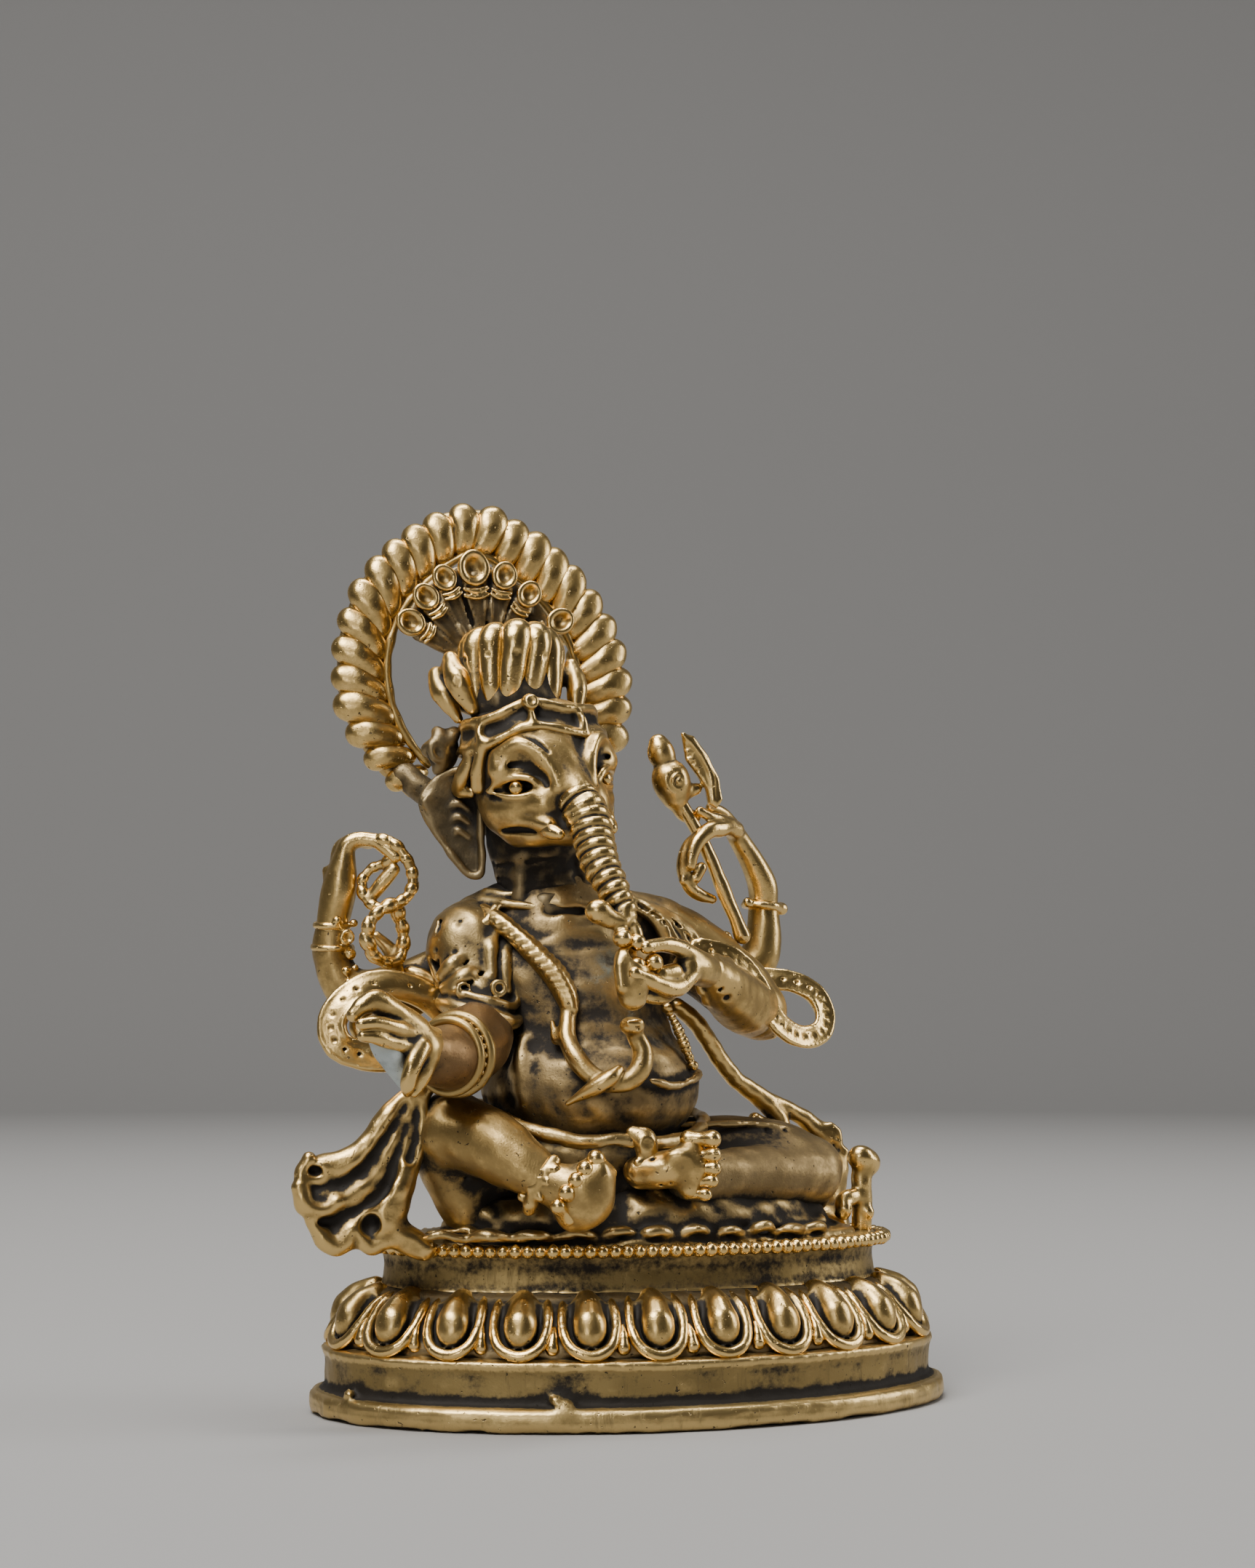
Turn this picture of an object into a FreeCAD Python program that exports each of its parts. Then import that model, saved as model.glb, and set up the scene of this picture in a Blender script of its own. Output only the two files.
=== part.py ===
"""Seated four-armed elephant-headed deity in cast brass, on an oval lotus pedestal.

Units are millimetres. The origin is the middle of the oval underside, +Z is up, the figure faces -Y and its
own left arm points to +X. The figure sways to its right, so its axis moves to -X with height, and the head is
turned to its left. Every wax piece that the caster would model and join is a solid of its own: the larger
piece of each pair keeps its form and the smaller one is notched to sit on it.
"""

import FreeCAD
import Part

import math
import os

from FreeCAD import Vector as V

# ---------------------------------------------------------------- driving dimensions
BASE_HALF_LENGTH = 35.4          # foot flange, along X
BASE_OFFSET = 13.0               # how much shorter every oval of the pedestal is along Y
FLANGE_HEIGHT = 2.3
BAND_TOP = 6.2
LOTUS_TOP = 13.6
SEAT_UNDERSIDE = 16.4
SEAT_TOP = 18.0
HEM_TOP = 19.0
WALL = 2.4
PLATE_THICKNESS = 1.2

PETAL_COUNT = 23
PETAL_PHASE = -0.4               # of one petal's spacing, counted from the middle of the front
BEAD_COUNT = 112
BEAD_RADIUS = 0.64

HEAD_CENTRE = V(-12.6, -3.0, 68.0)
HEAD_TURN = 22.0                 # degrees to the figure's left
HALO_Y = 9.4
HALO_CENTRE = V(-15.3, HALO_Y, 80.0)
HALO_HALF_WIDTH = 14.6           # middle of the flame band
HALO_HALF_HEIGHT = 16.4
HALO_POINT = 1.9
HALO_BAND_RADIUS = 2.5           # half the band's width
HALO_THICKNESS = 3.6
RIM_WIDTH = 1.0
HALO_OPEN_ANGLE = 38.0           # each leg stops this far from straight down

RIGHT_SHOULDER = V(-17.0, 1.2, 50.3)
LEFT_SHOULDER = V(3.4, 1.2, 51.2)
RIGHT_KNEE = V(-24.3, -10.0, 31.0)
LEFT_KNEE = V(19.4, -4.0, 23.6)

OUT = "parts"


# ---------------------------------------------------------------- building blocks
def oval(centre, half_x, half_y, turn=0.0):
    """A closed horizontal oval, as a wire whose seam is always at its own +X end."""
    matrix = FreeCAD.Matrix()
    matrix.scale(half_x, half_y, 1.0)
    matrix.rotateZ(math.radians(turn))
    matrix.move(centre)
    return Part.Wire(Part.makeCircle(1.0).transformGeometry(matrix).Edges)


def tier(z_low, z_high, low, high):
    """A plain tier of the pedestal: half lengths low and high at its two ends."""
    ends = ((z_low, low), (z_high, high))
    wires = [oval(V(0, 0, z), a, a - BASE_OFFSET) for z, a in ends]
    return Part.makeLoft(wires, True, True)


def frustum(start, end, r_start, r_end):
    """A straight round piece between two points."""
    along = end - start
    if abs(r_start - r_end) < 1e-6:
        return Part.makeCylinder(r_start, along.Length, start, along)
    return Part.makeCone(r_start, r_end, along.Length, start, along)


def limb(points, radii):
    """A round tapering solid along points: straight spans with a ball at every bend, flat at both ends."""
    spans = list(zip(points, points[1:], radii, radii[1:]))
    pieces = [frustum(*span) for span in spans]
    bends = [ball(p, r) for p, r in zip(points[1:-1], radii[1:-1])]
    return joined(*pieces, *bends)


def ball(centre, radius):
    return Part.makeSphere(radius, centre)


def egg(centre, half_x, half_y, half_z, turn=0.0):
    """An ellipsoid, turned about Z."""
    matrix = FreeCAD.Matrix()
    matrix.scale(half_x, half_y, half_z)
    matrix.rotateZ(math.radians(turn))
    matrix.move(centre)
    return Part.makeSphere(1.0).transformGeometry(matrix)


def ring(centre, axis, radius, thickness):
    return Part.makeTorus(radius, thickness, centre, axis)


def slab(outline, thickness, corner, facing):
    """A flat plate: its outline is (outward, up) from corner, and facing is the outward heading in degrees."""
    points = [V(u, 0, v) for u, v in outline]
    face = Part.Face(Part.makePolygon([*points, points[0]]))
    plate = face.extrude(V(0, thickness, 0))
    plate.Placement = FreeCAD.Placement(corner, FreeCAD.Rotation(V(0, 0, 1), facing))
    return plate


def biggest(shape):
    return max(shape.Solids, key=lambda solid: solid.Volume)


def seated(piece, *neighbours):
    """The piece, notched to sit against its neighbours without sharing any space with them."""
    for neighbour in neighbours:
        if neighbour.BoundBox.intersect(piece.BoundBox):
            piece = biggest(piece.cut(neighbour))
    return piece


def joined(*pieces):
    """One solid of overlapping shapes."""
    if len(pieces) == 1:
        return pieces[0]
    return biggest(pieces[0].fuse(list(pieces[1:])))


def seated_each(pieces, *neighbours):
    """Separate small solids, each notched to its neighbours, as one group."""
    return Part.makeCompound([seated(p, *neighbours) for p in pieces])


def face_point(side, forward, up):
    """A point on the turned head: side is towards its left ear, forward is along its gaze."""
    turn = math.radians(HEAD_TURN)
    x = side * math.cos(turn) + forward * math.sin(turn)
    y = side * math.sin(turn) - forward * math.cos(turn)
    return HEAD_CENTRE + V(x, y, up)


def oval_stations(half_x, half_y, count, phase):
    """(point, outward direction) at equal steps round an oval, from the middle of the front."""
    fine = 2880
    points = []
    for i in range(fine + 1):
        angle = -math.pi / 2 + 2 * math.pi * i / fine
        points.append(V(half_x * math.cos(angle), half_y * math.sin(angle), 0))
    walked = [0.0]
    for before, after in zip(points, points[1:]):
        walked.append(walked[-1] + (after - before).Length)
    stations = []
    for n in range(count):
        wanted = ((n + phase) % count) * walked[-1] / count
        i = next(k for k, length in enumerate(walked) if length >= wanted)
        point = points[i]
        outward = V(point.x / half_x**2, point.y / half_y**2, 0).normalize()
        stations.append((point, outward))
    return stations


# ---------------------------------------------------------------- pedestal
def pedestal_shell():
    """Foot flange, waist band, lotus drum and neck, cast as one wall that is open underneath."""
    a = BASE_HALF_LENGTH
    flange = tier(0, FLANGE_HEIGHT, a - 0.5, a)
    band = tier(FLANGE_HEIGHT, BAND_TOP, a - 1.5, a - 1.8)
    drum = tier(BAND_TOP, LOTUS_TOP, a - 2.8, a - 7.2)
    neck = tier(LOTUS_TOP, SEAT_UNDERSIDE, a - 7.6, a - 8.0)
    hollow_low = tier(0, LOTUS_TOP - 3, a - 1.8 - WALL, a - 6.6 - WALL)
    hollow_high = tier(LOTUS_TOP - 3, SEAT_UNDERSIDE, a - 8.0 - WALL, a - 8.4 - WALL)
    return joined(flange, band, drum, neck).cut([hollow_low, hollow_high])


def base_plate():
    """The sheet that closes the underside, let in flush with the foot."""
    a = BASE_HALF_LENGTH - 1.8 - WALL
    return tier(0, PLATE_THICKNESS, a, a - 0.4)


def lotus_petals(shell):
    """Down-turned petals, one swelling each, on the drum."""
    a = BASE_HALF_LENGTH - 4.7
    petals = []
    for point, outward in oval_stations(a, a - BASE_OFFSET, PETAL_COUNT, PETAL_PHASE):
        heading = math.degrees(math.atan2(outward.y, outward.x))
        middle = V(point.x, point.y, (BAND_TOP + LOTUS_TOP) / 2 + 0.1)
        petals.append(egg(middle, 2.6, 2.75, 3.3, heading))
    return seated_each(petals, shell)


def petal_tips(shell):
    """The small points of the second row, seen between the petals."""
    a = BASE_HALF_LENGTH - 3.0
    tips = []
    for point, outward in oval_stations(a, a - BASE_OFFSET, PETAL_COUNT, PETAL_PHASE + 0.5):
        foot = V(point.x, point.y, BAND_TOP + 1.3) - outward * 1.4
        tips.append(frustum(foot, foot + outward * 2.0, 0.95, 0.5))
    return seated_each(tips, shell)


def seat_plate():
    a = BASE_HALF_LENGTH - 6.8
    return tier(SEAT_UNDERSIDE, SEAT_TOP, a - 0.9, a - 0.6)


def edge_beads():
    """The pearl string round the edge of the seat, each pearl just touching the plate."""
    a = BASE_HALF_LENGTH - 6.75
    stations = oval_stations(a, a - BASE_OFFSET, BEAD_COUNT, 0.0)
    height = SEAT_UNDERSIDE + 1.0
    return Part.makeCompound([ball(V(p.x, p.y, height) + out * 0.35, BEAD_RADIUS) for p, out in stations])


# ---------------------------------------------------------------- body
def torso():
    """Hips, pot belly, chest and shoulders in one swelling column."""
    hips = frustum(V(-5.0, 0.6, HEM_TOP), V(-5.2, -0.4, 30.0), 12.6, 11.0)
    belly = ball(V(-5.4, -2.0, 34.6), 11.5)
    chest = frustum(V(-6.0, -0.8, 36.0), V(-7.4, 0.4, 49.6), 10.2, 7.2)
    yoke = limb([RIGHT_SHOULDER, LEFT_SHOULDER], [4.6, 4.6])
    slope = frustum(V(-7.6, 0.8, 49.0), V(-8.8, 1.2, 55.0), 7.4, 4.4)
    return joined(hips, belly, chest, yoke, slope)


def waist_belt(body):
    return seated(frustum(V(-5.2, -0.2, 26.4), V(-5.2, -0.2, 28.8), 12.8, 12.5), body)


def belt_clasp(belt, body):
    plate = Part.makeBox(2.6, 2.4, 3.4, V(-5.2, -14.2, 24.6))
    return seated(plate, belt, body)


def dhoti_hem():
    """The cloth spread over the seat under the legs."""
    wires = [oval(V(-1.0, -1.6, SEAT_TOP), 24.0, 11.6), oval(V(-1.0, -1.6, HEM_TOP), 23.2, 11.0)]
    return Part.makeLoft(wires, True, True)


def serpent_thread(body, scarf):
    """The sacred serpent worn from the right shoulder to the belly, its neck and head raised."""
    path = [V(-14.4, -6.0, 52.0), V(-13.2, -7.6, 48.5), V(-12.2, -9.2, 44.4), V(-11.6, -12.0, 39.6),
            V(-9.9, -13.4, 35.6), V(-6.6, -13.9, 34.4), V(-4.4, -13.8, 37.0), V(-4.7, -13.6, 40.4)]
    cord = limb(path, [1.0, 1.2, 1.4, 1.1, 1.3, 1.35, 1.25, 1.15])
    snout = ball(V(-5.0, -13.9, 41.2), 1.4)
    return seated(joined(cord, snout), body, scarf)


def shoulder_scarf(body):
    """The shawl that wraps both shoulders and the neck opening."""
    along = (LEFT_SHOULDER - RIGHT_SHOULDER).normalize()
    sleeve = limb([RIGHT_SHOULDER + along * 0.6, LEFT_SHOULDER - along * 0.6], [5.4, 5.4])
    collar = frustum(V(-7.8, 0.9, 51.0), V(-8.9, 1.2, 55.4), 7.4, 5.2)
    return seated(joined(sleeve, collar), body)


def neck(body, scarf):
    column = limb([V(-9.2, 0.8, 53.0), V(-10.4, 0.0, 56.5), V(-11.4, -1.2, 61.5)], [4.6, 4.5, 4.9])
    return seated(column, body, scarf)


# ---------------------------------------------------------------- head
def head(throat):
    skull = ball(HEAD_CENTRE, 7.4)
    jaw = frustum(HEAD_CENTRE, face_point(0.2, 3.4, -6.6), 6.6, 4.2)
    return seated(joined(skull, jaw), throat)


def ear(corner, facing, skull):
    outline = [(0, 1.2), (3.2, 1.6), (6.2, -0.6), (5.0, -3.2), (2.2, -8.6), (0.6, -8.2), (-0.4, -4.0)]
    return seated(slab(outline, 1.3, corner, facing), skull)


def right_ear(skull):
    return ear(V(-18.0, -2.2, 65.8), 130.0, skull)


def left_ear(skull):
    return ear(V(-8.4, 1.2, 65.8), 62.0, skull)


def trunk(skull):
    path = [face_point(0.4, 4.0, -0.4), face_point(0.2, 8.4, -2.4), V(-9.9, -15.0, 61.6),
            V(-8.9, -16.9, 57.6), V(-7.5, -17.5, 54.2), V(-6.4, -17.3, 51.6)]
    return seated(limb(path, [3.4, 3.2, 2.9, 2.4, 1.9, 1.5]), skull)


def tusks(skull, snout):
    pair = []
    for side in (-1, 1):
        root = face_point(side * 3.2, 6.2, -6.2)
        tip = face_point(side * 3.6, 10.6, -7.4)
        pair.append(limb([root, tip], [1.0, 0.7]))
    return seated_each(pair, skull, snout)


def eyes(skull, snout):
    pair = [ball(face_point(side * 4.2, 6.0, -1.0), 1.05) for side in (-1, 1)]
    return seated_each(pair, skull, snout)


def headband(skull):
    """The diadem's hoop with its front jewel."""
    foot = HEAD_CENTRE + V(-0.2, 0, 3.4)
    hoop = frustum(foot, HEAD_CENTRE + V(-0.3, 0.2, 7.8), 7.6, 7.0)
    jewel = ball(face_point(0.2, 7.2, 7.0), 0.95)
    return seated(joined(hoop, jewel), skull)


def crown_core(band):
    return seated(frustum(V(-12.9, -2.6, 74.8), V(-13.7, -1.2, 83.2), 4.8, 4.4), band)


def crown_petals(core, band):
    """Upright tongues round the crown, leaning out a little."""
    count = 12
    tongues = []
    for n in range(count):
        angle = 2 * math.pi * (n + 0.5) / count
        out = V(math.cos(angle), math.sin(angle), 0)
        foot = V(-12.9, -2.4, 76.4) + out * 5.9
        middle = V(-13.3, -1.8, 80.2) + out * 5.9
        top = V(-13.6, -1.5, 83.4) + out * 5.6
        tongues.append(limb([foot, middle, top], [1.25, 1.35, 1.1]))
    return seated_each(tongues, core, band)


def ear_ornament(centre, skull, band):
    disc = Part.makeCylinder(2.2, 1.6, centre, V(-0.35, -0.9, 0.2))
    ribbon = limb([centre + V(0, 1.2, 0.5), centre + V(-0.8, 1.6, 3.4)], [1.3, 0.9])
    return seated(joined(disc, ribbon), skull, band)


def feather_fan(core, petals, rings):
    """The fan plate that rises from the back of the crown to the halo."""
    hub = V(-14.0, 5.4, 80.6)
    points = [hub + V(-2.0, 0, 0)]
    for degrees in (158, 128, 108, 90, 72, 52, 26):
        angle = math.radians(degrees)
        points.append(hub + V(8.8 * math.cos(angle) - 1.4, 0, 10.4 * math.sin(angle)))
    points.append(hub + V(3.4, 0, 0))
    plate = Part.Face(Part.makePolygon([*points, points[0]])).extrude(V(0, 1.6, 0))
    root = limb([hub + V(-0.4, -0.4, 1.6), hub + V(0.4, -6.6, 1.0)], [1.6, 1.6])
    return seated(joined(plate, root), core, petals, rings)


def feather_rings():
    """The seven eyes of the fan."""
    centres = [(-23.7, 86.0), (-22.2, 89.1), (-20.1, 91.6), (-16.8, 92.9), (-13.1, 92.1), (-10.4, 90.0), (-8.0, 86.9)]
    return Part.makeCompound([ring(V(x, 5.6, z), V(0, 1, 0), 1.15, 0.45) for x, z in centres])


# ---------------------------------------------------------------- halo
def halo_curve(inset):
    """A smooth edge along the horseshoe, from its left leg over the pointed top to its right leg."""
    points = []
    steps = 24
    for n in range(steps + 1):
        degrees = -90 - HALO_OPEN_ANGLE - n * (360 - 2 * HALO_OPEN_ANGLE) / steps
        angle = math.radians(degrees)
        peak = HALO_POINT * max(0.0, math.sin(angle)) ** 12
        taper = min(1.0, 0.35 + 4.0 * min(n, steps - n) / steps)
        x = (HALO_HALF_WIDTH - inset * taper) * math.cos(angle)
        z = (HALO_HALF_HEIGHT - inset * taper) * math.sin(angle) + peak
        points.append(HALO_CENTRE + V(x, -HALO_THICKNESS / 2, z))
    curve = Part.BSplineCurve()
    curve.interpolate(points)
    return curve.toShape(), points[0], points[-1]


def band_between(outer, inner):
    """A flat horseshoe between two edges of the halo."""
    outer_edge, outer_start, outer_end = outer
    inner_edge, inner_start, inner_end = inner
    feet = [Part.makeLine(outer_end, inner_end), Part.makeLine(inner_start, outer_start)]
    outline = Part.Wire([outer_edge, feet[0], inner_edge, feet[1]])
    return Part.Face(outline).extrude(V(0, HALO_THICKNESS, 0))


def halo_ring():
    return band_between(halo_curve(-HALO_BAND_RADIUS), halo_curve(HALO_BAND_RADIUS))


def halo_rim():
    """The raised fillet along the inner edge of the flame band."""
    return band_between(halo_curve(HALO_BAND_RADIUS), halo_curve(HALO_BAND_RADIUS + RIM_WIDTH))


def halo_bridge(skull, throat, band, rim):
    """The bar behind the nape that carries the two legs of the halo."""
    legs = [HALO_CENTRE + V(side * 8.6, 0, -13.6) for side in (-1, 1)]
    bar = limb([legs[0], V(-13.6, 8.4, 64.6), legs[1]], [1.5, 1.9, 1.5])
    stem = limb([V(-13.6, 8.4, 64.6), V(-12.6, 1.5, 63.8)], [1.9, 1.9])
    return seated(joined(bar, stem), skull, throat, band, rim)


# ---------------------------------------------------------------- arms
def right_upper_arm(body, scarf):
    elbow = V(-20.6, -8.2, 41.6)
    return seated(limb([RIGHT_SHOULDER, V(-19.4, -2.6, 46.8), elbow], [4.3, 4.4, 3.6]), body, scarf)


def right_forearm(upper):
    return seated(limb([V(-20.4, -7.2, 42.0), V(-22.6, -14.0, 40.0), V(-25.6, -19.4, 39.8)], [3.3, 3.2, 2.3]), upper)


def right_cuff(forearm):
    middle = V(-22.3, -13.0, 40.3)
    return seated(Part.makeCylinder(4.2, 2.0, middle, V(-0.4, -0.9, -0.02)), forearm)


def right_hand(forearm):
    """An upturned palm with its fingers closed on the tusk."""
    palm = limb([V(-25.4, -19.0, 39.8), V(-28.0, -22.4, 39.8), V(-30.6, -24.6, 40.6)], [2.2, 2.5, 2.0])
    fingers = [limb([V(-29.0, -23.0 - 0.2 * n, 38.4 + 1.4 * n), V(-32.6, -23.8 - 0.2 * n, 38.8 + 1.4 * n),
                     V(-33.6, -21.4 - 0.2 * n, 40.6 + 1.1 * n)], [0.85, 0.8, 0.6]) for n in range(4)]
    return seated(joined(palm, *fingers), forearm)


def held_tusk(hand):
    return seated(limb([V(-29.6, -20.0, 35.6), V(-31.2, -21.6, 40.0), V(-31.6, -22.2, 44.6)], [0.7, 1.2, 1.3]), hand)


def right_rear_arm(body, scarf, front_arm):
    path = [V(-16.0, 4.4, 49.0), V(-24.0, 5.0, 45.8), V(-29.6, 4.4, 43.8), V(-32.2, 3.6, 46.4), V(-33.2, 3.1, 50.6)]
    return seated(limb(path, [3.2, 2.8, 2.6, 2.5, 2.3]), body, scarf, front_arm)


def left_rear_arm(body, scarf, front_arm):
    path = [V(2.0, 4.4, 50.0), V(8.4, 5.2, 47.6), V(13.6, 4.8, 45.4), V(15.6, 4.3, 48.6), V(16.3, 4.1, 54.4)]
    return seated(limb(path, [3.2, 2.9, 2.5, 2.3, 2.0]), body, scarf, front_arm)


def rear_bracelets():
    """One bracelet at each raised wrist, between the arm and the hand."""
    right = Part.makeCylinder(2.9, 1.2, V(-33.2, 3.1, 50.7), V(-0.02, -0.1, 1))
    left = Part.makeCylinder(2.7, 0.9, V(16.3, 4.1, 54.6), V(-0.15, -0.15, 1))
    return right, left


def right_rear_hand(arm, bracelet):
    """Palm upright, the fingers bent over towards the head to carry the loops."""
    palm = limb([V(-33.2, 3.0, 51.0), V(-33.0, 2.8, 54.6), V(-32.4, 2.6, 58.8)], [2.0, 2.2, 1.7])
    fingers = [limb([V(-32.4, 2.2 + n, 58.2), V(-31.4, 1.8 + n, 61.2), V(-28.6, 1.0 + n, 61.4)], [0.9, 0.8, 0.65])
               for n in range(2)]
    thumb = limb([V(-31.6, 1.4, 56.2), V(-29.8, 0.6, 58.8), V(-28.4, 0.6, 60.8)], [0.9, 0.75, 0.6])
    return seated(joined(palm, *fingers, thumb), arm, bracelet)


def loop_chain(hand):
    """Two linked beaded loops that hang from the fingers."""
    upper = ring(V(-26.8, 0.0, 57.4), V(0.25, 1, 0), 3.2, 0.7)
    lower = ring(V(-27.6, 0.0, 51.6), V(0.25, 1, 0), 2.6, 0.7)
    return seated(joined(upper, lower), hand)


def left_upper_arm(body, scarf):
    return seated(limb([LEFT_SHOULDER, V(8.8, -0.4, 47.2), V(12.8, -2.6, 42.4)], [4.2, 4.0, 3.3]), body, scarf)


def left_forearm(upper):
    return seated(limb([V(12.6, -2.4, 42.2), V(8.4, -8.6, 43.8), V(4.2, -13.9, 46.4)], [3.3, 3.0, 2.0]), upper)


def left_hand(forearm):
    palm = limb([V(4.4, -13.7, 46.3), V(2.4, -16.0, 47.0), V(0.8, -17.4, 47.2)], [1.9, 2.1, 1.7])
    thumb = limb([V(1.4, -17.0, 48.4), V(-0.8, -18.6, 49.8), V(-3.0, -19.6, 49.4)], [0.9, 0.85, 0.7])
    fingers = [limb([V(1.2, -17.4 + n, 45.8), V(-1.4, -19.4 + n, 44.4), V(-4.6, -20.6 + n, 45.4)], [0.95, 0.9, 0.7])
               for n in range(3)]
    return seated(joined(palm, thumb, *fingers), forearm)


def sweet_bowl(hand, snout):
    bowl = limb([V(-4.4, -17.6, 42.8), V(-4.2, -17.8, 45.4), V(-4.2, -17.8, 47.0)], [1.3, 2.4, 2.7])
    return seated(bowl, hand, snout)


def sweets(bowl, hand, snout):
    """Round sweets in the bowl and the one at the tip of the trunk."""
    centres = [V(-2.4, -19.0, 47.4), V(-4.6, -19.6, 47.4), V(-8.6, -18.4, 52.0)]
    return seated_each([ball(c, 1.1) for c in centres], bowl, hand, snout)


def left_rear_hand(arm, bracelet, shaft):
    palm = limb([V(16.2, 4.0, 54.8), V(15.4, 3.4, 58.4), V(13.2, 2.6, 61.8)], [1.8, 2.1, 1.6])
    fingers = [limb([V(13.0, 2.2 - n, 61.4 - n), V(11.2, 1.2 - n, 64.2 - n), V(9.0, 0.4 - n, 64.8 - n)], [0.9, 0.8, 0.6])
               for n in range(2)]
    grip = limb([V(13.4, 1.6, 60.0), V(10.6, -0.6, 61.6), V(8.4, -0.6, 60.2), V(8.2, 0.2, 57.6)], [0.9, 0.9, 0.85, 0.7])
    return seated(joined(palm, *fingers, grip), arm, bracelet, shaft)


def axe_shaft():
    return limb([V(12.6, -1.0, 50.6), V(10.6, -0.5, 57.0), V(5.4, 0.3, 68.0)], [0.9, 0.9, 0.9])


def axe_head(shaft):
    """The bulb, its finial and the crescent blade on the butt of the shaft."""
    bulb = ball(V(5.2, 0.3, 68.6), 2.05)
    finial = joined(ball(V(3.6, 0.3, 71.3), 1.35), ball(V(3.2, 0.3, 72.2), 1.3))
    outline = [(0.6, 1.6), (1.6, 4.6), (4.0, 2.6), (5.6, -1.0), (5.4, -4.0), (2.6, -3.0)]
    blade = slab(outline, 1.3, V(4.6, -0.3, 68.8), 0.0)
    return seated(joined(bulb, finial, blade), shaft)


# ---------------------------------------------------------------- legs
def right_leg(body, hem):
    """Thigh up from the hip to the raised knee and the shin down to the foot."""
    thigh = limb([V(-13.0, -2.0, 22.6), V(-19.4, -6.4, 24.6), RIGHT_KNEE], [4.4, 4.6, 3.9])
    shin = limb([RIGHT_KNEE + V(-0.6, 0, 0.6), V(-19.8, -13.6, 28.2), V(-14.6, -17.0, 23.4)], [3.9, 4.0, 2.2])
    return seated(joined(thigh, shin, ball(RIGHT_KNEE, 3.9)), body, hem)


def right_foot(leg, hem):
    """The raised leg's foot, its sole turned to the front."""
    sole = limb([V(-14.8, -16.8, 23.6), V(-12.6, -18.2, 22.6), V(-9.4, -18.6, 23.2)], [2.1, 2.3, 2.7])
    toes = [ball(V(-12.4 + 0.95 * n, -20.4, 20.9 + 1.5 * n), 0.85) for n in range(5)]
    return seated(joined(sole, *toes), leg, hem)


def left_leg(body, hem):
    """Thigh out along the seat to the lowered knee and the shin folded back under it."""
    thigh = limb([V(3.0, -1.0, 24.0), V(12.0, -2.4, 25.4), LEFT_KNEE], [4.6, 4.4, 3.8])
    shin = limb([LEFT_KNEE, V(11.6, -8.4, 22.6), V(3.0, -11.0, 22.6)], [3.8, 3.5, 2.9])
    return seated(joined(thigh, shin), body, hem)


def left_foot(leg, hem, body):
    """The tucked foot, heel to the middle and toes to the side, with its sole to the front."""
    sole = limb([V(-3.4, -15.0, 24.4), V(-0.6, -16.2, 24.6), V(2.4, -16.6, 25.0)], [2.0, 2.0, 2.5])
    toes = [ball(V(3.6, -17.6, 22.2 + 1.45 * n), 0.85) for n in range(5)]
    ankle = limb([V(-2.6, -14.6, 23.8), V(1.0, -10.6, 22.6)], [1.8, 1.9])
    return seated(joined(sole, ankle, *toes), leg, hem, body)


def anklet(leg, foot, hem):
    """The studded ring at the raised leg's ankle."""
    hoop = frustum(V(-16.8, -15.3, 25.6), V(-15.4, -16.2, 24.3), 3.6, 3.3)
    return seated(hoop, leg, foot, hem)


# ---------------------------------------------------------------- drapery
def right_sash_loop(*neighbours):
    path = [V(-27.0, -2.0, 44.6), V(-32.0, -5.0, 44.0), V(-34.8, -6.0, 40.8), V(-33.0, -6.0, 37.0), V(-28.6, -5.0, 36.2)]
    return seated(limb(path, [1.3, 1.3, 1.3, 1.3, 1.2]), *neighbours)


def left_sash_loop(*neighbours):
    path = [V(11.0, -6.0, 47.0), V(13.6, -6.4, 43.4), V(15.6, -5.4, 39.4), V(18.6, -3.6, 37.6), V(21.6, -2.4, 39.2),
            V(22.0, -1.6, 42.4), V(18.6, -0.6, 44.6), V(13.0, 1.4, 45.6)]
    return seated(limb(path, [1.3] * len(path)), *neighbours)


def left_sash_tail(*neighbours):
    """The end of the sash, from under the left elbow down behind the knee to its leaf-shaped tip."""
    path = [V(7.6, 1.6, 41.6), V(11.4, 3.4, 36.0), V(17.2, 5.2, 30.6), V(22.6, 6.0, 28.6), V(25.0, 5.4, 26.0)]
    strip = limb(path, [1.0, 1.2, 1.2, 1.6, 1.9])
    foot = limb([V(25.0, 5.4, 27.0), V(24.6, 5.0, SEAT_TOP)], [1.8, 2.2])
    return seated(joined(strip, foot), *neighbours)


def right_drapery(*neighbours):
    """The gathered shawl end that falls from the right elbow past the knee to the edge of the seat."""
    outline = [(0.0, 0.0), (2.6, 0.4), (3.0, -6.0), (1.4, -14.8), (-4.8, -15.8), (-9.4, -12.4), (-11.2, -8.0), (-6.0, -4.4)]
    return seated(slab(outline, 2.4, V(-26.6, -8.6, 34.0), -6.0), *neighbours)


def mouse_figure(hem):
    """The small upright attendant beside the left knee."""
    body = limb([V(26.3, -2.0, SEAT_TOP), V(26.2, -2.0, 21.6), V(26.4, -2.0, 25.0)], [1.5, 1.4, 1.5])
    crown = ball(V(26.2, -2.0, 25.3), 1.75)
    snout = limb([V(24.0, -3.0, 20.4), V(26.2, -2.0, 20.0)], [1.2, 0.9])
    return seated(joined(body, crown, ball(V(24.0, -3.0, 20.4), 1.2), snout), hem)


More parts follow.
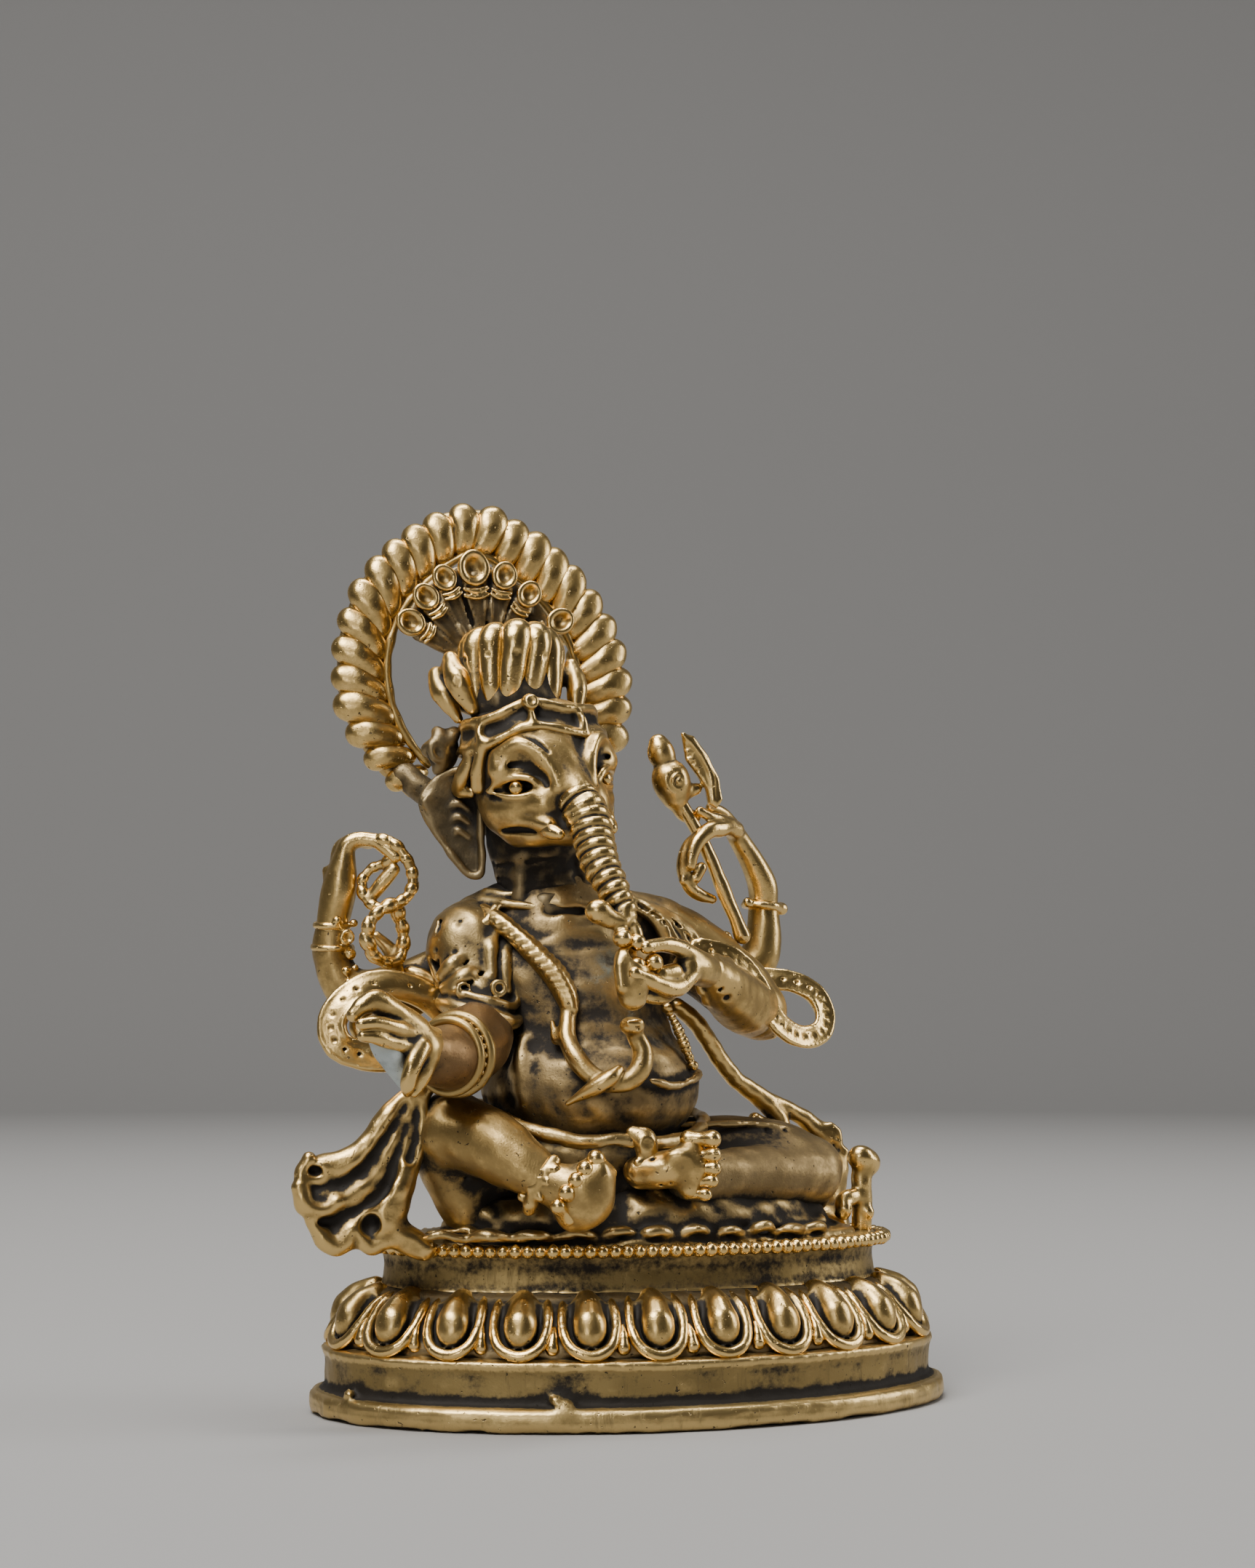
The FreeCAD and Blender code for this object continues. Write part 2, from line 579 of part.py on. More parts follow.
# ---------------------------------------------------------------- assembly
def build():
    """Every sub-part by name."""
    made = {}
    made["pedestal_shell"] = shell = pedestal_shell()
    made["base_plate"] = base_plate()
    made["lotus_petals"] = lotus_petals(shell)
    made["petal_tips"] = petal_tips(shell)
    made["seat_plate"] = seat_plate()
    made["edge_beads"] = edge_beads()

    made["torso"] = body = torso()
    made["dhoti_hem"] = hem = dhoti_hem()
    made["waist_belt"] = belt = waist_belt(body)
    made["belt_clasp"] = belt_clasp(belt, body)
    made["shoulder_scarf"] = scarf = shoulder_scarf(body)
    made["serpent_thread"] = serpent_thread(body, scarf)
    made["neck"] = throat = neck(body, scarf)

    made["head"] = skull = head(throat)
    made["trunk"] = snout = trunk(skull)
    made["right_ear"] = right_ear(skull)
    made["left_ear"] = left_ear(skull)
    made["tusks"] = tusks(skull, snout)
    made["eyes"] = eyes(skull, snout)
    made["headband"] = band = headband(skull)
    made["crown_core"] = core = crown_core(band)
    made["crown_petals"] = tongues = crown_petals(core, band)
    made["feather_rings"] = eyelets = feather_rings()
    made["feather_fan"] = feather_fan(core, tongues, eyelets)
    made["right_ear_ornament"] = ear_ornament(V(-20.4, 2.4, 71.8), skull, band)
    made["left_ear_ornament"] = ear_ornament(V(-5.6, 4.4, 71.8), skull, band)

    made["halo_ring"] = flames = halo_ring()
    made["halo_rim"] = rim = halo_rim()
    made["halo_bridge"] = halo_bridge(skull, throat, flames, rim)

    made["right_upper_arm"] = right_upper = right_upper_arm(body, scarf)
    made["right_forearm"] = right_fore = seated(right_forearm(right_upper), body)
    made["right_cuff"] = cuff = right_cuff(right_fore)
    made["right_hand"] = palm = right_hand(right_fore)
    made["held_tusk"] = held_tusk(palm)
    made["left_upper_arm"] = left_upper = left_upper_arm(body, scarf)
    made["left_forearm"] = left_fore = seated(left_forearm(left_upper), body)
    made["left_hand"] = bowl_hand = seated(left_hand(left_fore), body, snout)
    made["sweet_bowl"] = bowl = seated(sweet_bowl(bowl_hand, snout), body)
    made["sweets"] = sweets(bowl, bowl_hand, snout)

    made["right_rear_arm"] = right_rear = right_rear_arm(body, scarf, right_upper)
    made["left_rear_arm"] = left_rear = left_rear_arm(body, scarf, left_upper)
    right_bracelet, left_bracelet = rear_bracelets()
    made["rear_bracelets"] = seated_each([right_bracelet, left_bracelet], right_rear, left_rear)
    made["right_rear_hand"] = raised = right_rear_hand(right_rear, made["rear_bracelets"])
    made["loop_chain"] = loop_chain(raised)
    made["axe_shaft"] = shaft = seated(axe_shaft(), left_rear)
    made["axe_head"] = axe_head(shaft)
    made["left_rear_hand"] = seated(left_rear_hand(left_rear, made["rear_bracelets"], shaft), made["axe_head"])

    made["right_leg"] = bent = seated(right_leg(body, hem), right_upper, right_fore, cuff)
    made["left_leg"] = folded = left_leg(body, hem)
    made["right_foot"] = near_foot = seated(right_foot(bent, hem), folded)
    made["left_foot"] = seated(left_foot(folded, hem, body), belt, made["belt_clasp"])
    made["anklet"] = anklet(bent, near_foot, hem)

    arms = (right_upper, right_fore, cuff, right_rear, body, scarf, palm)
    made["right_sash_loop"] = right_sash_loop(*arms)
    made["right_drapery"] = seated(right_drapery(bent, hem, *arms), made["right_sash_loop"], made["seat_plate"],
                                   made["edge_beads"])
    made["left_sash_loop"] = left_loop = left_sash_loop(left_upper, left_fore, left_rear, body, scarf)
    made["left_sash_tail"] = left_sash_tail(left_upper, left_fore, left_rear, left_loop, folded, body, hem, belt)
    made["mouse_figure"] = mouse_figure(hem)
    return made


os.makedirs(OUT, exist_ok=True)
for node, shape in build().items():
    box = shape.BoundBox
    print(f"{node:20s} solids {len(shape.Solids):3d} valid {shape.isValid()} volume {shape.Volume:9.1f} "
          f"x {box.XMin:.1f}..{box.XMax:.1f} y {box.YMin:.1f}..{box.YMax:.1f} z {box.ZMin:.1f}..{box.ZMax:.1f}")
    shape.exportStep(f"{OUT}/{node}.step")
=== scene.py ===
"""The looks of a small cast brass statue: a seated, four-armed, elephant-headed deity on an oval lotus base.

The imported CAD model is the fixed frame. The figure is sculpted the way the wax was: every sub-part is a lump
of "clay", a distance field that strokes are added to and cut from, and is then turned into a closed mesh.
What repeats (petals, pearls, halo strands, crown tongues, fan eyes, chain beads, toes) is scattered by one
Geometry Nodes tree, and cords and rims are swept by another. Lengths in this file are millimetres in the row
frame, and are turned into metres as a mesh is made.
"""

import logging
import math
from dataclasses import dataclass, field
from enum import Enum
from typing import Callable, Iterable, Sequence

import bpy
import numpy as np
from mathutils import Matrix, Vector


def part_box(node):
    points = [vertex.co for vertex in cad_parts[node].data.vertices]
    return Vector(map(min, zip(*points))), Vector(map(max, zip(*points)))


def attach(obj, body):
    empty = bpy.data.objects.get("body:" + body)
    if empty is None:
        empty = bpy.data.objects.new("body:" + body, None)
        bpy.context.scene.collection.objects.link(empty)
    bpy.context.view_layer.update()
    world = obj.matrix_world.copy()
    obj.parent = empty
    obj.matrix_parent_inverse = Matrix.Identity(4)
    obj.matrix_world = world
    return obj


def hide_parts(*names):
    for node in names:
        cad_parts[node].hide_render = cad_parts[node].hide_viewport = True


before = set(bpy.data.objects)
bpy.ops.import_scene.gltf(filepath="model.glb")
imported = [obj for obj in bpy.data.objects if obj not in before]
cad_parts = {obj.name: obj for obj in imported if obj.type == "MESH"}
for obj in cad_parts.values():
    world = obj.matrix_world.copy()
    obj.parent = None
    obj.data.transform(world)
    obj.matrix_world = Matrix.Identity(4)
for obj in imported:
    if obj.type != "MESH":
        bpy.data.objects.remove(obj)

import openvdb
from mathutils import Euler, Matrix, Vector

log = logging.getLogger("statue")
logging.basicConfig(level=logging.INFO, format="%(message)s")

MM = 0.001
FAR = 6.0                        # millimetres; what a distance field says far from any clay
PAD = 1.2                        # how far outside a stroke its distance is still worked out
BODY = "root"

Point = Sequence[float]
Field3 = np.ndarray


class Slot(Enum):
    """The record's material slots."""

    BASE = "aged_brass_base"
    BRIGHT = "bright_brass"
    BODY = "aged_brass_body"
    DARK = "dark_patina_brass"


# ---------------------------------------------------------------- the CAD frame
def node_box(node: str) -> tuple[np.ndarray, np.ndarray]:
    """The box of a CAD node.

    Args:
        node: the CAD node's name.

    Returns:
        Its lowest and highest corner in millimetres.
    """
    low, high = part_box(node)
    return np.array(low) / MM, np.array(high) / MM


def node_middle(node: str) -> np.ndarray:
    """The middle of a CAD node's box, in millimetres."""
    low, high = node_box(node)
    return (low + high) / 2


@dataclass(frozen=True)
class Local:
    """A turned and rolled set of axes to sculpt in.

    Args:
        origin: where it sits in the row frame.
        turn: degrees about Z, positive towards the figure's left.
        roll: degrees about the forward axis, positive lifts the left side.
        wide: what widths given to at() are multiplied by.
    """

    origin: np.ndarray
    turn: float = 0.0
    roll: float = 0.0
    wide: float = 1.0

    def axes(self) -> np.ndarray:
        """Rows: towards the figure's left, forward, and up."""
        turn, roll = math.radians(self.turn), math.radians(self.roll)
        left = np.array([math.cos(turn), math.sin(turn), 0.0])
        ahead = np.array([math.sin(turn), -math.cos(turn), 0.0])
        up = np.array([0.0, 0.0, 1.0])
        tilted_left = left * math.cos(roll) + up * math.sin(roll)
        tilted_up = up * math.cos(roll) - left * math.sin(roll)
        return np.array([tilted_left, ahead, tilted_up])

    def at(self, left: float, ahead: float, up: float) -> np.ndarray:
        """A point of these axes, in the row frame."""
        return self.origin + np.array([left * self.wide, ahead, up]) @ self.axes()

    def line(self, *points: Point) -> list[np.ndarray]:
        """Several points of these axes, in the row frame."""
        return [self.at(*p) for p in points]


# ---------------------------------------------------------------- clay
def smooth_path(points: Sequence[Point], radii: Sequence[float], pieces: int = 9) -> tuple[np.ndarray,
        np.ndarray]:
    """A smooth run through control points.

    Args:
        points: control points in millimetres.
        radii: the stroke's radius at each.
        pieces: straight pieces from one control point to the next.

    Returns:
        The finer points and their radii.
    """
    data = np.column_stack([np.array(points, float), np.array(radii, float)])
    ext = np.vstack([2 * data[0] - data[1], data, 2 * data[-1] - data[-2]])
    out = []
    for i in range(1, len(ext) - 2):
        a, b, c, d = ext[i - 1:i + 3]
        for t in np.arange(pieces) / pieces:
            out.append(0.5 * (2 * b + (c - a) * t + (2 * a - 5 * b + 4 * c - d) * t**2
                + (3 * b - a - 3 * c + d) * t**3))
    out.append(ext[-2])
    run = np.array(out)
    return run[:, :3], np.maximum(run[:, 3], 0.05)


def smooth_min(a: Field3, b: Field3, blend: float) -> Field3:
    """The union of two fields with a fillet about blend wide."""
    if blend <= 0:
        return np.minimum(a, b)
    h = np.clip(0.5 + 0.5 * (b - a) / blend, 0, 1)
    return b + (a - b) * h - blend * h * (1 - h)


@dataclass
class Stroke:
    """One addition to, or cut from, a lump of clay."""

    low: np.ndarray
    high: np.ndarray
    paint: Callable[["Clay"], None]
    adds: bool


@dataclass
class Clay:
    """A distance field built from strokes.

    Args:
        voxel: the grid's step in millimetres.
        seed: of the slight unevenness of a hand-modelled surface.
        uneven: that unevenness, in millimetres.
    """

    voxel: float = 0.24
    seed: int = 1
    uneven: float = 0.05
    strokes: list[Stroke] = field(default_factory=list)
    low: np.ndarray | None = None
    d: Field3 | None = None

    # -- strokes
    def limb(self, points: Sequence[Point], radii: Sequence[float], blend: float = 0.8, cut: bool = False,
             smooth: bool = True, flat: tuple[Point, float] | None = None) -> "Clay":
        """A round stroke along points.

        Args:
            points: its route.
            radii: its radius at each point.
            blend: the fillet to what is there already.
            cut: True removes clay.
            smooth: False keeps the route's corners.
            flat: an axis to flatten the section along, and the share of the radius kept there.
        """
        path, rad = smooth_path(points, radii) if smooth else (np.array(points, float),
            np.array(radii, float))
        reach = float(rad.max())

        def paint(clay: "Clay") -> None:
            window, xyz = clay.window(path.min(0) - reach - PAD, path.max(0) + reach + PAD)
            if window is None:
                return
            own = np.full([len(a.ravel()) for a in xyz], FAR, np.float32)
            for a, b, ra, rb in zip(path, path[1:], rad, rad[1:]):
                r = max(ra, rb) + PAD
                near = clay.inside(window, np.minimum(a, b) - r, np.maximum(a, b) + r)
                if near is None:
                    continue
                part = clay.points(window, near)
                own[near] = np.minimum(own[near], _round_cone(part, a, b, ra, rb, flat))
            clay.merge(window, own, blend, cut)

        self.strokes.append(Stroke(path.min(0) - reach, path.max(0) + reach, paint, not cut))
        return self

    def egg(self, centre: Point, radii: Point, axes: np.ndarray | None = None, blend: float = 1.0,
            cut: bool = False) -> "Clay":
        """An ellipsoid; axes are the rows of its own directions, or the row frame's."""
        centre, radii = np.array(centre, float), np.array(radii, float)
        rows = np.eye(3) if axes is None else axes
        half = np.sqrt(((rows.T * radii) ** 2).sum(1))

        def paint(clay: "Clay") -> None:
            window, (x, y, z) = clay.window(centre - half - PAD, centre + half + PAD)
            if window is None:
                return
            p = [x - centre[0], y - centre[1], z - centre[2]]
            q = [p[0] * r[0] + p[1] * r[1] + p[2] * r[2] for r in rows]
            k0 = np.sqrt(sum((c / r) ** 2 for c, r in zip(q, radii)))
            k1 = np.sqrt(sum((c / r**2) ** 2 for c, r in zip(q, radii))) + 1e-9
            clay.merge(window, (k0 * (k0 - 1) / k1).astype(np.float32), blend, cut)

        self.strokes.append(Stroke(centre - half, centre + half, paint, not cut))
        return self

    def plate(self, axes: Local, outline: Sequence[tuple[float, float]], thickness: float, blend: float = 0.5,
              rounding: float = 0.3, cut: bool = False, bend: float = 0.0) -> "Clay":
        """A plate whose outline is (left, up) pairs in axes, bent back by bend times the square of its width."""
        ring = np.array(outline, float)
        corners = np.array([axes.at(u, s * (thickness + 1), v) for u, v in ring for s in (-1, 1)])
        rows, spread = axes.axes(), 1.0 + abs(bend) * float(np.abs(ring[:, 0]).max()) ** 2

        def paint(clay: "Clay") -> None:
            window, (x, y, z) = clay.window(corners.min(0) - spread - PAD, corners.max(0) + spread + PAD)
            if window is None:
                return
            p = [x - axes.origin[0], y - axes.origin[1], z - axes.origin[2]]
            u, w, v = [p[0] * r[0] + p[1] * r[1] + p[2] * r[2] for r in rows]
            edge = _polygon(u, v, ring) + rounding
            face = np.abs(w + bend * u**2) - thickness / 2 + rounding
            own = np.minimum(np.maximum(edge, face), 0) - rounding
            own = own + np.sqrt(np.maximum(edge, 0) ** 2 + np.maximum(face, 0) ** 2)
            clay.merge(window, own.astype(np.float32), blend, cut)

        self.strokes.append(Stroke(corners.min(0) - spread, corners.max(0) + spread, paint, not cut))
        return self

    def oval_tier(self, profile: Sequence[tuple[float, float]], narrower: float, centre: Point = (0, 0),
                  blend: float = 0.3, cut: bool = False, wavy: float = 0.0) -> "Clay":
        """A turned oval solid: profile is (height, half length), and the half depth is narrower by a fixed amount."""
        z_line, a_line = np.array(profile, float).T
        widest = a_line.max() + wavy
        low = np.array([centre[0] - widest, centre[1] - widest + narrower, z_line[0]])
        high = np.array([centre[0] + widest, centre[1] + widest - narrower, z_line[-1]])

        def paint(clay: "Clay") -> None:
            window, (x, y, z) = clay.window(low - PAD, high + PAD)
            if window is None:
                return
            round_it = np.arctan2(y - centre[1], x - centre[0])
            swell = wavy * (np.sin(3 * round_it + 0.6) + 0.6 * np.sin(7 * round_it + 2.0) + 0.5
                * np.sin(13 * round_it))
            a = np.interp(z, z_line, a_line) + swell
            b = a - narrower
            px, py = x - centre[0], y - centre[1]
            k = np.sqrt((px / a) ** 2 + (py / b) ** 2) + 1e-6
            side = (k - 1) * k / (np.sqrt((px / a**2) ** 2 + (py / b**2) ** 2) + 1e-6)
            ends = np.maximum(z_line[0] - z, z - z_line[-1])
            clay.merge(window, np.maximum(side, ends).astype(np.float32), blend, cut)

        self.strokes.append(Stroke(low, high, paint, not cut))
        return self

    def ring(self, axes: Local, radius_left: float, radius_up: float, thick: float, blend: float = 0.3,
             start: float = 0.0, sweep: float = 360.0) -> "Clay":
        """A round wire bent to an oval, or to a part of one."""
        angles = np.radians(start + np.linspace(0, sweep, 25))
        path = [axes.at(radius_left * math.cos(t), 0.0, radius_up * math.sin(t)) for t in angles]
        return self.limb(path, [thick] * len(path), blend=blend, smooth=False)

    def groove(self, points: Sequence[Point], radius: float = 0.22) -> "Clay":
        """A thin engraved line."""
        return self.limb(points, [radius] * len(points), blend=0.12, cut=True)

    def pits(self, centres: Iterable[Point], radius: float) -> "Clay":
        """Punched round dots."""
        for c in centres:
            self.egg(c, (radius,) * 3, blend=0.1, cut=True)
        return self

    # -- the grid
    def window(self, low: np.ndarray, high: np.ndarray):
        """The part of the grid between two corners, as slices and open coordinate arrays."""
        first = np.maximum(np.floor((low - self.low) / self.voxel).astype(int), 0)
        last = np.minimum(np.ceil((high - self.low) / self.voxel).astype(int) + 1, self.d.shape)
        if (last <= first).any():
            return None, (np.zeros(0),) * 3
        slices = tuple(slice(int(a), int(b)) for a, b in zip(first, last))
        return slices, self.points(slices)

    def inside(self, window, low: np.ndarray, high: np.ndarray):
        """The part of a window between two corners, as slices within the window, or None."""
        first = np.floor((low - self.low) / self.voxel).astype(int) - [s.start for s in window]
        last = np.ceil((high - self.low) / self.voxel).astype(int) + 1 - [s.start for s in window]
        first = np.maximum(first, 0)
        last = np.minimum(last, [s.stop - s.start for s in window])
        return None if (last <= first).any() else tuple(slice(int(a), int(b)) for a, b in zip(first, last))

    def points(self, window, within=None):
        """Open coordinate arrays of a window, or of a part of it."""
        out = []
        for axis, s in enumerate(window):
            start, stop = (s.start, s.stop) if within is None else (
                s.start + within[axis].start, s.start + within[axis].stop)
            line = (self.low[axis] + self.voxel * np.arange(start, stop)).astype(np.float32)
            out.append(line.reshape([-1 if i == axis else 1 for i in range(3)]))
        return out

    def merge(self, window, own: Field3, blend: float, cut: bool) -> None:
        """Adds a stroke's own field to the clay, or cuts it away."""
        here = self.d[window]
        self.d[window] = -smooth_min(-here, own, blend) if cut else smooth_min(here, own, blend)

    def build(self) -> "Clay":
        """Works out the field."""
        if self.d is not None:
            return self
        added = [s for s in self.strokes if s.adds]
        low = np.min([s.low for s in added], 0) - 4 * self.voxel
        high = np.max([s.high for s in added], 0) + 4 * self.voxel
        self.low = low
        self.d = np.full(np.ceil((high - low) / self.voxel).astype(int) + 1, FAR, np.float32)
        for stroke in self.strokes:
            stroke.paint(self)
        if self.uneven:
            self._roughen()
        return self

    def _roughen(self) -> None:
        """Gives the surface the slight unevenness of modelled wax."""
        rng = np.random.default_rng(self.seed)
        near = np.argwhere(np.abs(self.d) < 3 * self.voxel)
        where = (self.low + near * self.voxel).astype(np.float32)
        total = np.zeros(len(near), np.float32)
        for _ in range(14):
            direction = rng.normal(size=3)
            direction *= 2 * math.pi / (rng.uniform(1.6, 6.0) * np.linalg.norm(direction))
            total += np.sin(where @ direction.astype(np.float32) + rng.uniform(0, 6.28))
        self.d[tuple(near.T)] += total * (self.uneven / 3.7)

    def surface(self) -> tuple[np.ndarray, np.ndarray, np.ndarray]:
        """The clay's skin.

        Returns:
            Points in millimetres, quads, and how sharply the skin bulges (+) or is hollow (-) at each point.
        """
        self.build()
        band = 3 * self.voxel
        grid = openvdb.FloatGrid(background=band)
        grid.copyFromArray(np.clip(self.d, -band, band))
        points, quads = grid.convertToQuads()
        fine = _sample(_soften(np.clip(self.d, -0.8, 0.8), max(1, round(0.35 / self.voxel))), points)
        wide = _sample(_soften(np.clip(self.d, -1.6, 1.6), max(2, round(0.95 / self.voxel))), points)
        quads = quads.astype(np.int32)
        return _relax(points.astype(float), quads) * self.voxel + self.low, quads, 9.0 * fine + 0.9 * wide


def _round_cone(xyz, a, b, ra, rb, flat) -> Field3:
    """The distance to a round piece between two points, flattened along an axis if flat is given."""
    ab = b - a
    px, py, pz = (c - a[i] for i, c in enumerate(xyz))
    t = np.clip((px * ab[0] + py * ab[1] + pz * ab[2]) / max(float(ab @ ab), 1e-9), 0, 1)
    qx, qy, qz = px - t * ab[0], py - t * ab[1], pz - t * ab[2]
    if flat is not None:
        axis = np.array(flat[0], float)
        axis /= np.linalg.norm(axis)
        more = (qx * axis[0] + qy * axis[1] + qz * axis[2]) * (1 / flat[1] - 1)
        qx, qy, qz = qx + more * axis[0], qy + more * axis[1], qz + more * axis[2]
        distance = np.sqrt(qx**2 + qy**2 + qz**2) - (ra + (rb - ra) * t)
        return (distance * (0.5 + 0.5 * flat[1])).astype(np.float32)
    return (np.sqrt(qx**2 + qy**2 + qz**2) - (ra + (rb - ra) * t)).astype(np.float32)


def _polygon(u: Field3, v: Field3, ring: np.ndarray) -> Field3:
    """The signed distance in a plane to a closed outline."""
    u, v = np.broadcast_arrays(u, v)
    best = np.full(u.shape, 1e9, np.float32)
    sign = np.ones(u.shape, np.float32)
    for (x0, y0), (x1, y1) in zip(ring, np.roll(ring, -1, 0)):
        ex, ey = x1 - x0, y1 - y0
        wx, wy = u - x0, v - y0
        t = np.clip((wx * ex + wy * ey) / (ex * ex + ey * ey + 1e-9), 0, 1)
        best = np.minimum(best, (wx - ex * t) ** 2 + (wy - ey * t) ** 2)
        above, below, turn = v >= y0, v < y1, ex * wy > ey * wx
        sign = np.where((above & below & turn) | (~above & ~below & ~turn), -sign, sign)
    return sign * np.sqrt(best)


def _soften(values: Field3, steps: int) -> Field3:
    """A box blur, run twice along each axis."""
    for axis in range(3):
        for _ in range(2):
            size = values.shape[axis]
            if size <= 2 * steps + 1:
                continue
            pads = [(steps + 1, steps) if a == axis else (0, 0) for a in range(3)]
            total = np.cumsum(np.pad(values, pads, mode="edge"), axis=axis, dtype=np.float32)
            upper = np.take(total, range(2 * steps + 1, size + 2 * steps + 1), axis)
            values = (upper - np.take(total, range(size), axis)) / (2 * steps + 1)
    return values


def _relax(points: np.ndarray, quads: np.ndarray) -> np.ndarray:
    """Evens out the grid's steps in a skin without shrinking it."""
    ends = np.vstack([quads[:, [i, (i + 1) % 4]] for i in range(4)])
    near, far = ends.ravel(), ends[:, ::-1].ravel()
    count = np.maximum(np.bincount(near, minlength=len(points)), 1)
    for step in (0.6, -0.62, 0.6, -0.62, 0.5):
        mean = np.column_stack([np.bincount(near, points[far, i], len(points))
            for i in range(3)]) / count[:, None]
        points = points + step * (mean - points)
    return points


def _sample(values: Field3, points: np.ndarray) -> np.ndarray:
    """Values of a grid at points given in grid steps."""
    base = np.clip(np.floor(points).astype(int), 0, np.array(values.shape) - 2)
    part = points - base
    out = np.zeros(len(points))
    for corner in np.ndindex(2, 2, 2):
        weight = np.prod(np.where(corner, part, 1 - part), axis=1)
        out += weight * values[tuple((base + corner).T)]
    return out


# ---------------------------------------------------------------- materials
class Wires:
    """Shorthand for building one node tree.

    Args:
        tree: the tree to build in.
    """

    def __init__(self, tree: bpy.types.NodeTree):
        self.tree = tree

    def node(self, kind: str, label: str = "", **settings):
        """A new node; every setting is given to it as a property."""
        made = self.tree.nodes.new(kind)
        made.label = label
        for name, value in settings.items():
            setattr(made, name, value)
        return made

    def feed(self, node, **inputs):
        """Gives a node's inputs values or links; an underscore stands for a space."""
        for name, value in inputs.items():
            socket = node.inputs[int(name[1:])] if name[1:].isdigit() else node.inputs[name.replace("_", " ")]
            if isinstance(value, bpy.types.NodeSocket):
                self.tree.links.new(value, socket)
            else:
                socket.default_value = value
        return node

    def math(self, operation: str, a, b=0.0, c=0.0, clamp: bool = False):
        """A math node's result."""
        made = self.node("ShaderNodeMath", operation=operation, use_clamp=clamp)
        self.feed(made, i0=a, i1=b, i2=c)
        return made.outputs[0]

    def mix(self, share, a, b):
        """A colour between a and b."""
        made = self.node("ShaderNodeMix", data_type="RGBA")
        for socket, value in ((made.inputs[0], share), (made.inputs[6], a), (made.inputs[7], b)):
            if isinstance(value, bpy.types.NodeSocket):
                self.tree.links.new(value, socket)
            else:
                socket.default_value = value
        return made.outputs[2]

    def ramp(self, value, low: float, high: float):
        """0 below low, 1 above high, and smooth between."""
        made = self.node("ShaderNodeMapRange", interpolation_type="SMOOTHSTEP")
        self.feed(made, i0=value, i1=low, i2=high, i3=0.0, i4=1.0)
        return made.outputs[0]

    def noise(self, where, scale: float, detail: float = 3.0, roughness: float = 0.55,
            stretch: Point | None = None):
        """Noise at a number of features per millimetre, stretched along the axes if asked."""
        mapping = self.node("ShaderNodeMapping")
        factor = scale / MM
        spread = stretch or (1, 1, 1)
        self.feed(mapping, Vector=where, Scale=[factor * s for s in spread])
        made = self.node("ShaderNodeTexNoise")
        self.feed(made, Vector=mapping.outputs[0], Scale=1.0, Detail=detail, Roughness=roughness)
        return made.outputs[0]


def shade_group(name: str, inputs: dict[str, float], outputs: Sequence[str],
                fill: Callable[[Wires, dict], dict]) -> bpy.types.NodeTree:
    """A shader node group with float inputs.

    Args:
        name: the group's name.
        inputs: input names and default values.
        outputs: output names, all floats.
        fill: builds the inside; takes the wires and the input sockets, returns the output values.

    Returns:
        The group.
    """
    tree = bpy.data.node_groups.new(name, "ShaderNodeTree")
    for key, value in inputs.items():
        tree.interface.new_socket(key, in_out="INPUT", socket_type="NodeSocketFloat").default_value = value
    for key in outputs:
        tree.interface.new_socket(key, in_out="OUTPUT", socket_type="NodeSocketFloat")
    wires = Wires(tree)
    entry, exit_ = tree.nodes.new("NodeGroupInput"), tree.nodes.new("NodeGroupOutput")
    results = fill(wires, {key: entry.outputs[key] for key in inputs})
    for key in outputs:
        tree.links.new(results[key], exit_.inputs[key])
    return tree


def patina_group() -> bpy.types.NodeTree:
    """How dark and how worn the metal is, from the shape's hollows and edges."""

    def fill(w: Wires, given: dict) -> dict:
        where = w.node("ShaderNodeTexCoord").outputs["Object"]
        bulge = w.node("ShaderNodeAttribute", attribute_name="bulge").outputs["Fac"]
        crowd = w.node("ShaderNodeAttribute", attribute_name="crowd").outputs["Fac"]
        cloud = w.math("SUBTRACT", w.noise(where, 0.16, 4.0), 0.5)
        speck = w.math("SUBTRACT", w.noise(where, 1.5, 4.0, 0.65), 0.5)
        hollow = w.math("MULTIPLY_ADD", bulge, -0.6, w.math("MULTIPLY", w.math("SUBTRACT", crowd, 0.53), 2.7))
        dirt = w.math("ADD", hollow, given["Amount"])
        dirt = w.math("MULTIPLY_ADD", cloud, 0.55, dirt)
        dirt = w.math("MULTIPLY_ADD", speck, 1.0, dirt)
        wear = w.math("MULTIPLY_ADD", bulge, 0.5, w.math("MULTIPLY", cloud, 0.5))
        wear = w.math("MULTIPLY_ADD", speck, 0.5, wear)
        return {"Dark": w.ramp(dirt, -0.22, 0.34), "Worn": w.ramp(wear, 0.04, 0.52),
            "Cloud": w.math("ADD", cloud, 0.5)}

    return shade_group("patina", {"Amount": 0.0}, ("Dark", "Worn", "Cloud"), fill)


def cast_group() -> bpy.types.NodeTree:
    """The height of the cast skin: a fine grain, soft dents, and casting pores."""

    def fill(w: Wires, given: dict) -> dict:
        where = w.node("ShaderNodeTexCoord").outputs["Object"]
        dents = w.math("MULTIPLY", w.noise(where, 0.55, 2.0), 0.06)
        grain = w.math("MULTIPLY", w.noise(where, 4.5, 3.0, 0.6), given["Grain"])
        pore = w.ramp(w.noise(where, 1.9, 2.0), 0.675, 0.73)
        height = w.math("ADD", dents, grain)
        height = w.math("MULTIPLY_ADD", pore, -0.06, height)
        return {"Height": height, "Pores": pore}

    return shade_group("cast_skin", {"Grain": 0.02}, ("Height", "Pores"), fill)


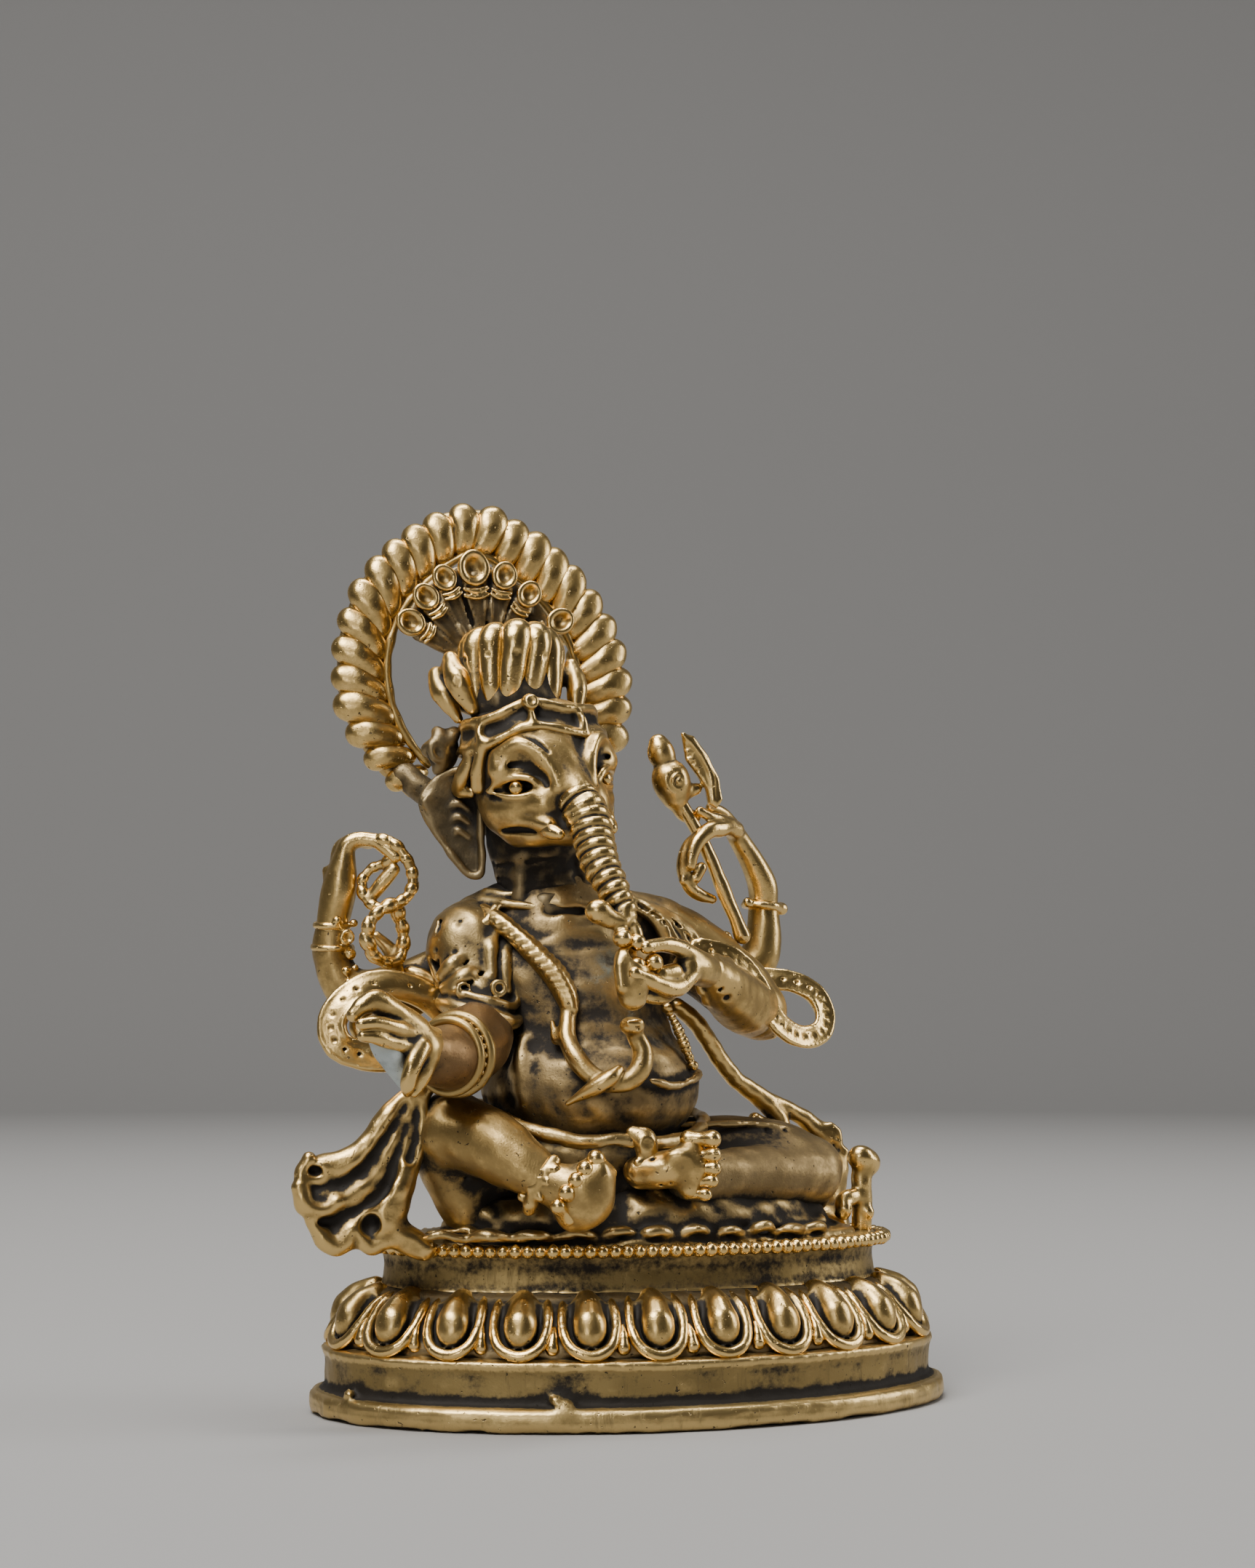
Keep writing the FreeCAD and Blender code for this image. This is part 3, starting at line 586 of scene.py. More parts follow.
@dataclass(frozen=True)
class Finish:
    """One brass finish.

    Args:
        bright: the colour where it is rubbed clean.
        brass: the colour of the open metal.
        dark: the colour of the patina in the hollows.
        patina: how far the patina spreads, 0 for as the shape says.
        polish: the roughness of the rubbed metal.
        satin: the roughness of the open metal.
        grain: the height of the fine grain, in millimetres.
        bloom: any value but 0 turns the bloom on, 0 for none.
        streaks: any value but 0 turns the streaks on, 0 for none.
    """

    bright: tuple[float, float, float]
    brass: tuple[float, float, float]
    dark: tuple[float, float, float]
    patina: float
    polish: float
    satin: float
    grain: float
    bloom: float = 0.0
    streaks: float = 0.0


GOLD = (0.82, 0.57, 0.22)
BRASS = (0.42, 0.285, 0.108)
SOOT = (0.016, 0.012, 0.008)

FINISHES: dict[str, Finish] = {
    "base": Finish((0.64, 0.46, 0.19), (0.36, 0.26, 0.105), SOOT, -0.16, 0.34, 0.44, 0.024, streaks=1.0),
    "bright": Finish(GOLD, (0.50, 0.345, 0.13), SOOT, 0.0, 0.25, 0.37, 0.024),
    "body": Finish((0.74, 0.51, 0.195), BRASS, SOOT, 0.06, 0.28, 0.41, 0.030),
    "torso": Finish((0.52, 0.37, 0.165), (0.26, 0.185, 0.088), (0.024, 0.019, 0.014), 0.08, 0.38, 0.54, 0.038,
                    bloom=1.0),
    "dark": Finish((0.56, 0.40, 0.17), (0.26, 0.185, 0.082), SOOT, 0.18, 0.34, 0.50, 0.036),
    "copper": Finish((0.46, 0.29, 0.13), (0.23, 0.14, 0.065), SOOT, 0.14, 0.34, 0.46, 0.034),
    "black": Finish((0.28, 0.21, 0.11), (0.11, 0.085, 0.05), SOOT, 0.30, 0.44, 0.56, 0.04),
    "residue": Finish((0.54, 0.60, 0.59), (0.32, 0.36, 0.35), (0.10, 0.10, 0.09), 0.15, 0.8, 0.9, 0.08),
}


class Palette:
    """Builds and keeps the materials."""

    def __init__(self) -> None:
        self.patina = patina_group()
        self.skin = cast_group()
        self.made = {name: self._metal(name, finish) for name, finish in FINISHES.items()}

    def __getitem__(self, name: str) -> bpy.types.Material:
        return self.made[name]

    def _metal(self, name: str, finish: Finish) -> bpy.types.Material:
        material = bpy.data.materials.new(f"brass_{name}")
        material.use_nodes = True
        tree = material.node_tree
        tree.nodes.clear()
        w = Wires(tree)
        where = w.node("ShaderNodeTexCoord").outputs["Object"]
        age = w.node("ShaderNodeGroup", node_tree=self.patina)
        w.feed(age, Amount=finish.patina)
        skin = w.node("ShaderNodeGroup", node_tree=self.skin)
        w.feed(skin, Grain=finish.grain)
        dark = w.math("MAXIMUM", age.outputs["Dark"], w.math("MULTIPLY", skin.outputs["Pores"], 0.85))
        height = skin.outputs["Height"]
        if finish.streaks:
            drips = w.ramp(w.noise(where, 0.9, 4.0, 0.7, stretch=(1.0, 1.0, 0.16)), 0.52, 0.80)
            dark = w.math("MAXIMUM", dark, w.math("MULTIPLY", drips, 0.55))
            height = w.math("MULTIPLY_ADD", drips, -0.03, height)
        hue = w.mix(age.outputs["Cloud"], (*finish.brass, 1), (*[c * 0.72 for c in finish.brass], 1))
        hue = w.mix(age.outputs["Worn"], hue, (*finish.bright, 1))
        if finish.bloom:
            here = w.ramp(w.noise(where, 0.22, 5.0, 0.7), 0.50, 0.66)
            middle = node_middle("torso") * MM + np.array([0.004, -0.011, 0.007])
            reach = w.node("ShaderNodeVectorMath", operation="DISTANCE")
            w.feed(reach, i0=where, i1=tuple(middle))
            close = w.math("SUBTRACT", 1.0, w.ramp(reach.outputs["Value"], 0.004, 0.009))
            cover = w.math("MULTIPLY", w.math("MULTIPLY", here, close), 0.75)
            hue = w.mix(cover, hue, (0.25, 0.33, 0.32, 1))
            dark = w.math("MULTIPLY", dark, w.math("SUBTRACT", 1.0, cover))
        colour = w.mix(dark, hue, (*finish.dark, 1))
        rough = w.math("MULTIPLY_ADD", age.outputs["Worn"], finish.polish - finish.satin, finish.satin)
        rough = w.math("MULTIPLY_ADD", dark, 0.25, rough)
        bump = w.node("ShaderNodeBump")
        w.feed(bump, Height=height, Distance=MM, Strength=0.8)
        shader = w.node("ShaderNodeBsdfPrincipled")
        metal = w.math("MULTIPLY_ADD", dark, -0.55, 0.0 if name == "residue" else 1.0, clamp=True)
        w.feed(shader, Base_Color=colour, Roughness=rough, Metallic=metal, Normal=bump.outputs[0])
        out = w.node("ShaderNodeOutputMaterial")
        tree.links.new(shader.outputs[0], out.inputs[0])
        return material


# ---------------------------------------------------------------- geometry nodes
def scatter_tree() -> bpy.types.NodeTree:
    """Puts a model on every station, turned and sized by the station's own attributes, with a little jitter."""
    tree = bpy.data.node_groups.new("scatter", "GeometryNodeTree")
    add = tree.interface.new_socket
    add("Geometry", in_out="INPUT", socket_type="NodeSocketGeometry")
    add("Model", in_out="INPUT", socket_type="NodeSocketObject")
    add("Size jitter", in_out="INPUT", socket_type="NodeSocketFloat")
    add("Turn jitter", in_out="INPUT", socket_type="NodeSocketFloat")
    add("Seed", in_out="INPUT", socket_type="NodeSocketInt")
    add("Finish", in_out="INPUT", socket_type="NodeSocketMaterial")
    add("Geometry", in_out="OUTPUT", socket_type="NodeSocketGeometry")
    nodes, link = tree.nodes, tree.links.new
    entry, exit_ = nodes.new("NodeGroupInput"), nodes.new("NodeGroupOutput")
    model = nodes.new("GeometryNodeObjectInfo")
    link(entry.outputs["Model"], model.inputs["Object"])
    to_points = nodes.new("GeometryNodeMeshToPoints")
    link(entry.outputs["Geometry"], to_points.inputs["Mesh"])
    facing = nodes.new("GeometryNodeInputNamedAttribute")
    facing.data_type = "FLOAT_VECTOR"
    facing.inputs["Name"].default_value = "facing"
    size = nodes.new("GeometryNodeInputNamedAttribute")
    size.data_type = "FLOAT_VECTOR"
    size.inputs["Name"].default_value = "size"
    place = nodes.new("GeometryNodeInstanceOnPoints")
    link(to_points.outputs[0], place.inputs["Points"])
    link(model.outputs["Geometry"], place.inputs["Instance"])
    link(facing.outputs[0], place.inputs["Rotation"])
    link(size.outputs[0], place.inputs["Scale"])
    swing = nodes.new("FunctionNodeRandomValue")
    swing.data_type = "FLOAT_VECTOR"
    limits = []
    for sign in (-1.0, 1.0):
        scaled = nodes.new("ShaderNodeMath")
        scaled.operation = "MULTIPLY"
        scaled.inputs[1].default_value = sign
        link(entry.outputs["Turn jitter"], scaled.inputs[0])
        limits.append(scaled.outputs[0])
    link(limits[0], swing.inputs[0])
    link(limits[1], swing.inputs[1])
    link(entry.outputs["Seed"], swing.inputs["Seed"])
    rotate = nodes.new("GeometryNodeRotateInstances")
    link(place.outputs[0], rotate.inputs["Instances"])
    link(swing.outputs[0], rotate.inputs["Rotation"])
    grow = nodes.new("FunctionNodeRandomValue")
    grow.data_type = "FLOAT"
    for socket, operation in ((2, "SUBTRACT"), (3, "ADD")):
        edge = nodes.new("ShaderNodeMath")
        edge.operation = operation
        edge.inputs[0].default_value = 1.0
        link(entry.outputs["Size jitter"], edge.inputs[1])
        link(edge.outputs[0], grow.inputs[socket])
    link(entry.outputs["Seed"], grow.inputs["Seed"])
    scale = nodes.new("GeometryNodeScaleInstances")
    link(rotate.outputs[0], scale.inputs["Instances"])
    link(grow.outputs[1], scale.inputs["Scale"])
    real = nodes.new("GeometryNodeRealizeInstances")
    link(scale.outputs[0], real.inputs[0])
    paint = nodes.new("GeometryNodeSetMaterial")
    link(real.outputs[0], paint.inputs["Geometry"])
    link(entry.outputs["Finish"], paint.inputs["Material"])
    link(paint.outputs[0], exit_.inputs[0])
    return tree


def sweep_tree() -> bpy.types.NodeTree:
    """Turns a line into a round wire as thick as its own attribute says, with closed ends."""
    tree = bpy.data.node_groups.new("sweep", "GeometryNodeTree")
    add = tree.interface.new_socket
    add("Geometry", in_out="INPUT", socket_type="NodeSocketGeometry")
    add("Sides", in_out="INPUT", socket_type="NodeSocketInt")
    add("Finish", in_out="INPUT", socket_type="NodeSocketMaterial")
    add("Geometry", in_out="OUTPUT", socket_type="NodeSocketGeometry")
    nodes, link = tree.nodes, tree.links.new
    entry, exit_ = nodes.new("NodeGroupInput"), nodes.new("NodeGroupOutput")
    thick = nodes.new("GeometryNodeInputNamedAttribute")
    thick.data_type = "FLOAT"
    thick.inputs["Name"].default_value = "thick"
    curve = nodes.new("GeometryNodeMeshToCurve")
    link(entry.outputs["Geometry"], curve.inputs[0])
    radius = nodes.new("GeometryNodeSetCurveRadius")
    link(curve.outputs[0], radius.inputs["Curve"])
    link(thick.outputs[0], radius.inputs["Radius"])
    profile = nodes.new("GeometryNodeCurvePrimitiveCircle")
    link(entry.outputs["Sides"], profile.inputs["Resolution"])
    profile.inputs["Radius"].default_value = 1.0
    sweep = nodes.new("GeometryNodeCurveToMesh")
    link(radius.outputs[0], sweep.inputs["Curve"])
    link(profile.outputs[0], sweep.inputs["Profile Curve"])
    sweep.inputs["Fill Caps"].default_value = True
    if "Scale" in sweep.inputs:
        link(thick.outputs[0], sweep.inputs["Scale"])
    real = nodes.new("GeometryNodeRealizeInstances")
    link(sweep.outputs[0], real.inputs[0])
    paint = nodes.new("GeometryNodeSetMaterial")
    link(real.outputs[0], paint.inputs["Geometry"])
    link(entry.outputs["Finish"], paint.inputs["Material"])
    link(paint.outputs[0], exit_.inputs[0])
    return tree


@dataclass
class Station:
    """Where a repeated piece goes.

    Args:
        place: in millimetres.
        x_axis: where the model's own X points.
        z_axis: roughly where its own Z points.
        size: its scale along its own axes.
    """

    place: np.ndarray
    x_axis: np.ndarray
    z_axis: np.ndarray
    size: tuple[float, float, float] = (1.0, 1.0, 1.0)

    def euler(self) -> tuple[float, float, float]:
        """The turn as XYZ angles."""
        x = np.array(self.x_axis, float)
        x /= np.linalg.norm(x)
        y = np.cross(np.array(self.z_axis, float), x)
        y /= np.linalg.norm(y)
        turn = Matrix(np.array([x, y, np.cross(x, y)]).T.tolist())
        return tuple(turn.to_euler("XYZ"))


# ---------------------------------------------------------------- workshop
@dataclass(frozen=True)
class Label:
    """What a piece is.

    Args:
        name: the piece's name.
        slot: the record's material slot; not used.
        finish: a key of FINISHES.
        stands_for: the CAD nodes that it replaces.
    """

    name: str
    slot: Slot
    finish: str
    stands_for: tuple[str, ...] = ()


class Workshop:
    """Turns clay and node trees into finished pieces of the statue."""

    CELL = 0.5                   # millimetres, of the grid that says how crowded a place is

    def __init__(self, palette: Palette):
        self.palette = palette
        self.scatter_nodes = scatter_tree()
        self.sweep_nodes = sweep_tree()
        self.pieces: list[bpy.types.Object] = []
        low = np.min([node_box(n)[0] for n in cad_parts], 0) - 6
        high = np.max([node_box(n)[1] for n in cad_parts], 0) + 6
        self.low = low
        self.solid = np.zeros(np.ceil((high - low) / self.CELL).astype(int) + 1, np.float32)
        self.stand: set[str] = set()
        self.clays: dict[str, Clay] = {}

    # -- meshes
    def mesh(self, name: str, points: np.ndarray, faces: np.ndarray,
            bulge: np.ndarray | None) -> bpy.types.Mesh:
        """A smooth mesh in metres from points in millimetres."""
        mesh = bpy.data.meshes.new(name)
        sides = faces.shape[1]
        mesh.vertices.add(len(points))
        mesh.vertices.foreach_set("co", (points * MM).astype(np.float32).ravel())
        mesh.loops.add(faces.size)
        mesh.loops.foreach_set("vertex_index", faces.astype(np.int32).ravel())
        mesh.polygons.add(len(faces))
        mesh.polygons.foreach_set("loop_start", np.arange(0, faces.size, sides, dtype=np.int32))
        mesh.update(calc_edges=True)
        mesh.validate()
        mesh.shade_smooth()
        if bulge is not None:
            kept = mesh.attributes.new("bulge", "FLOAT", "POINT")
            kept.data.foreach_set("value", bulge.astype(np.float32))
        return mesh

    def object(self, name: str, mesh: bpy.types.Mesh) -> bpy.types.Object:
        """A new object in the scene."""
        made = bpy.data.objects.new(name, mesh)
        bpy.context.scene.collection.objects.link(made)
        return made

    def fill(self, clay: Clay) -> None:
        """Marks a lump of clay on the crowding grid."""
        first = np.ceil((clay.low - self.low) / self.CELL).astype(int)
        last = np.floor((clay.low + clay.voxel * (np.array(clay.d.shape) - 1)
            - self.low) / self.CELL).astype(int)
        first, last = np.maximum(first, 0), np.minimum(last, np.array(self.solid.shape) - 1)
        index = [np.rint((self.low[i] + np.arange(first[i], last[i] + 1) * self.CELL
            - clay.low[i]) / clay.voxel) .astype(int).clip(0, clay.d.shape[i] - 1) for i in range(3)]
        held = tuple(slice(a, b + 1) for a, b in zip(first, last))
        self.solid[held] = np.maximum(self.solid[held], np.clip(0.5 - clay.d[np.ix_(*index)] / self.CELL, 0,
            1))

    # -- pieces
    def keep(self, made: bpy.types.Object, label: Label) -> bpy.types.Object:
        """Registers a finished object as a piece of the statue."""
        made.name = label.name
        made.data.name = label.name
        if not made.data.materials:
            made.data.materials.append(self.palette[label.finish])
        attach(made, BODY)
        if label.stands_for:
            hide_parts(*label.stands_for)
            self.stand.update(label.stands_for)
        self.pieces.append(made)
        faces = sum(len(p.vertices) - 2 for p in made.data.polygons) if len(made.data.polygons) < 4000 else (
            2 * len(made.data.polygons))
        log.info("%-24s %7d triangles  for %s", label.name, faces, ", ".join(label.stands_for) or "trim")
        return made

    def cast(self, clay: Clay, label: Label) -> bpy.types.Object:
        """A piece made from a lump of clay."""
        points, quads, bulge = clay.surface()
        self.fill(clay)
        return self.keep(self.object(label.name, self.mesh(label.name, points, quads, bulge)), label)

    def master(self, clay: Clay, name: str) -> bpy.types.Object:
        """A hidden model to scatter."""
        points, quads, bulge = clay.surface()
        made = self.object(f"master_{name}", self.mesh(f"master_{name}", points, quads, bulge))
        made.hide_render = True
        self.clays[made.name] = clay
        return made

    def stamp(self, clay: Clay, station: Station) -> None:
        """Marks one scattered copy of a lump of clay on the crowding grid."""
        turn = np.array(Euler(station.euler()).to_matrix())
        size = np.array(station.size)
        far = clay.low + clay.voxel * (np.array(clay.d.shape) - 1)
        reach = float(np.linalg.norm(np.maximum(np.abs(clay.low), np.abs(far)) * size))
        first = np.ceil((station.place - reach - self.low) / self.CELL).astype(int)
        spread = np.arange(int(2 * reach / self.CELL) + 1)
        cells = first + np.stack(np.meshgrid(spread, spread, spread, indexing="ij"), -1).reshape(-1, 3)
        local = ((cells * self.CELL + self.low - station.place) @ turn / size - clay.low) / clay.voxel
        local = np.rint(local).astype(int)
        held = ((local >= 0) & (local < clay.d.shape) & (cells >= 0) & (cells < self.solid.shape)).all(1)
        cells, local = cells[held], local[held]
        share = np.clip(0.5 - clay.d[tuple(local.T)] / self.CELL, 0, 1)
        self.solid[tuple(cells.T)] = np.maximum(self.solid[tuple(cells.T)], share)

    def _run(self, host: bpy.types.Object, tree: bpy.types.NodeTree, values: dict) -> bpy.types.Mesh:
        """The mesh that a node tree makes of a host object, which is removed."""
        modifier = host.modifiers.new("nodes", "NODES")
        modifier.node_group = tree
        for item in tree.interface.items_tree:
            if item.item_type == "SOCKET" and item.in_out == "INPUT" and item.name in values:
                modifier[item.identifier] = values[item.name]
        bpy.context.view_layer.update()
        shown = host.evaluated_get(bpy.context.evaluated_depsgraph_get())
        mesh = bpy.data.meshes.new_from_object(shown)
        host.modifiers.remove(modifier)
        bpy.data.objects.remove(host)
        return mesh

    def scatter(self, model: bpy.types.Object, stations: Sequence[Station], label: Label, seed: int,
                size_jitter: float = 0.04, turn_jitter: float = 0.04) -> bpy.types.Object:
        """A piece of many copies of a model, by Geometry Nodes."""
        mesh = bpy.data.meshes.new("stations")
        mesh.from_pydata([tuple(s.place * MM) for s in stations], [], [])
        for name, values in (("facing", [s.euler() for s in stations]), ("size", [s.size for s in stations])):
            kept = mesh.attributes.new(name, "FLOAT_VECTOR", "POINT")
            kept.data.foreach_set("vector", np.array(values, np.float32).ravel())
        values = {"Model": model, "Size jitter": size_jitter, "Turn jitter": turn_jitter, "Seed": seed,
                  "Finish": self.palette[label.finish]}
        made = self._run(self.object("host", mesh), self.scatter_nodes, values)
        clay = self.clays.pop(model.name)
        for station in stations:
            self.stamp(clay, station)
        bpy.data.objects.remove(model)
        made.shade_smooth()
        return self.keep(self.object(label.name, made), label)

    def sweep(self, lines: Sequence[tuple[np.ndarray, Sequence[float]]], label: Label,
              sides: int = 14) -> bpy.types.Object:
        """A piece of round wires along lines, by Geometry Nodes."""
        points, edges, thick = [], [], []
        for line, radii in lines:
            start = len(points)
            closed = np.linalg.norm(np.array(line[0]) - np.array(line[-1])) < 1e-6
            run = list(line[:-1]) if closed else list(line)
            points += [tuple(np.array(p) * MM) for p in run]
            thick += [r * MM for r in list(radii)[:len(run)]]
            edges += [(start + i, start + i + 1) for i in range(len(run) - 1)]
            if closed:
                edges.append((start + len(run) - 1, start))
        mesh = bpy.data.meshes.new("lines")
        mesh.from_pydata(points, edges, [])
        kept = mesh.attributes.new("thick", "FLOAT", "POINT")
        kept.data.foreach_set("value", np.array(thick, np.float32))
        values = {"Sides": sides, "Finish": self.palette[label.finish]}
        made = self._run(self.object("host", mesh), self.sweep_nodes, values)
        made.shade_smooth()
        return self.keep(self.object(label.name, made), label)

    def settle(self) -> None:
        """Gives every piece the attribute that says how crowded its surroundings are."""
        crowd = _soften(self.solid, 2)
        for piece in self.pieces:
            mesh = piece.data
            co = np.empty(len(mesh.vertices) * 3, np.float32)
            mesh.vertices.foreach_get("co", co)
            where = (co.reshape(-1, 3) / MM - self.low) / self.CELL
            kept = mesh.attributes.get("crowd") or mesh.attributes.new("crowd", "FLOAT", "POINT")
            kept.data.foreach_set("value", _sample(crowd, where).astype(np.float32))
        leftover = sorted(set(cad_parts) - self.stand)
        if leftover:
            log.info("CAD nodes with no piece of their own: %s", ", ".join(leftover))


# ---------------------------------------------------------------- pedestal
@dataclass
class Pedestal:
    """The oval foot, lotus band and pearl-edged seat.

    Args:
        shop: the workshop.
        petals: how many petals go round.
        pearls: how many pearls go round.
    """

    shop: Workshop
    petals: int = 23
    pearls: int = 112

    def __post_init__(self) -> None:
        low, high = node_box("pedestal_shell")
        self.half = float(high[0])
        self.narrower = float(high[0] - high[1])
        self.seat = float(node_box("seat_plate")[1][2])
        petal_low, petal_high = node_box("lotus_petals")
        self.band_top, self.drum_top = float(petal_low[2]), float(petal_high[2])

    def oval(self, half: float, share: float) -> tuple[np.ndarray, np.ndarray]:
        """A point and the outward direction at a share of an oval's length, from the middle of the front."""
        angles = -math.pi / 2 + np.linspace(0, 2 * math.pi, 1441)
        line = np.column_stack([half * np.cos(angles), (half - self.narrower) * np.sin(angles)])
        walked = np.concatenate([[0], np.cumsum(np.linalg.norm(np.diff(line, axis=0), axis=1))])
        wanted = (share % 1.0) * walked[-1]
        x, y = (float(np.interp(wanted, walked, line[:, i])) for i in (0, 1))
        out = np.array([x / half**2, y / (half - self.narrower) ** 2, 0.0])
        return np.array([x, y, 0.0]), out / np.linalg.norm(out)

    def build(self) -> None:
        """Makes every piece of the pedestal."""
        a, up = self.half, self.band_top
        foot = Clay(0.42, seed=3, uneven=0.07)
        foot.oval_tier([(0.12, a - 0.3), (0.3, a), (1.9, a), (2.25, a - 0.2), (2.45, a - 1.3),
            (2.8, a - 1.7), (up - 1.3, a - 1.6), (up - 0.6, a - 1.15), (up - 0.15, a - 1.4), (up, a - 2.6)],
            self.narrower, wavy=0.07)
        foot.oval_tier([(-1, a - 4.2), (0.5, a - 4.2)], self.narrower, cut=True, blend=0.1)
        for x, z, r in ((-0.36, 2.5, 0.8), (-0.39, 3.3, 0.45), (-0.92, 3.0, 0.5)):
            front = -(a - self.narrower) * math.sqrt(1 - x * x)
            foot.egg((x * a, front + 1.2, z), (r * 1.2, 0.8, r), blend=0.5)
        self.shop.cast(foot, Label("pedestal_foot", Slot.BASE, "base", ("pedestal_shell",)))
        plate = Clay(0.8, seed=4, uneven=0.03)
        plate.oval_tier([(0.12, a - 4.5), (1.2, a - 4.5)], self.narrower)
        self.shop.cast(plate, Label("base_plate", Slot.BASE, "base", ("base_plate",)))
        drum = Clay(0.6, seed=5, uneven=0.05)
        top = self.drum_top
        drum.oval_tier([(up - 0.3, a - 2.6), (up + 1.2, a - 3.0), (up + 3.4, a - 4.2), (up + 5.6, a - 6.2),
                        (top, a - 7.6)], self.narrower)
        self.shop.cast(drum, Label("lotus_drum", Slot.DARK, "black"))
        neck = Clay(0.42, seed=6, uneven=0.05)
        neck.oval_tier([(top - 0.8, a - 6.9), (top + 0.1, a - 7.6), (self.seat - 2.4, a - 7.9),
            (self.seat - 1.2, a - 7.6), (self.seat - 0.5, a - 7.2), (self.seat, a - 7.6)], self.narrower,
            wavy=0.05)
        self.shop.cast(neck, Label("seat_neck", Slot.BASE, "base", ("seat_plate",)))
        self.petal_ring()
        self.pearl_string()

    def petal(self) -> Clay:
        """One hanging petal: a raised hem round a drop-shaped swelling. X is outward, Z along the petal."""
        clay = Clay(0.26, seed=7, uneven=0.03)
        clay.egg((-1.3, 0, 0.1), (1.0, 3.0, 3.5), blend=0.2)
        hem = [(-2.2, -2.3, 3.5), (-0.9, -2.65, 2.0), (-0.05, -2.7, -0.5), (0.4, -1.95, -2.5), (0.5, 0, -3.4),
               (0.4, 1.95, -2.5), (-0.05, 2.7, -0.5), (-0.9, 2.65, 2.0), (-2.2, 2.3, 3.5)]
        clay.limb(hem, [0.42, 0.5, 0.56, 0.62, 0.64, 0.62, 0.56, 0.5, 0.42], blend=0.3)
        clay.egg((0.05, 0, -0.45), (1.55, 1.72, 2.2), blend=0.3)
        clay.limb([(0.1, 0, 0.4), (-0.5, 0, 1.8), (-1.9, 0, 3.3)], [1.5, 1.35, 1.15], blend=0.5)
        return clay

    def petal_ring(self) -> None:
        """The petals, and the little points that show between them."""
        middle = (self.band_top + self.drum_top) / 2
        stations, tips = [], []
        lean = math.radians(24)
        for n in range(self.petals):
            place, out = self.oval(self.half - 3.7, (n - 0.4) / self.petals)
            outward = out * math.cos(lean) + np.array([0, 0, math.sin(lean)])
            stations.append(Station(place + np.array([0, 0, middle + 0.1]), outward, np.array([0, 0, 1.0])))
            place, out = self.oval(self.half - 2.6, (n + 0.1) / self.petals)
            tips.append(Station(place + np.array([0, 0, self.band_top + 1.15]), out, np.array([0, 0, 1.0])))
        self.shop.scatter(self.shop.master(self.petal(), "petal"), stations,
            Label("lotus_petals", Slot.BRIGHT, "bright", ("lotus_petals",)), seed=11, turn_jitter=0.035)
        point = Clay(0.2, seed=8, uneven=0.03)
        point.egg((-0.3, 0, -0.3), (0.7, 0.8, 0.7), blend=0.3)
        point.limb([(-0.2, 0, 0), (-0.5, 0, 1.0), (-1.2, 0, 2.0)], [0.6, 0.42, 0.2], blend=0.4)
        self.shop.scatter(self.shop.master(point, "tip"), tips, Label("petal_tips", Slot.BRIGHT, "bright",
            ("petal_tips",)), seed=12, turn_jitter=0.08)

    def pearl_string(self) -> None:
        """The pearls round the edge of the seat, on their cord."""
        low, high = node_box("edge_beads")
        height = float(low[2] + high[2]) / 2
        half = self.half - 6.5
        stations = []
        for n in range(self.pearls):
            place, out = self.oval(half, n / self.pearls)
            stations.append(Station(place + np.array([0, 0, height]), out, np.array([0, 0, 1.0])))
        pearl = Clay(0.26, seed=9, uneven=0.03)
        pearl.egg((0, 0, 0), (0.86, 0.74, 0.78), blend=0.1)
        self.shop.scatter(self.shop.master(pearl, "pearl"), stations,
            Label("edge_beads", Slot.BRIGHT, "bright", ("edge_beads",)), seed=13, size_jitter=0.07)
        line = [self.oval(half - 0.25, n / 160)[0] + np.array([0, 0, height]) for n in range(161)]
        self.shop.sweep([(np.array(line), [0.62] * 161)], Label("edge_cord", Slot.DARK, "dark"), sides=10)


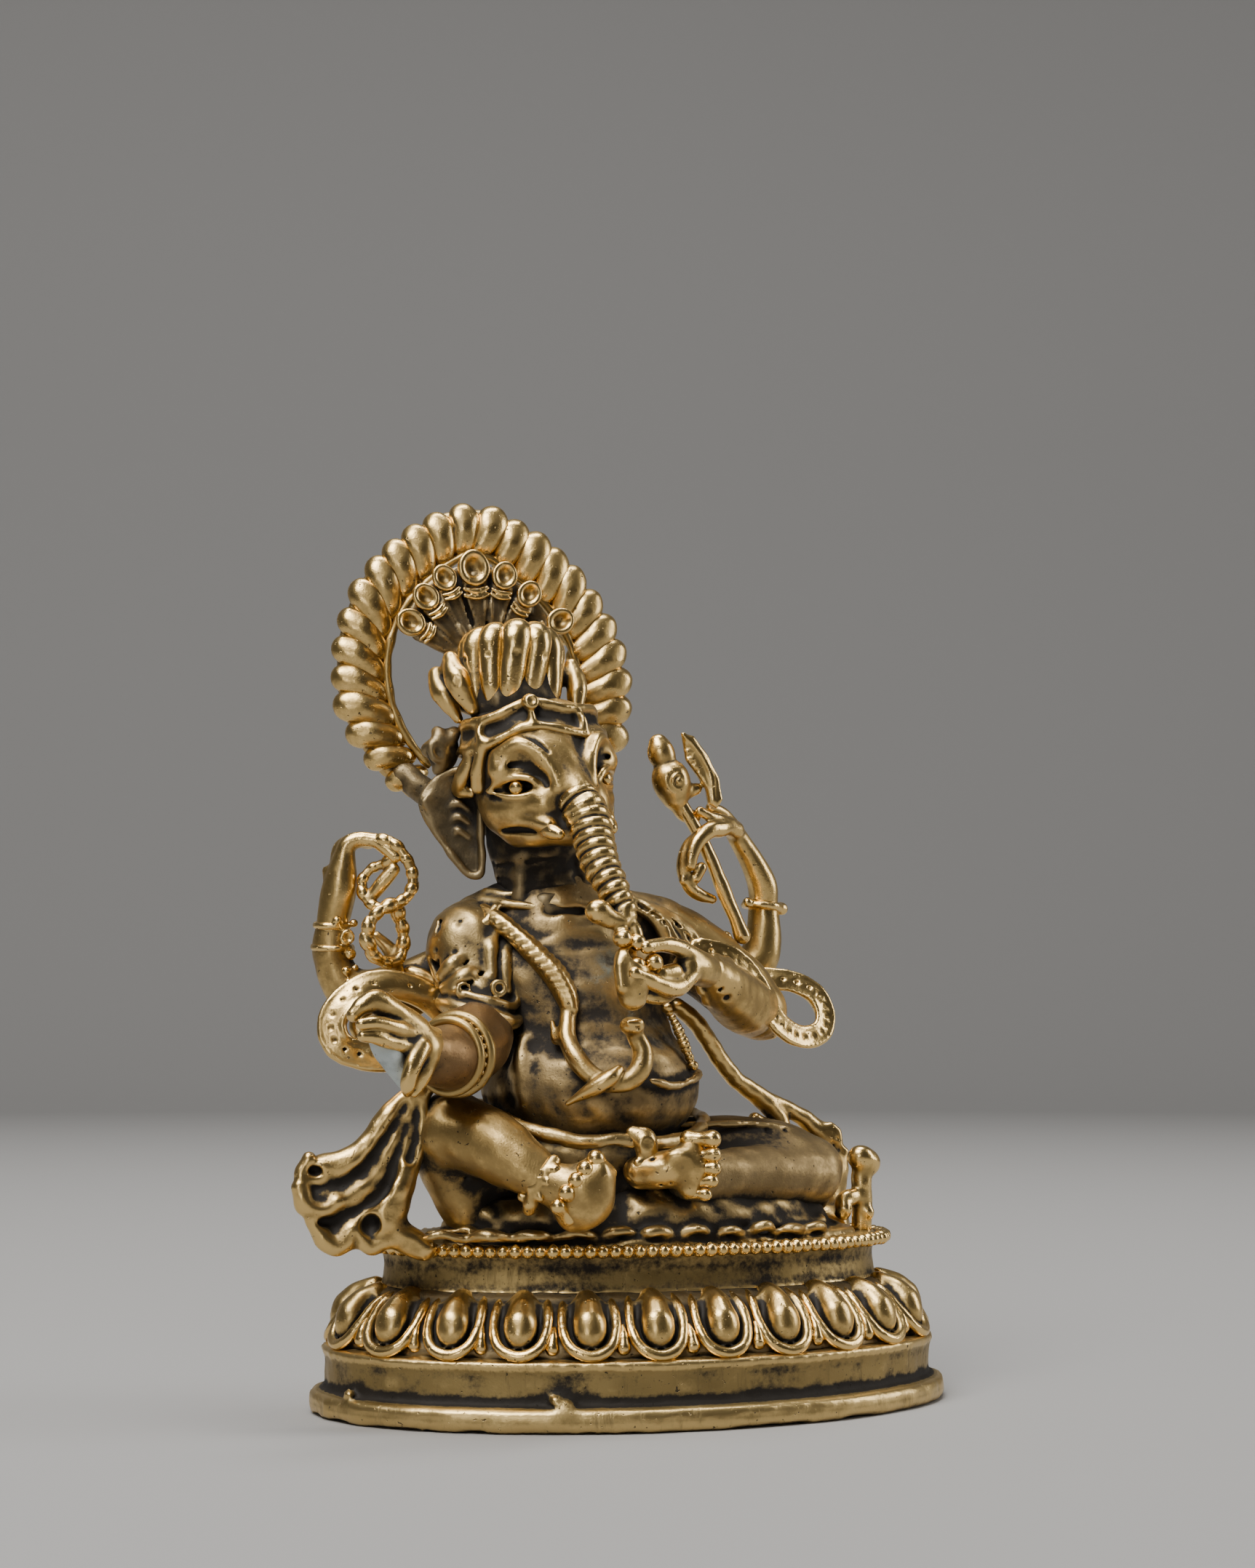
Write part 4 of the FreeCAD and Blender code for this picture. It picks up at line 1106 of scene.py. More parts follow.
# ---------------------------------------------------------------- trunk of the body
@dataclass
class Body:
    """Torso, neck, belt, cloth and the serpent thread."""

    shop: Workshop

    def build(self) -> None:
        """Makes every piece of the body."""
        self.torso()
        self.neck()
        self.belt()
        self.hem()
        self.thread()
        self.scarf()

    def torso(self) -> None:
        """Hips, pot belly with its fold, chest and shoulders."""
        clay = Clay(0.36, seed=20, uneven=0.08)
        clay.egg((-5.2, -0.2, 24.0), (12.6, 10.4, 7.0), blend=2.0)
        clay.egg((-5.4, -1.8, 34.0), (11.9, 11.6, 8.2), blend=3.0)
        clay.egg((-7.0, -0.9, 42.5), (10.0, 8.8, 8.6), blend=3.4)
        clay.limb([(-16.2, 0.6, 50.0), (-8.0, 0.2, 50.6), (2.6, 0.6, 50.8)], [4.4, 5.8, 4.5], blend=3.2)
        clay.limb([(-8.4, 0.6, 51.0), (-9.6, 0.4, 55.8)], [7.2, 5.0], blend=3.0)
        clay.egg((-11.8, -5.2, 46.2), (4.4, 2.6, 3.6), blend=2.4)
        clay.egg((-3.6, -5.2, 46.4), (4.4, 2.6, 3.6), blend=2.4)
        clay.limb([(-14.4, -7.4, 39.0), (-14.8, -8.2, 36.0), (-14.4, -9.0, 33.0)], [0.4, 0.7, 0.5], blend=1.6)
        clay.limb([(-2.2, -13.6, 35.9), (0.9, -12.5, 35.2), (4.4, -9.2, 36.0), (6.8, -3.6, 36.6)],
                  [0.2, 0.45, 0.45, 0.3], blend=0.8, cut=True)
        clay.limb([(-2.0, -13.8, 34.9), (0.9, -12.6, 34.3), (4.4, -9.4, 35.1), (6.4, -4.0, 35.7)],
                  [0.35, 0.5, 0.5, 0.4], blend=0.5)
        clay.egg((-9.2, -5.9, 53.0), (2.4, 0.9, 0.45), blend=0.5, cut=True)
        for line in ([(-5.6, -14.0, 32.9), (-5.0, -14.1, 33.4), (-4.3, -14.0, 33.1), (-4.2, -13.9, 32.4)],
                     [(-5.2, -13.9, 32.2), (-4.9, -13.6, 31.6), (-5.5, -13.5, 31.2)]):
            clay.groove(line, 0.13)
        self.shop.cast(clay, Label("torso", Slot.BODY, "torso", ("torso",)))

    def neck(self) -> None:
        """The neck, pinched in below the jaw and creased."""
        clay = Clay(0.27, seed=21, uneven=0.1)
        clay.limb([(-9.2, 0.4, 53.2), (-9.8, 0.2, 55.2), (-10.8, 0.0, 57.4), (-11.8, -1.0, 62.0)],
            [6.4, 5.4, 4.8, 5.2], blend=1.0)
        for step in range(3):
            middle = Local(np.array([-9.8 - 0.5 * step, -0.1, 55.2 + 1.6 * step]), turn=4.0)
            arc = [middle.at(5.3 * math.sin(t), 5.3 * math.cos(t), 0.3 * math.cos(3 * t))
                for t in np.linspace(-1.6, 1.6, 9)]
            clay.groove(arc, 0.25)
        for x0, x1 in ((-14.0, -13.4), (-11.2, -11.4), (-8.2, -9.4), (-5.6, -7.6)):
            clay.limb([(x0, -3.4, 54.6), (x1, -4.2, 60.2)], [0.3, 0.4], blend=1.6)
        self.shop.cast(clay, Label("neck", Slot.BODY, "black", ("neck",)))

    def belt(self) -> None:
        """The rolled edge of the waistcloth under the belly, its tie and clasp."""
        front = [(-18.4, -5.0, 32.0), (-16.6, -9.0, 30.8), (-13.4, -11.8, 29.5), (-9.4, -13.4, 28.6),
            (-5.6, -14.0, 28.8), (-3.4, -13.8, 28.6), (0.4, -12.6, 28.4), (4.0, -9.6, 29.2),
            (6.6, -4.6, 30.2), (7.2, 0.4, 30.8)]
        back = [(4.6, 6.4, 31.2), (-2.0, 9.8, 31.2), (-9.0, 9.6, 31.4), (-15.4, 5.6, 31.8),
            (-18.4, 0.4, 32.2)]
        clay = Clay(0.32, seed=22, uneven=0.1)
        clay.limb([*front, *back, front[0]], [0.8] * 16, blend=0.7)
        clay.egg((-5.4, -0.6, 25.4), (12.9, 11.6, 6.3), blend=1.4)
        for x, y, z in ((-12.0, -12.6, 28.2), (-8.6, -13.6, 27.6), (-6.6, -13.9, 27.9)):
            clay.egg((x, y, z), (0.9, 0.5, 0.35), blend=0.2, cut=True)
        self.shop.cast(clay, Label("waist_cloth", Slot.DARK, "dark", ("waist_belt",)))
        tie = Clay(0.175, seed=23, uneven=0.05)
        tie.limb([(-4.0, -14.2, 29.4), (-2.9, -14.6, 28.6), (-2.7, -14.6, 26.6), (-3.2, -14.4, 25.4)],
            [0.9, 1.3, 1.1, 0.7], blend=0.3, flat=((0, 1, 0), 0.6))
        tie.ring(Local(np.array([-2.9, -15.1, 28.4])), 0.65, 0.7, 0.28)
        tie.egg((-3.6, -14.9, 26.4), (0.7, 0.5, 0.55), blend=0.3)
        self.shop.cast(tie, Label("belt_clasp", Slot.BODY, "body", ("belt_clasp",)))

    def hem(self) -> None:
        """The skirt spread on the seat, heaped under the shins, with ruffles along the front."""
        seat = float(node_box("seat_plate")[1][2])
        clay = Clay(0.3, seed=24, uneven=0.14)
        clay.oval_tier([(seat - 0.3, 25.4), (seat + 0.5, 25.0), (seat + 1.0, 23.0)], 12.4,
            centre=(-0.6, -1.8), blend=0.4, wavy=0.4)
        for path, radii in (([(-3.0, -10.6, seat + 2.4), (3.0, -11.4, seat + 2.2), (9.0, -9.6, seat + 2.2),
                (15.0, -6.6, seat + 2.0), (19.4, -3.0, seat + 1.6)], [3.2, 3.0, 2.8, 2.6, 2.0]),
                ([(-20.0, -6.4, seat + 1.4), (-14.0, -9.6, seat + 2.2), (-8.0, -11.0, seat + 2.4)],
                [2.4, 2.8, 3.0])):
            clay.limb(path, radii, blend=2.0)
        front = ((-25.6, -10.4), (-21.0, -11.7), (-16.6, -12.8), (-12.2, -13.6), (-7.8, -14.1),
            (-3.6, -14.4), (0.6, -14.4), (4.6, -14.1), (8.6, -13.5), (12.4, -12.6), (16.0, -10.8),
            (19.4, -8.2))
        rng = np.random.default_rng(25)
        for (x0, y0), (x1, y1) in zip(front, front[1:]):
            rise = rng.uniform(0.5, 1.3)
            middle = ((x0 + x1) / 2 + rng.uniform(-0.5, 0.5), (y0 + y1) / 2 - 0.4, seat + rise + 0.5)
            clay.limb([(x0, y0 + 0.6, seat + 0.7), middle, (x1, y1 + 0.6, seat + 0.7)],
                [0.55, rng.uniform(0.7, 1.0), 0.55], blend=0.4, flat=((0, 0, 1), 0.75))
            clay.limb([(x0 + 0.8, y0 + 2.2, seat + 1.2), (x1 + 0.4, y1 + 2.0, seat + 1.5)], [0.5, 0.7],
                blend=0.7, flat=((0, 0, 1), 0.6))
            clay.egg((middle[0], middle[1] - 0.3, middle[2] - 0.7), (rng.uniform(0.6, 1.3), 0.5, 0.26),
                blend=0.25, cut=True)
        self.shop.cast(clay, Label("dhoti_hem", Slot.DARK, "dark", ("dhoti_hem",)))

    def thread(self) -> None:
        """The serpent worn as a sacred thread: scaled on the shoulder, looped and raised on the belly."""
        upper = [(-17.6, -2.6, 53.2), (-16.6, -4.8, 52.0), (-14.8, -6.4, 50.2), (-13.0, -7.8, 48.2),
            (-11.4, -8.8, 46.2), (-10.3, -9.4, 44.2), (-9.9, -9.9, 42.6)]
        radii = [0.8, 1.0, 1.1, 1.2, 1.3, 1.25, 0.95]
        clay = Clay(0.155, seed=25, uneven=0.04)
        clay.limb(upper, radii, blend=0.3)
        run, rad = smooth_path(upper, radii, 6)
        for n in range(1, len(run) - 1):
            along = run[n + 1] - run[n - 1]
            across = np.cross(along, (0.3, -1.0, 0.2))
            across /= np.linalg.norm(across)
            ahead = np.array([0.25, -0.95, 0.1]) * rad[n] * 0.82
            side = 0.5 if n % 2 else -0.5
            twist = along / np.linalg.norm(along)
            start = run[n] + across * side * rad[n] * 1.5 + ahead * 0.6
            clay.limb([start, run[n] + ahead * 1.1 + twist * 0.5, start - across * side * rad[n] * 1.6
                + twist * 1.0], [0.34, 0.46, 0.3], blend=0.15)
        lower = [(-9.9, -9.9, 42.6), (-10.3, -10.7, 41.0), (-10.5, -11.4, 39.4), (-9.9, -12.6, 37.4),
            (-8.6, -13.6, 35.6), (-6.8, -14.3, 34.7), (-4.8, -14.6, 34.9), (-3.4, -14.6, 36.2),
            (-3.1, -14.4, 38.0), (-3.8, -14.3, 39.6)]
        clay.limb(lower, [0.9, 0.85, 0.95, 1.05, 1.05, 1.0, 1.1, 1.15, 1.05, 0.95], blend=0.2)
        clay.egg((-4.4, -14.9, 40.6), (1.35, 1.25, 1.0), blend=0.5)
        clay.limb([(-3.7, -15.6, 41.0), (-5.1, -16.0, 40.9)], [0.35, 0.3], blend=0.2)
        clay.egg((-4.0, -16.0, 40.4), (0.3, 0.3, 0.22), blend=0.1, cut=True)
        clay.limb([(-5.9, -14.9, 36.0), (-6.9, -15.2, 35.2), (-8.4, -14.6, 34.2), (-10.9, -13.3, 32.6)],
                  [0.6, 0.85, 0.85, 0.35], blend=0.2)
        clay.limb([(-11.6, -9.4, 41.0), (-11.6, -10.2, 40.0), (-11.4, -10.6, 39.2)], [0.3, 0.45, 0.6],
            blend=0.6)
        self.shop.cast(clay, Label("serpent_thread", Slot.BODY, "body", ("serpent_thread",)))
        side = [(0.6, -8.6, 43.6), (2.2, -8.6, 41.0), (3.2, -8.8, 38.6), (4.2, -8.6, 36.4)]
        run, _ = smooth_path(side, [1, 1, 1, 1], 5)
        bead = Clay(0.15, seed=26, uneven=0.05)
        bead.egg((0, 0, 0), (0.62, 0.55, 0.5), blend=0.1)
        stations = [Station(p, np.array([0.4, -0.9, 0.1]), np.array([0.3, 0.0, 1.0])) for p in run]
        self.shop.scatter(self.shop.master(bead, "side"), stations, Label("side_string", Slot.BODY, "body"),
            seed=27, size_jitter=0.2, turn_jitter=0.5)

    def scarf(self) -> None:
        """The pleated shawl on both shoulders and the collar round the neck."""
        clay = Clay(0.24, seed=28, uneven=0.08)
        clay.limb([(-18.4, 0.8, 51.6), (-14.8, 1.0, 53.0), (-9.4, 1.4, 54.2), (-3.4, 1.0, 53.4),
            (1.6, 0.6, 51.6)], [3.6, 4.2, 4.6, 4.0, 3.9], blend=1.6, flat=((0, 0, 1), 0.75))
        clay.limb([(-20.8, -3.2, 50.2), (-18.0, -4.6, 51.6), (-16.6, -4.2, 53.4)], [0.5, 0.7, 0.6], blend=0.6)
        collar = [(-17.2, -1.6, 54.2), (-15.4, -3.6, 53.8), (-12.2, -4.9, 53.4), (-8.6, -5.2, 53.0),
            (-5.2, -4.6, 53.2), (-3.0, -2.8, 54.0)]
        clay.limb(collar, [0.6, 0.6, 0.5, 0.45, 0.5, 0.6], blend=0.9)
        clay.limb([(p[0] + 0.3, p[1] + 0.7, p[2] + 1.2) for p in collar], [0.4] * 6, blend=0.7)
        for n in range(4):
            lift = 1.15 * n
            clay.limb([(-1.4 + lift, -4.0 + 0.25 * n, 54.4 - 0.35 * n),
                (1.4 + lift, -5.2 + 0.3 * n, 52.2 - 0.4 * n), (2.8 + lift, -5.6 + 0.3 * n, 49.4 - 0.3 * n)],
                [0.7, 0.9, 0.85], blend=0.3)
            clay.groove([(-0.8 + lift, -4.8 + 0.25 * n, 54.0 - 0.35 * n),
                (2.0 + lift, -5.9 + 0.3 * n, 51.8 - 0.4 * n), (3.4 + lift, -6.2 + 0.3 * n, 49.4 - 0.3 * n)],
                0.26)
        clay.pits([(5.2 + 0.5 * math.cos(t), -5.4, 49.6 + 0.9 * math.sin(t)) for t in np.linspace(0, 6, 6)],
            0.3)
        self.shop.cast(clay, Label("shoulder_scarf", Slot.DARK, "dark", ("shoulder_scarf",)))


# ---------------------------------------------------------------- head
@dataclass
class Head:
    """Skull, ears, eyes, trunk, tusks and diadem, sculpted in the turned head's own axes."""

    shop: Workshop

    def __post_init__(self) -> None:
        middle = node_middle("head")
        top = float(node_box("head")[1][2])
        self.face = Local(np.array([middle[0] + 0.8, middle[1], top - 7.4]), turn=13.0, roll=8.0, wide=1.18)

    def build(self) -> None:
        """Makes every piece of the head."""
        self.skull()
        self.eyes()
        self.trunk()
        self.tusks()
        self.ears()
        self.diadem()
        self.crown()

    def skull(self) -> None:
        """The head with its brows, lids, cheeks and mouth."""
        f = self.face
        axes, wide = f.axes(), f.wide
        clay = Clay(0.18, seed=30, uneven=0.05)
        clay.egg(f.at(0, -0.6, 1.6), (6.5 * wide, 7.4, 6.6), axes, blend=1.0)
        clay.egg(f.at(0, 0.4, -2.4), (6.0 * wide, 6.9, 4.7), axes, blend=1.6)
        clay.limb(f.line((-1.2, 3.7, 2.4), (-0.8, 5.4, 1.4), (-0.2, 7.2, -0.5), (0, 8.7, -2.6)),
            [3.6, 2.9, 2.1, 1.9], blend=1.8)
        clay.limb(f.line((0, 5.2, -5.0), (0, 7.6, -6.0)), [3.2, 2.2], blend=1.4)
        for side in (-1, 1):
            clay.egg(f.at(side * 3.3, 2.0, -3.6), (3.0 * wide, 4.2, 2.9), axes, blend=1.4)
            clay.limb(f.line((side * 3.4, 2.0, -5.9), (side * 2.9, 4.8, -6.4), (side * 2.0, 7.2, -6.5)),
                [1.7, 1.5, 1.3], blend=1.4)
            brow = f.line((side * 5.6, 4.0, 2.4), (side * 4.3, 5.9, 3.2), (side * 3.0, 7.1, 2.4),
                (side * 2.1, 8.1, 0.4), (side * 1.9, 8.7, -1.8))
            clay.limb(brow, [0.5, 0.7, 0.75, 0.55, 0.35], blend=1.4)
            clay.egg(f.at(side * 4.2, 4.2, 0.7), (2.4 * wide, 1.7, 2.0), axes, blend=1.6)
            clay.egg(f.at(side * 2.5, 6.6, -3.6), (1.5 * wide, 1.8, 2.2), axes, blend=1.4)
            clay.limb(f.line((side * 4.0, 6.3, 4.4), (side * 3.1, 7.2, 3.6), (side * 2.2, 8.1, 2.0)),
                [0.2, 0.36, 0.2], blend=0.35, cut=True)
            fold = f.line((side * 2.6, 7.9, -1.5), (side * 3.4, 7.2, 0.4), (side * 4.7, 5.9, 1.1),
                (side * 5.8, 4.3, 0.7), (side * 6.3, 2.6, -0.3))
            clay.limb(fold, [0.24, 0.3, 0.3, 0.28, 0.2], blend=0.35, cut=True)
            clay.egg(f.at(side * 4.65, 5.6, -1.25), (2.1 * wide, 1.3, 0.78), axes, blend=0.3, cut=True)
            lid = f.line((side * 2.8, 7.2, -1.8), (side * 3.7, 6.8, -0.65), (side * 4.8, 5.8, -0.25),
                (side * 5.8, 4.3, -0.55), (side * 6.4, 2.7, -1.3))
            clay.limb(lid, [0.28, 0.4, 0.42, 0.38, 0.26], blend=0.4)
            under = f.line((side * 2.8, 7.2, -2.0), (side * 4.2, 6.2, -2.35), (side * 5.4, 4.8, -2.15),
                (side * 6.3, 3.0, -1.5))
            clay.limb(under, [0.24, 0.28, 0.28, 0.22], blend=0.4)
            mouth = f.line((side * 5.3, 2.6, -5.7), (side * 4.5, 4.8, -5.8), (side * 3.5, 6.6, -6.2))
            clay.limb(mouth, [0.3, 0.46, 0.3], blend=0.2, cut=True)
            clay.limb(f.line((side * 4.9, 3.9, -4.9), (side * 3.8, 6.2, -5.1), (side * 3.0, 8.2, -5.8)),
                [0.4, 0.7, 0.8], blend=0.6)
            clay.groove(f.line((side * 3.2, 7.2, -3.1), (side * 4.3, 5.8, -3.9), (side * 4.9, 4.9, -4.6)),
                0.15)
        self.shop.cast(clay, Label("head", Slot.BODY, "body", ("head",)))

    def eyes(self) -> None:
        """Round pupils in the sockets."""
        f = self.face
        ball = Clay(0.125, seed=31, uneven=0.02)
        ball.egg((0, 0, 0), (0.9, 0.95, 0.92), blend=0.1)
        stations = []
        for side in (-1, 1):
            out = f.at(side * 0.72, 0.7, 0.05) - f.origin
            stations.append(Station(f.at(side * 4.6, 5.35, -1.3), out, np.array([0, 0, 1.0]),
                (0.86, 0.86, 0.86)))
        self.shop.scatter(self.shop.master(ball, "eye"), stations, Label("eyes", Slot.BODY, "bright",
            ("eyes",)), seed=32, size_jitter=0.0, turn_jitter=0.0)

    def trunk_path(self) -> tuple[list[np.ndarray], list[float]]:
        """The trunk's route from between the eyes to the sweet in the left hand."""
        f = self.face
        path = [f.at(0, 7.6, -2.6), f.at(0.1, 9.0, -4.0), np.array([-8.5, -12.4, 62.4]),
            np.array([-8.2, -13.6, 60.0]), np.array([-7.9, -14.9, 57.6]), np.array([-7.2, -16.1, 55.6]),
            np.array([-6.5, -16.9, 53.8]), np.array([-5.7, -17.6, 52.2])]
        return path, [1.9, 2.3, 2.25, 2.1, 1.95, 1.7, 1.4, 1.1]

    def trunk(self) -> None:
        """The trunk with its transverse folds and the sweet at its tip."""
        path, radii = self.trunk_path()
        clay = Clay(0.145, seed=33, uneven=0.03)
        clay.limb(path, radii, blend=0.3)
        run, rad = smooth_path(path, radii, 12)
        walked = np.concatenate([[0], np.cumsum(np.linalg.norm(np.diff(run, axis=0), axis=1))])
        for step in np.arange(1.4, walked[-1], 1.28):
            p = np.array([np.interp(step, walked, run[:, i]) for i in range(3)])
            ahead = np.array([np.interp(step + 0.5, walked, run[:, i]) for i in range(3)]) - p
            ahead /= np.linalg.norm(ahead)
            r = float(np.interp(step, walked, rad))
            side = np.cross(ahead, (0.25, -1.0, 0.0))
            side /= np.linalg.norm(side)
            front = np.cross(side, ahead)
            arc = [p + side * math.sin(t) * (r - 0.25) + front * math.cos(t) * (r - 0.25)
                for t in np.linspace(-2.0, 2.0, 11)]
            clay.limb(arc, [0.42] * 11, blend=0.4, smooth=False)
            gap = [q + ahead * 0.64 for q in arc]
            clay.limb([(q - p) * 1.12 + p for q in gap], [0.2] * 11, blend=0.15, smooth=False, cut=True)
        clay.limb([(-5.9, -17.6, 52.4), (-6.4, -18.2, 51.4), (-7.6, -18.4, 51.5), (-8.8, -18.4, 52.2)],
            [1.0, 0.9, 1.0, 1.25], blend=0.4)
        clay.egg((-9.1, -18.4, 52.4), (1.35, 1.3, 1.25), blend=0.3)
        clay.egg((-6.6, -18.8, 50.0), (0.9, 0.9, 0.8), blend=0.3)
        clay.limb([(-5.8, -17.4, 51.8), (-5.0, -18.2, 50.4), (-4.8, -18.6, 49.4)], [0.8, 0.7, 0.6], blend=0.3)
        self.shop.cast(clay, Label("trunk", Slot.BODY, "bright", ("trunk",)))

    def tusks(self) -> None:
        """Two short tusks beside the trunk's root."""
        f = self.face
        clay = Clay(0.15, seed=34, uneven=0.02)
        for side in (-1, 1):
            clay.limb(f.line((side * 2.6, 6.2, -5.9), (side * 2.9, 8.3, -6.4), (side * 2.7, 9.6, -6.9)),
                [1.0, 0.95, 0.65], blend=0.2)
        self.shop.cast(clay, Label("tusks", Slot.BODY, "bright", ("tusks",)))

    def ears(self) -> None:
        """Flap ears, each with a raised rim round a ribbed hollow."""
        outline = [(0.0, 1.6), (1.8, 2.4), (4.2, 1.2), (5.7, -1.2), (4.4, -4.2), (1.6, -8.0), (0.2, -9.2),
            (-0.9, -8.6), (-0.8, -5.0), (-0.6, -1.0)]
        for name, origin, turn in (("right_ear", (-18.4, -0.9, 66.2), 168.0),
                ("left_ear", (-5.0, 1.6, 66.8), 52.0)):
            axes = Local(np.array(origin), turn=turn, roll=0.0)
            ring = [(u, v) for u, v in outline]
            clay = Clay(0.175, seed=35, uneven=0.05)
            clay.plate(axes, ring, 1.2, bend=0.03)
            facing = -1 if name == "right_ear" else 1
            rim = [axes.at(u, facing * 0.7, v) for u, v in [*ring, ring[0]]]
            clay.limb(rim, [0.42] * len(rim), blend=0.2)
            for n in range(3):
                low = -1.8 - 1.5 * n
                clay.limb(axes.line((0.6, facing * 0.55, low - 0.2), (1.7, facing * 0.75, low + 0.5),
                                    (2.9 - 0.4 * n, facing * 0.5, low - 0.1)), [0.25, 0.4, 0.25], blend=0.25)
            self.shop.cast(clay, Label(name, Slot.BODY, "black", (name,)))

    def diadem(self) -> None:
        """The pointed headband with its sunk panels, jewel and side lappets."""
        f = self.face
        axes, wide = f.axes(), f.wide
        clay = Clay(0.19, seed=36, uneven=0.06)
        clay.egg(f.at(0, -0.5, 4.2), (6.7 * wide, 7.2, 4.5), axes, blend=0.3)
        edges = []
        for lift, swell, peak, thick in ((3.9, 0.1, 1.2, 0.5), (6.7, -0.1, 1.0, 0.6)):
            line = []
            for t in np.linspace(-math.pi, math.pi, 49):
                rise = lift + peak * max(0.0,
                    math.cos(t + 0.45)) ** 6 - 0.5 * abs(math.sin(t)) + 0.2 * math.cos(5 * t + 2.2)
                narrow = math.sqrt(max(0.05, 1 - ((rise - 4.2) / 5.6) ** 2))
                line.append(f.at((6.7 + swell) * narrow * math.sin(t), -0.5 + (7.3 + swell) * narrow
                    * math.cos(t), rise))
            edges.append(line)
            clay.limb(line, [thick] * 49, blend=0.6, smooth=False)
        for n in (4, 15, 21, 27, 38):
            low, high = edges[0][n], edges[1][n]
            clay.limb([low, (low + high) / 2 + (low - f.origin) * 0.05, high], [0.45, 0.5, 0.45], blend=0.4)
        for a, b in ((11, 13), (16, 20), (22, 26), (28, 31)):
            route = [(edges[0][n] + edges[1][n]) / 2 for n in range(a, b + 1)]
            clay.limb([p + (p - f.origin) * 0.06 for p in route], [0.6] * len(route), blend=0.6, cut=True)
        clay.egg(f.at(-2.4, 5.8, 7.7), (0.95, 0.8, 0.95), axes, blend=0.4)
        clay.ring(Local(f.at(-2.5, 6.5, 7.7), turn=f.turn - 22.0), 0.55, 0.55, 0.3, blend=0.2)
        for side in (-1, 1):
            clay.limb(f.line((side * 6.1, 2.6, 3.9), (side * 6.5, 1.6, 1.6), (side * 6.4, 0.6, -0.6)),
                [0.6, 0.75, 0.9], blend=0.4)
            clay.limb(f.line((side * 6.4, 0.6, 3.6), (side * 7.0, -1.4, 1.0), (side * 7.0, -3.2, -0.4),
                             (side * 6.4, -1.6, -1.0)), [0.8, 1.1, 1.0, 0.8], blend=0.6, flat=(axes[0], 0.6))
        self.shop.cast(clay, Label("headband", Slot.BODY, "body", ("headband",)))
        for name, side in (("right_ear_ornament", -1), ("left_ear_ornament", 1)):
            bow = Clay(0.188, seed=37, uneven=0.12)
            middle = f.at(side * 7.2, -5.0, 4.0)
            bow.egg(middle, (1.7, 1.6, 2.4), blend=0.3)
            for turn in (-70, 0, 60, 120):
                t = math.radians(turn)
                tip = middle + np.array([side * 1.9 * math.cos(t), -0.5, 2.3 * math.sin(t)])
                bow.limb([middle, (middle + tip) / 2 + np.array([0, -0.8, 0.2]), tip], [0.8, 0.9, 0.6],
                    blend=0.4)
            bow.ring(Local(middle + np.array([side * 0.9, -1.6, -0.3]), turn=f.turn), 0.9, 0.95, 0.34,
                blend=0.2)
            self.shop.cast(bow, Label(name, Slot.BODY, "black", (name,)))

    def crown(self) -> None:
        """The tall crown: upright tongues round a dark core, and leaves at the sides."""
        foot = float(node_box("crown_core")[0][2])
        centre, middle = np.array([-14.4, -1.4]), 80.2
        core = Clay(0.3, seed=38, uneven=0.1)
        core.limb([(centre[0] + 0.4, centre[1] - 0.6, foot), (centre[0], centre[1], middle + 1.2)],
            [4.9, 4.3], blend=0.3, smooth=False, flat=((0, 0, 1), 0.5))
        core.limb([(centre[0] + 0.4, centre[1] - 0.6, foot - 1), (centre[0], centre[1], middle - 2)],
            [4.9, 4.6], blend=0.6)
        self.shop.cast(core, Label("crown_core", Slot.BODY, "black", ("crown_core",)))
        tongue = Clay(0.2, seed=39, uneven=0.06)
        tongue.limb([(0.0, 0, -4.6), (0.25, 0, -2.6), (0.3, 0, 0.6), (0.0, 0, 2.4), (-0.9, 0, 3.2)],
                    [0.8, 1.2, 1.4, 1.55, 1.2], blend=0.2)
        tongue.limb([(-0.6, 0, 3.0), (-3.2, 0, 3.1)], [1.35, 1.3], blend=0.4, flat=((0, 0, 1), 0.6))
        tongue.pits([(1.75, 0.1, 0.2)], 0.3)
        count, stations = 11, []
        for n in range(count):
            t = -math.pi / 2 + 2 * math.pi * (n - 0.28) / count
            out = np.array([math.cos(t), math.sin(t), 0.0])
            ahead = max(0.0, -out[1])
            place = np.array([*centre, middle + 0.4 * ahead]) + out * 4.2
            stations.append(Station(place, out, np.array([0.07, 0.1, 1.0]), (1.0, 0.94 + 0.14 * ahead, 1.0)))
        self.shop.scatter(self.shop.master(tongue, "tongue"), stations,
            Label("crown_petals", Slot.BRIGHT, "bright", ("crown_petals",)), seed=40, size_jitter=0.05,
            turn_jitter=0.07)
        leaves = Clay(0.188, seed=41, uneven=0.08)
        for path, radii in (([(-21.4, -2.2, 80.6), (-21.0, -3.2, 78.6), (-20.2, -3.6, 76.8),
                (-19.2, -3.8, 75.0)], [0.9, 1.35, 1.2, 0.7]), ([(-22.4, 0.4, 79.2), (-22.0, -0.4, 77.4),
                (-21.2, -1.0, 75.8), (-20.4, -1.4, 74.2)], [0.9, 1.2, 1.0, 0.6]),
                ([(-7.4, -0.6, 80.8), (-7.0, -1.6, 78.4), (-7.2, -2.2, 76.0)], [0.8, 1.2, 0.8])):
            leaves.limb(path, radii, blend=0.3)
        leaves.limb([(-21.0, -1.0, 79.8), (-18.0, -1.6, 79.2)], [1.3, 1.8], blend=0.6)
        leaves.limb([(-21.6, 0.4, 77.4), (-18.0, 0.6, 76.6)], [1.3, 1.8], blend=0.6)
        leaves.limb([(-7.8, -0.6, 79.6), (-10.0, -0.8, 79.0)], [1.0, 1.5], blend=0.5)
        leaves.ring(Local(np.array([-21.1, -4.4, 77.9]), turn=-20.0), 0.55, 0.65, 0.28, blend=0.2)
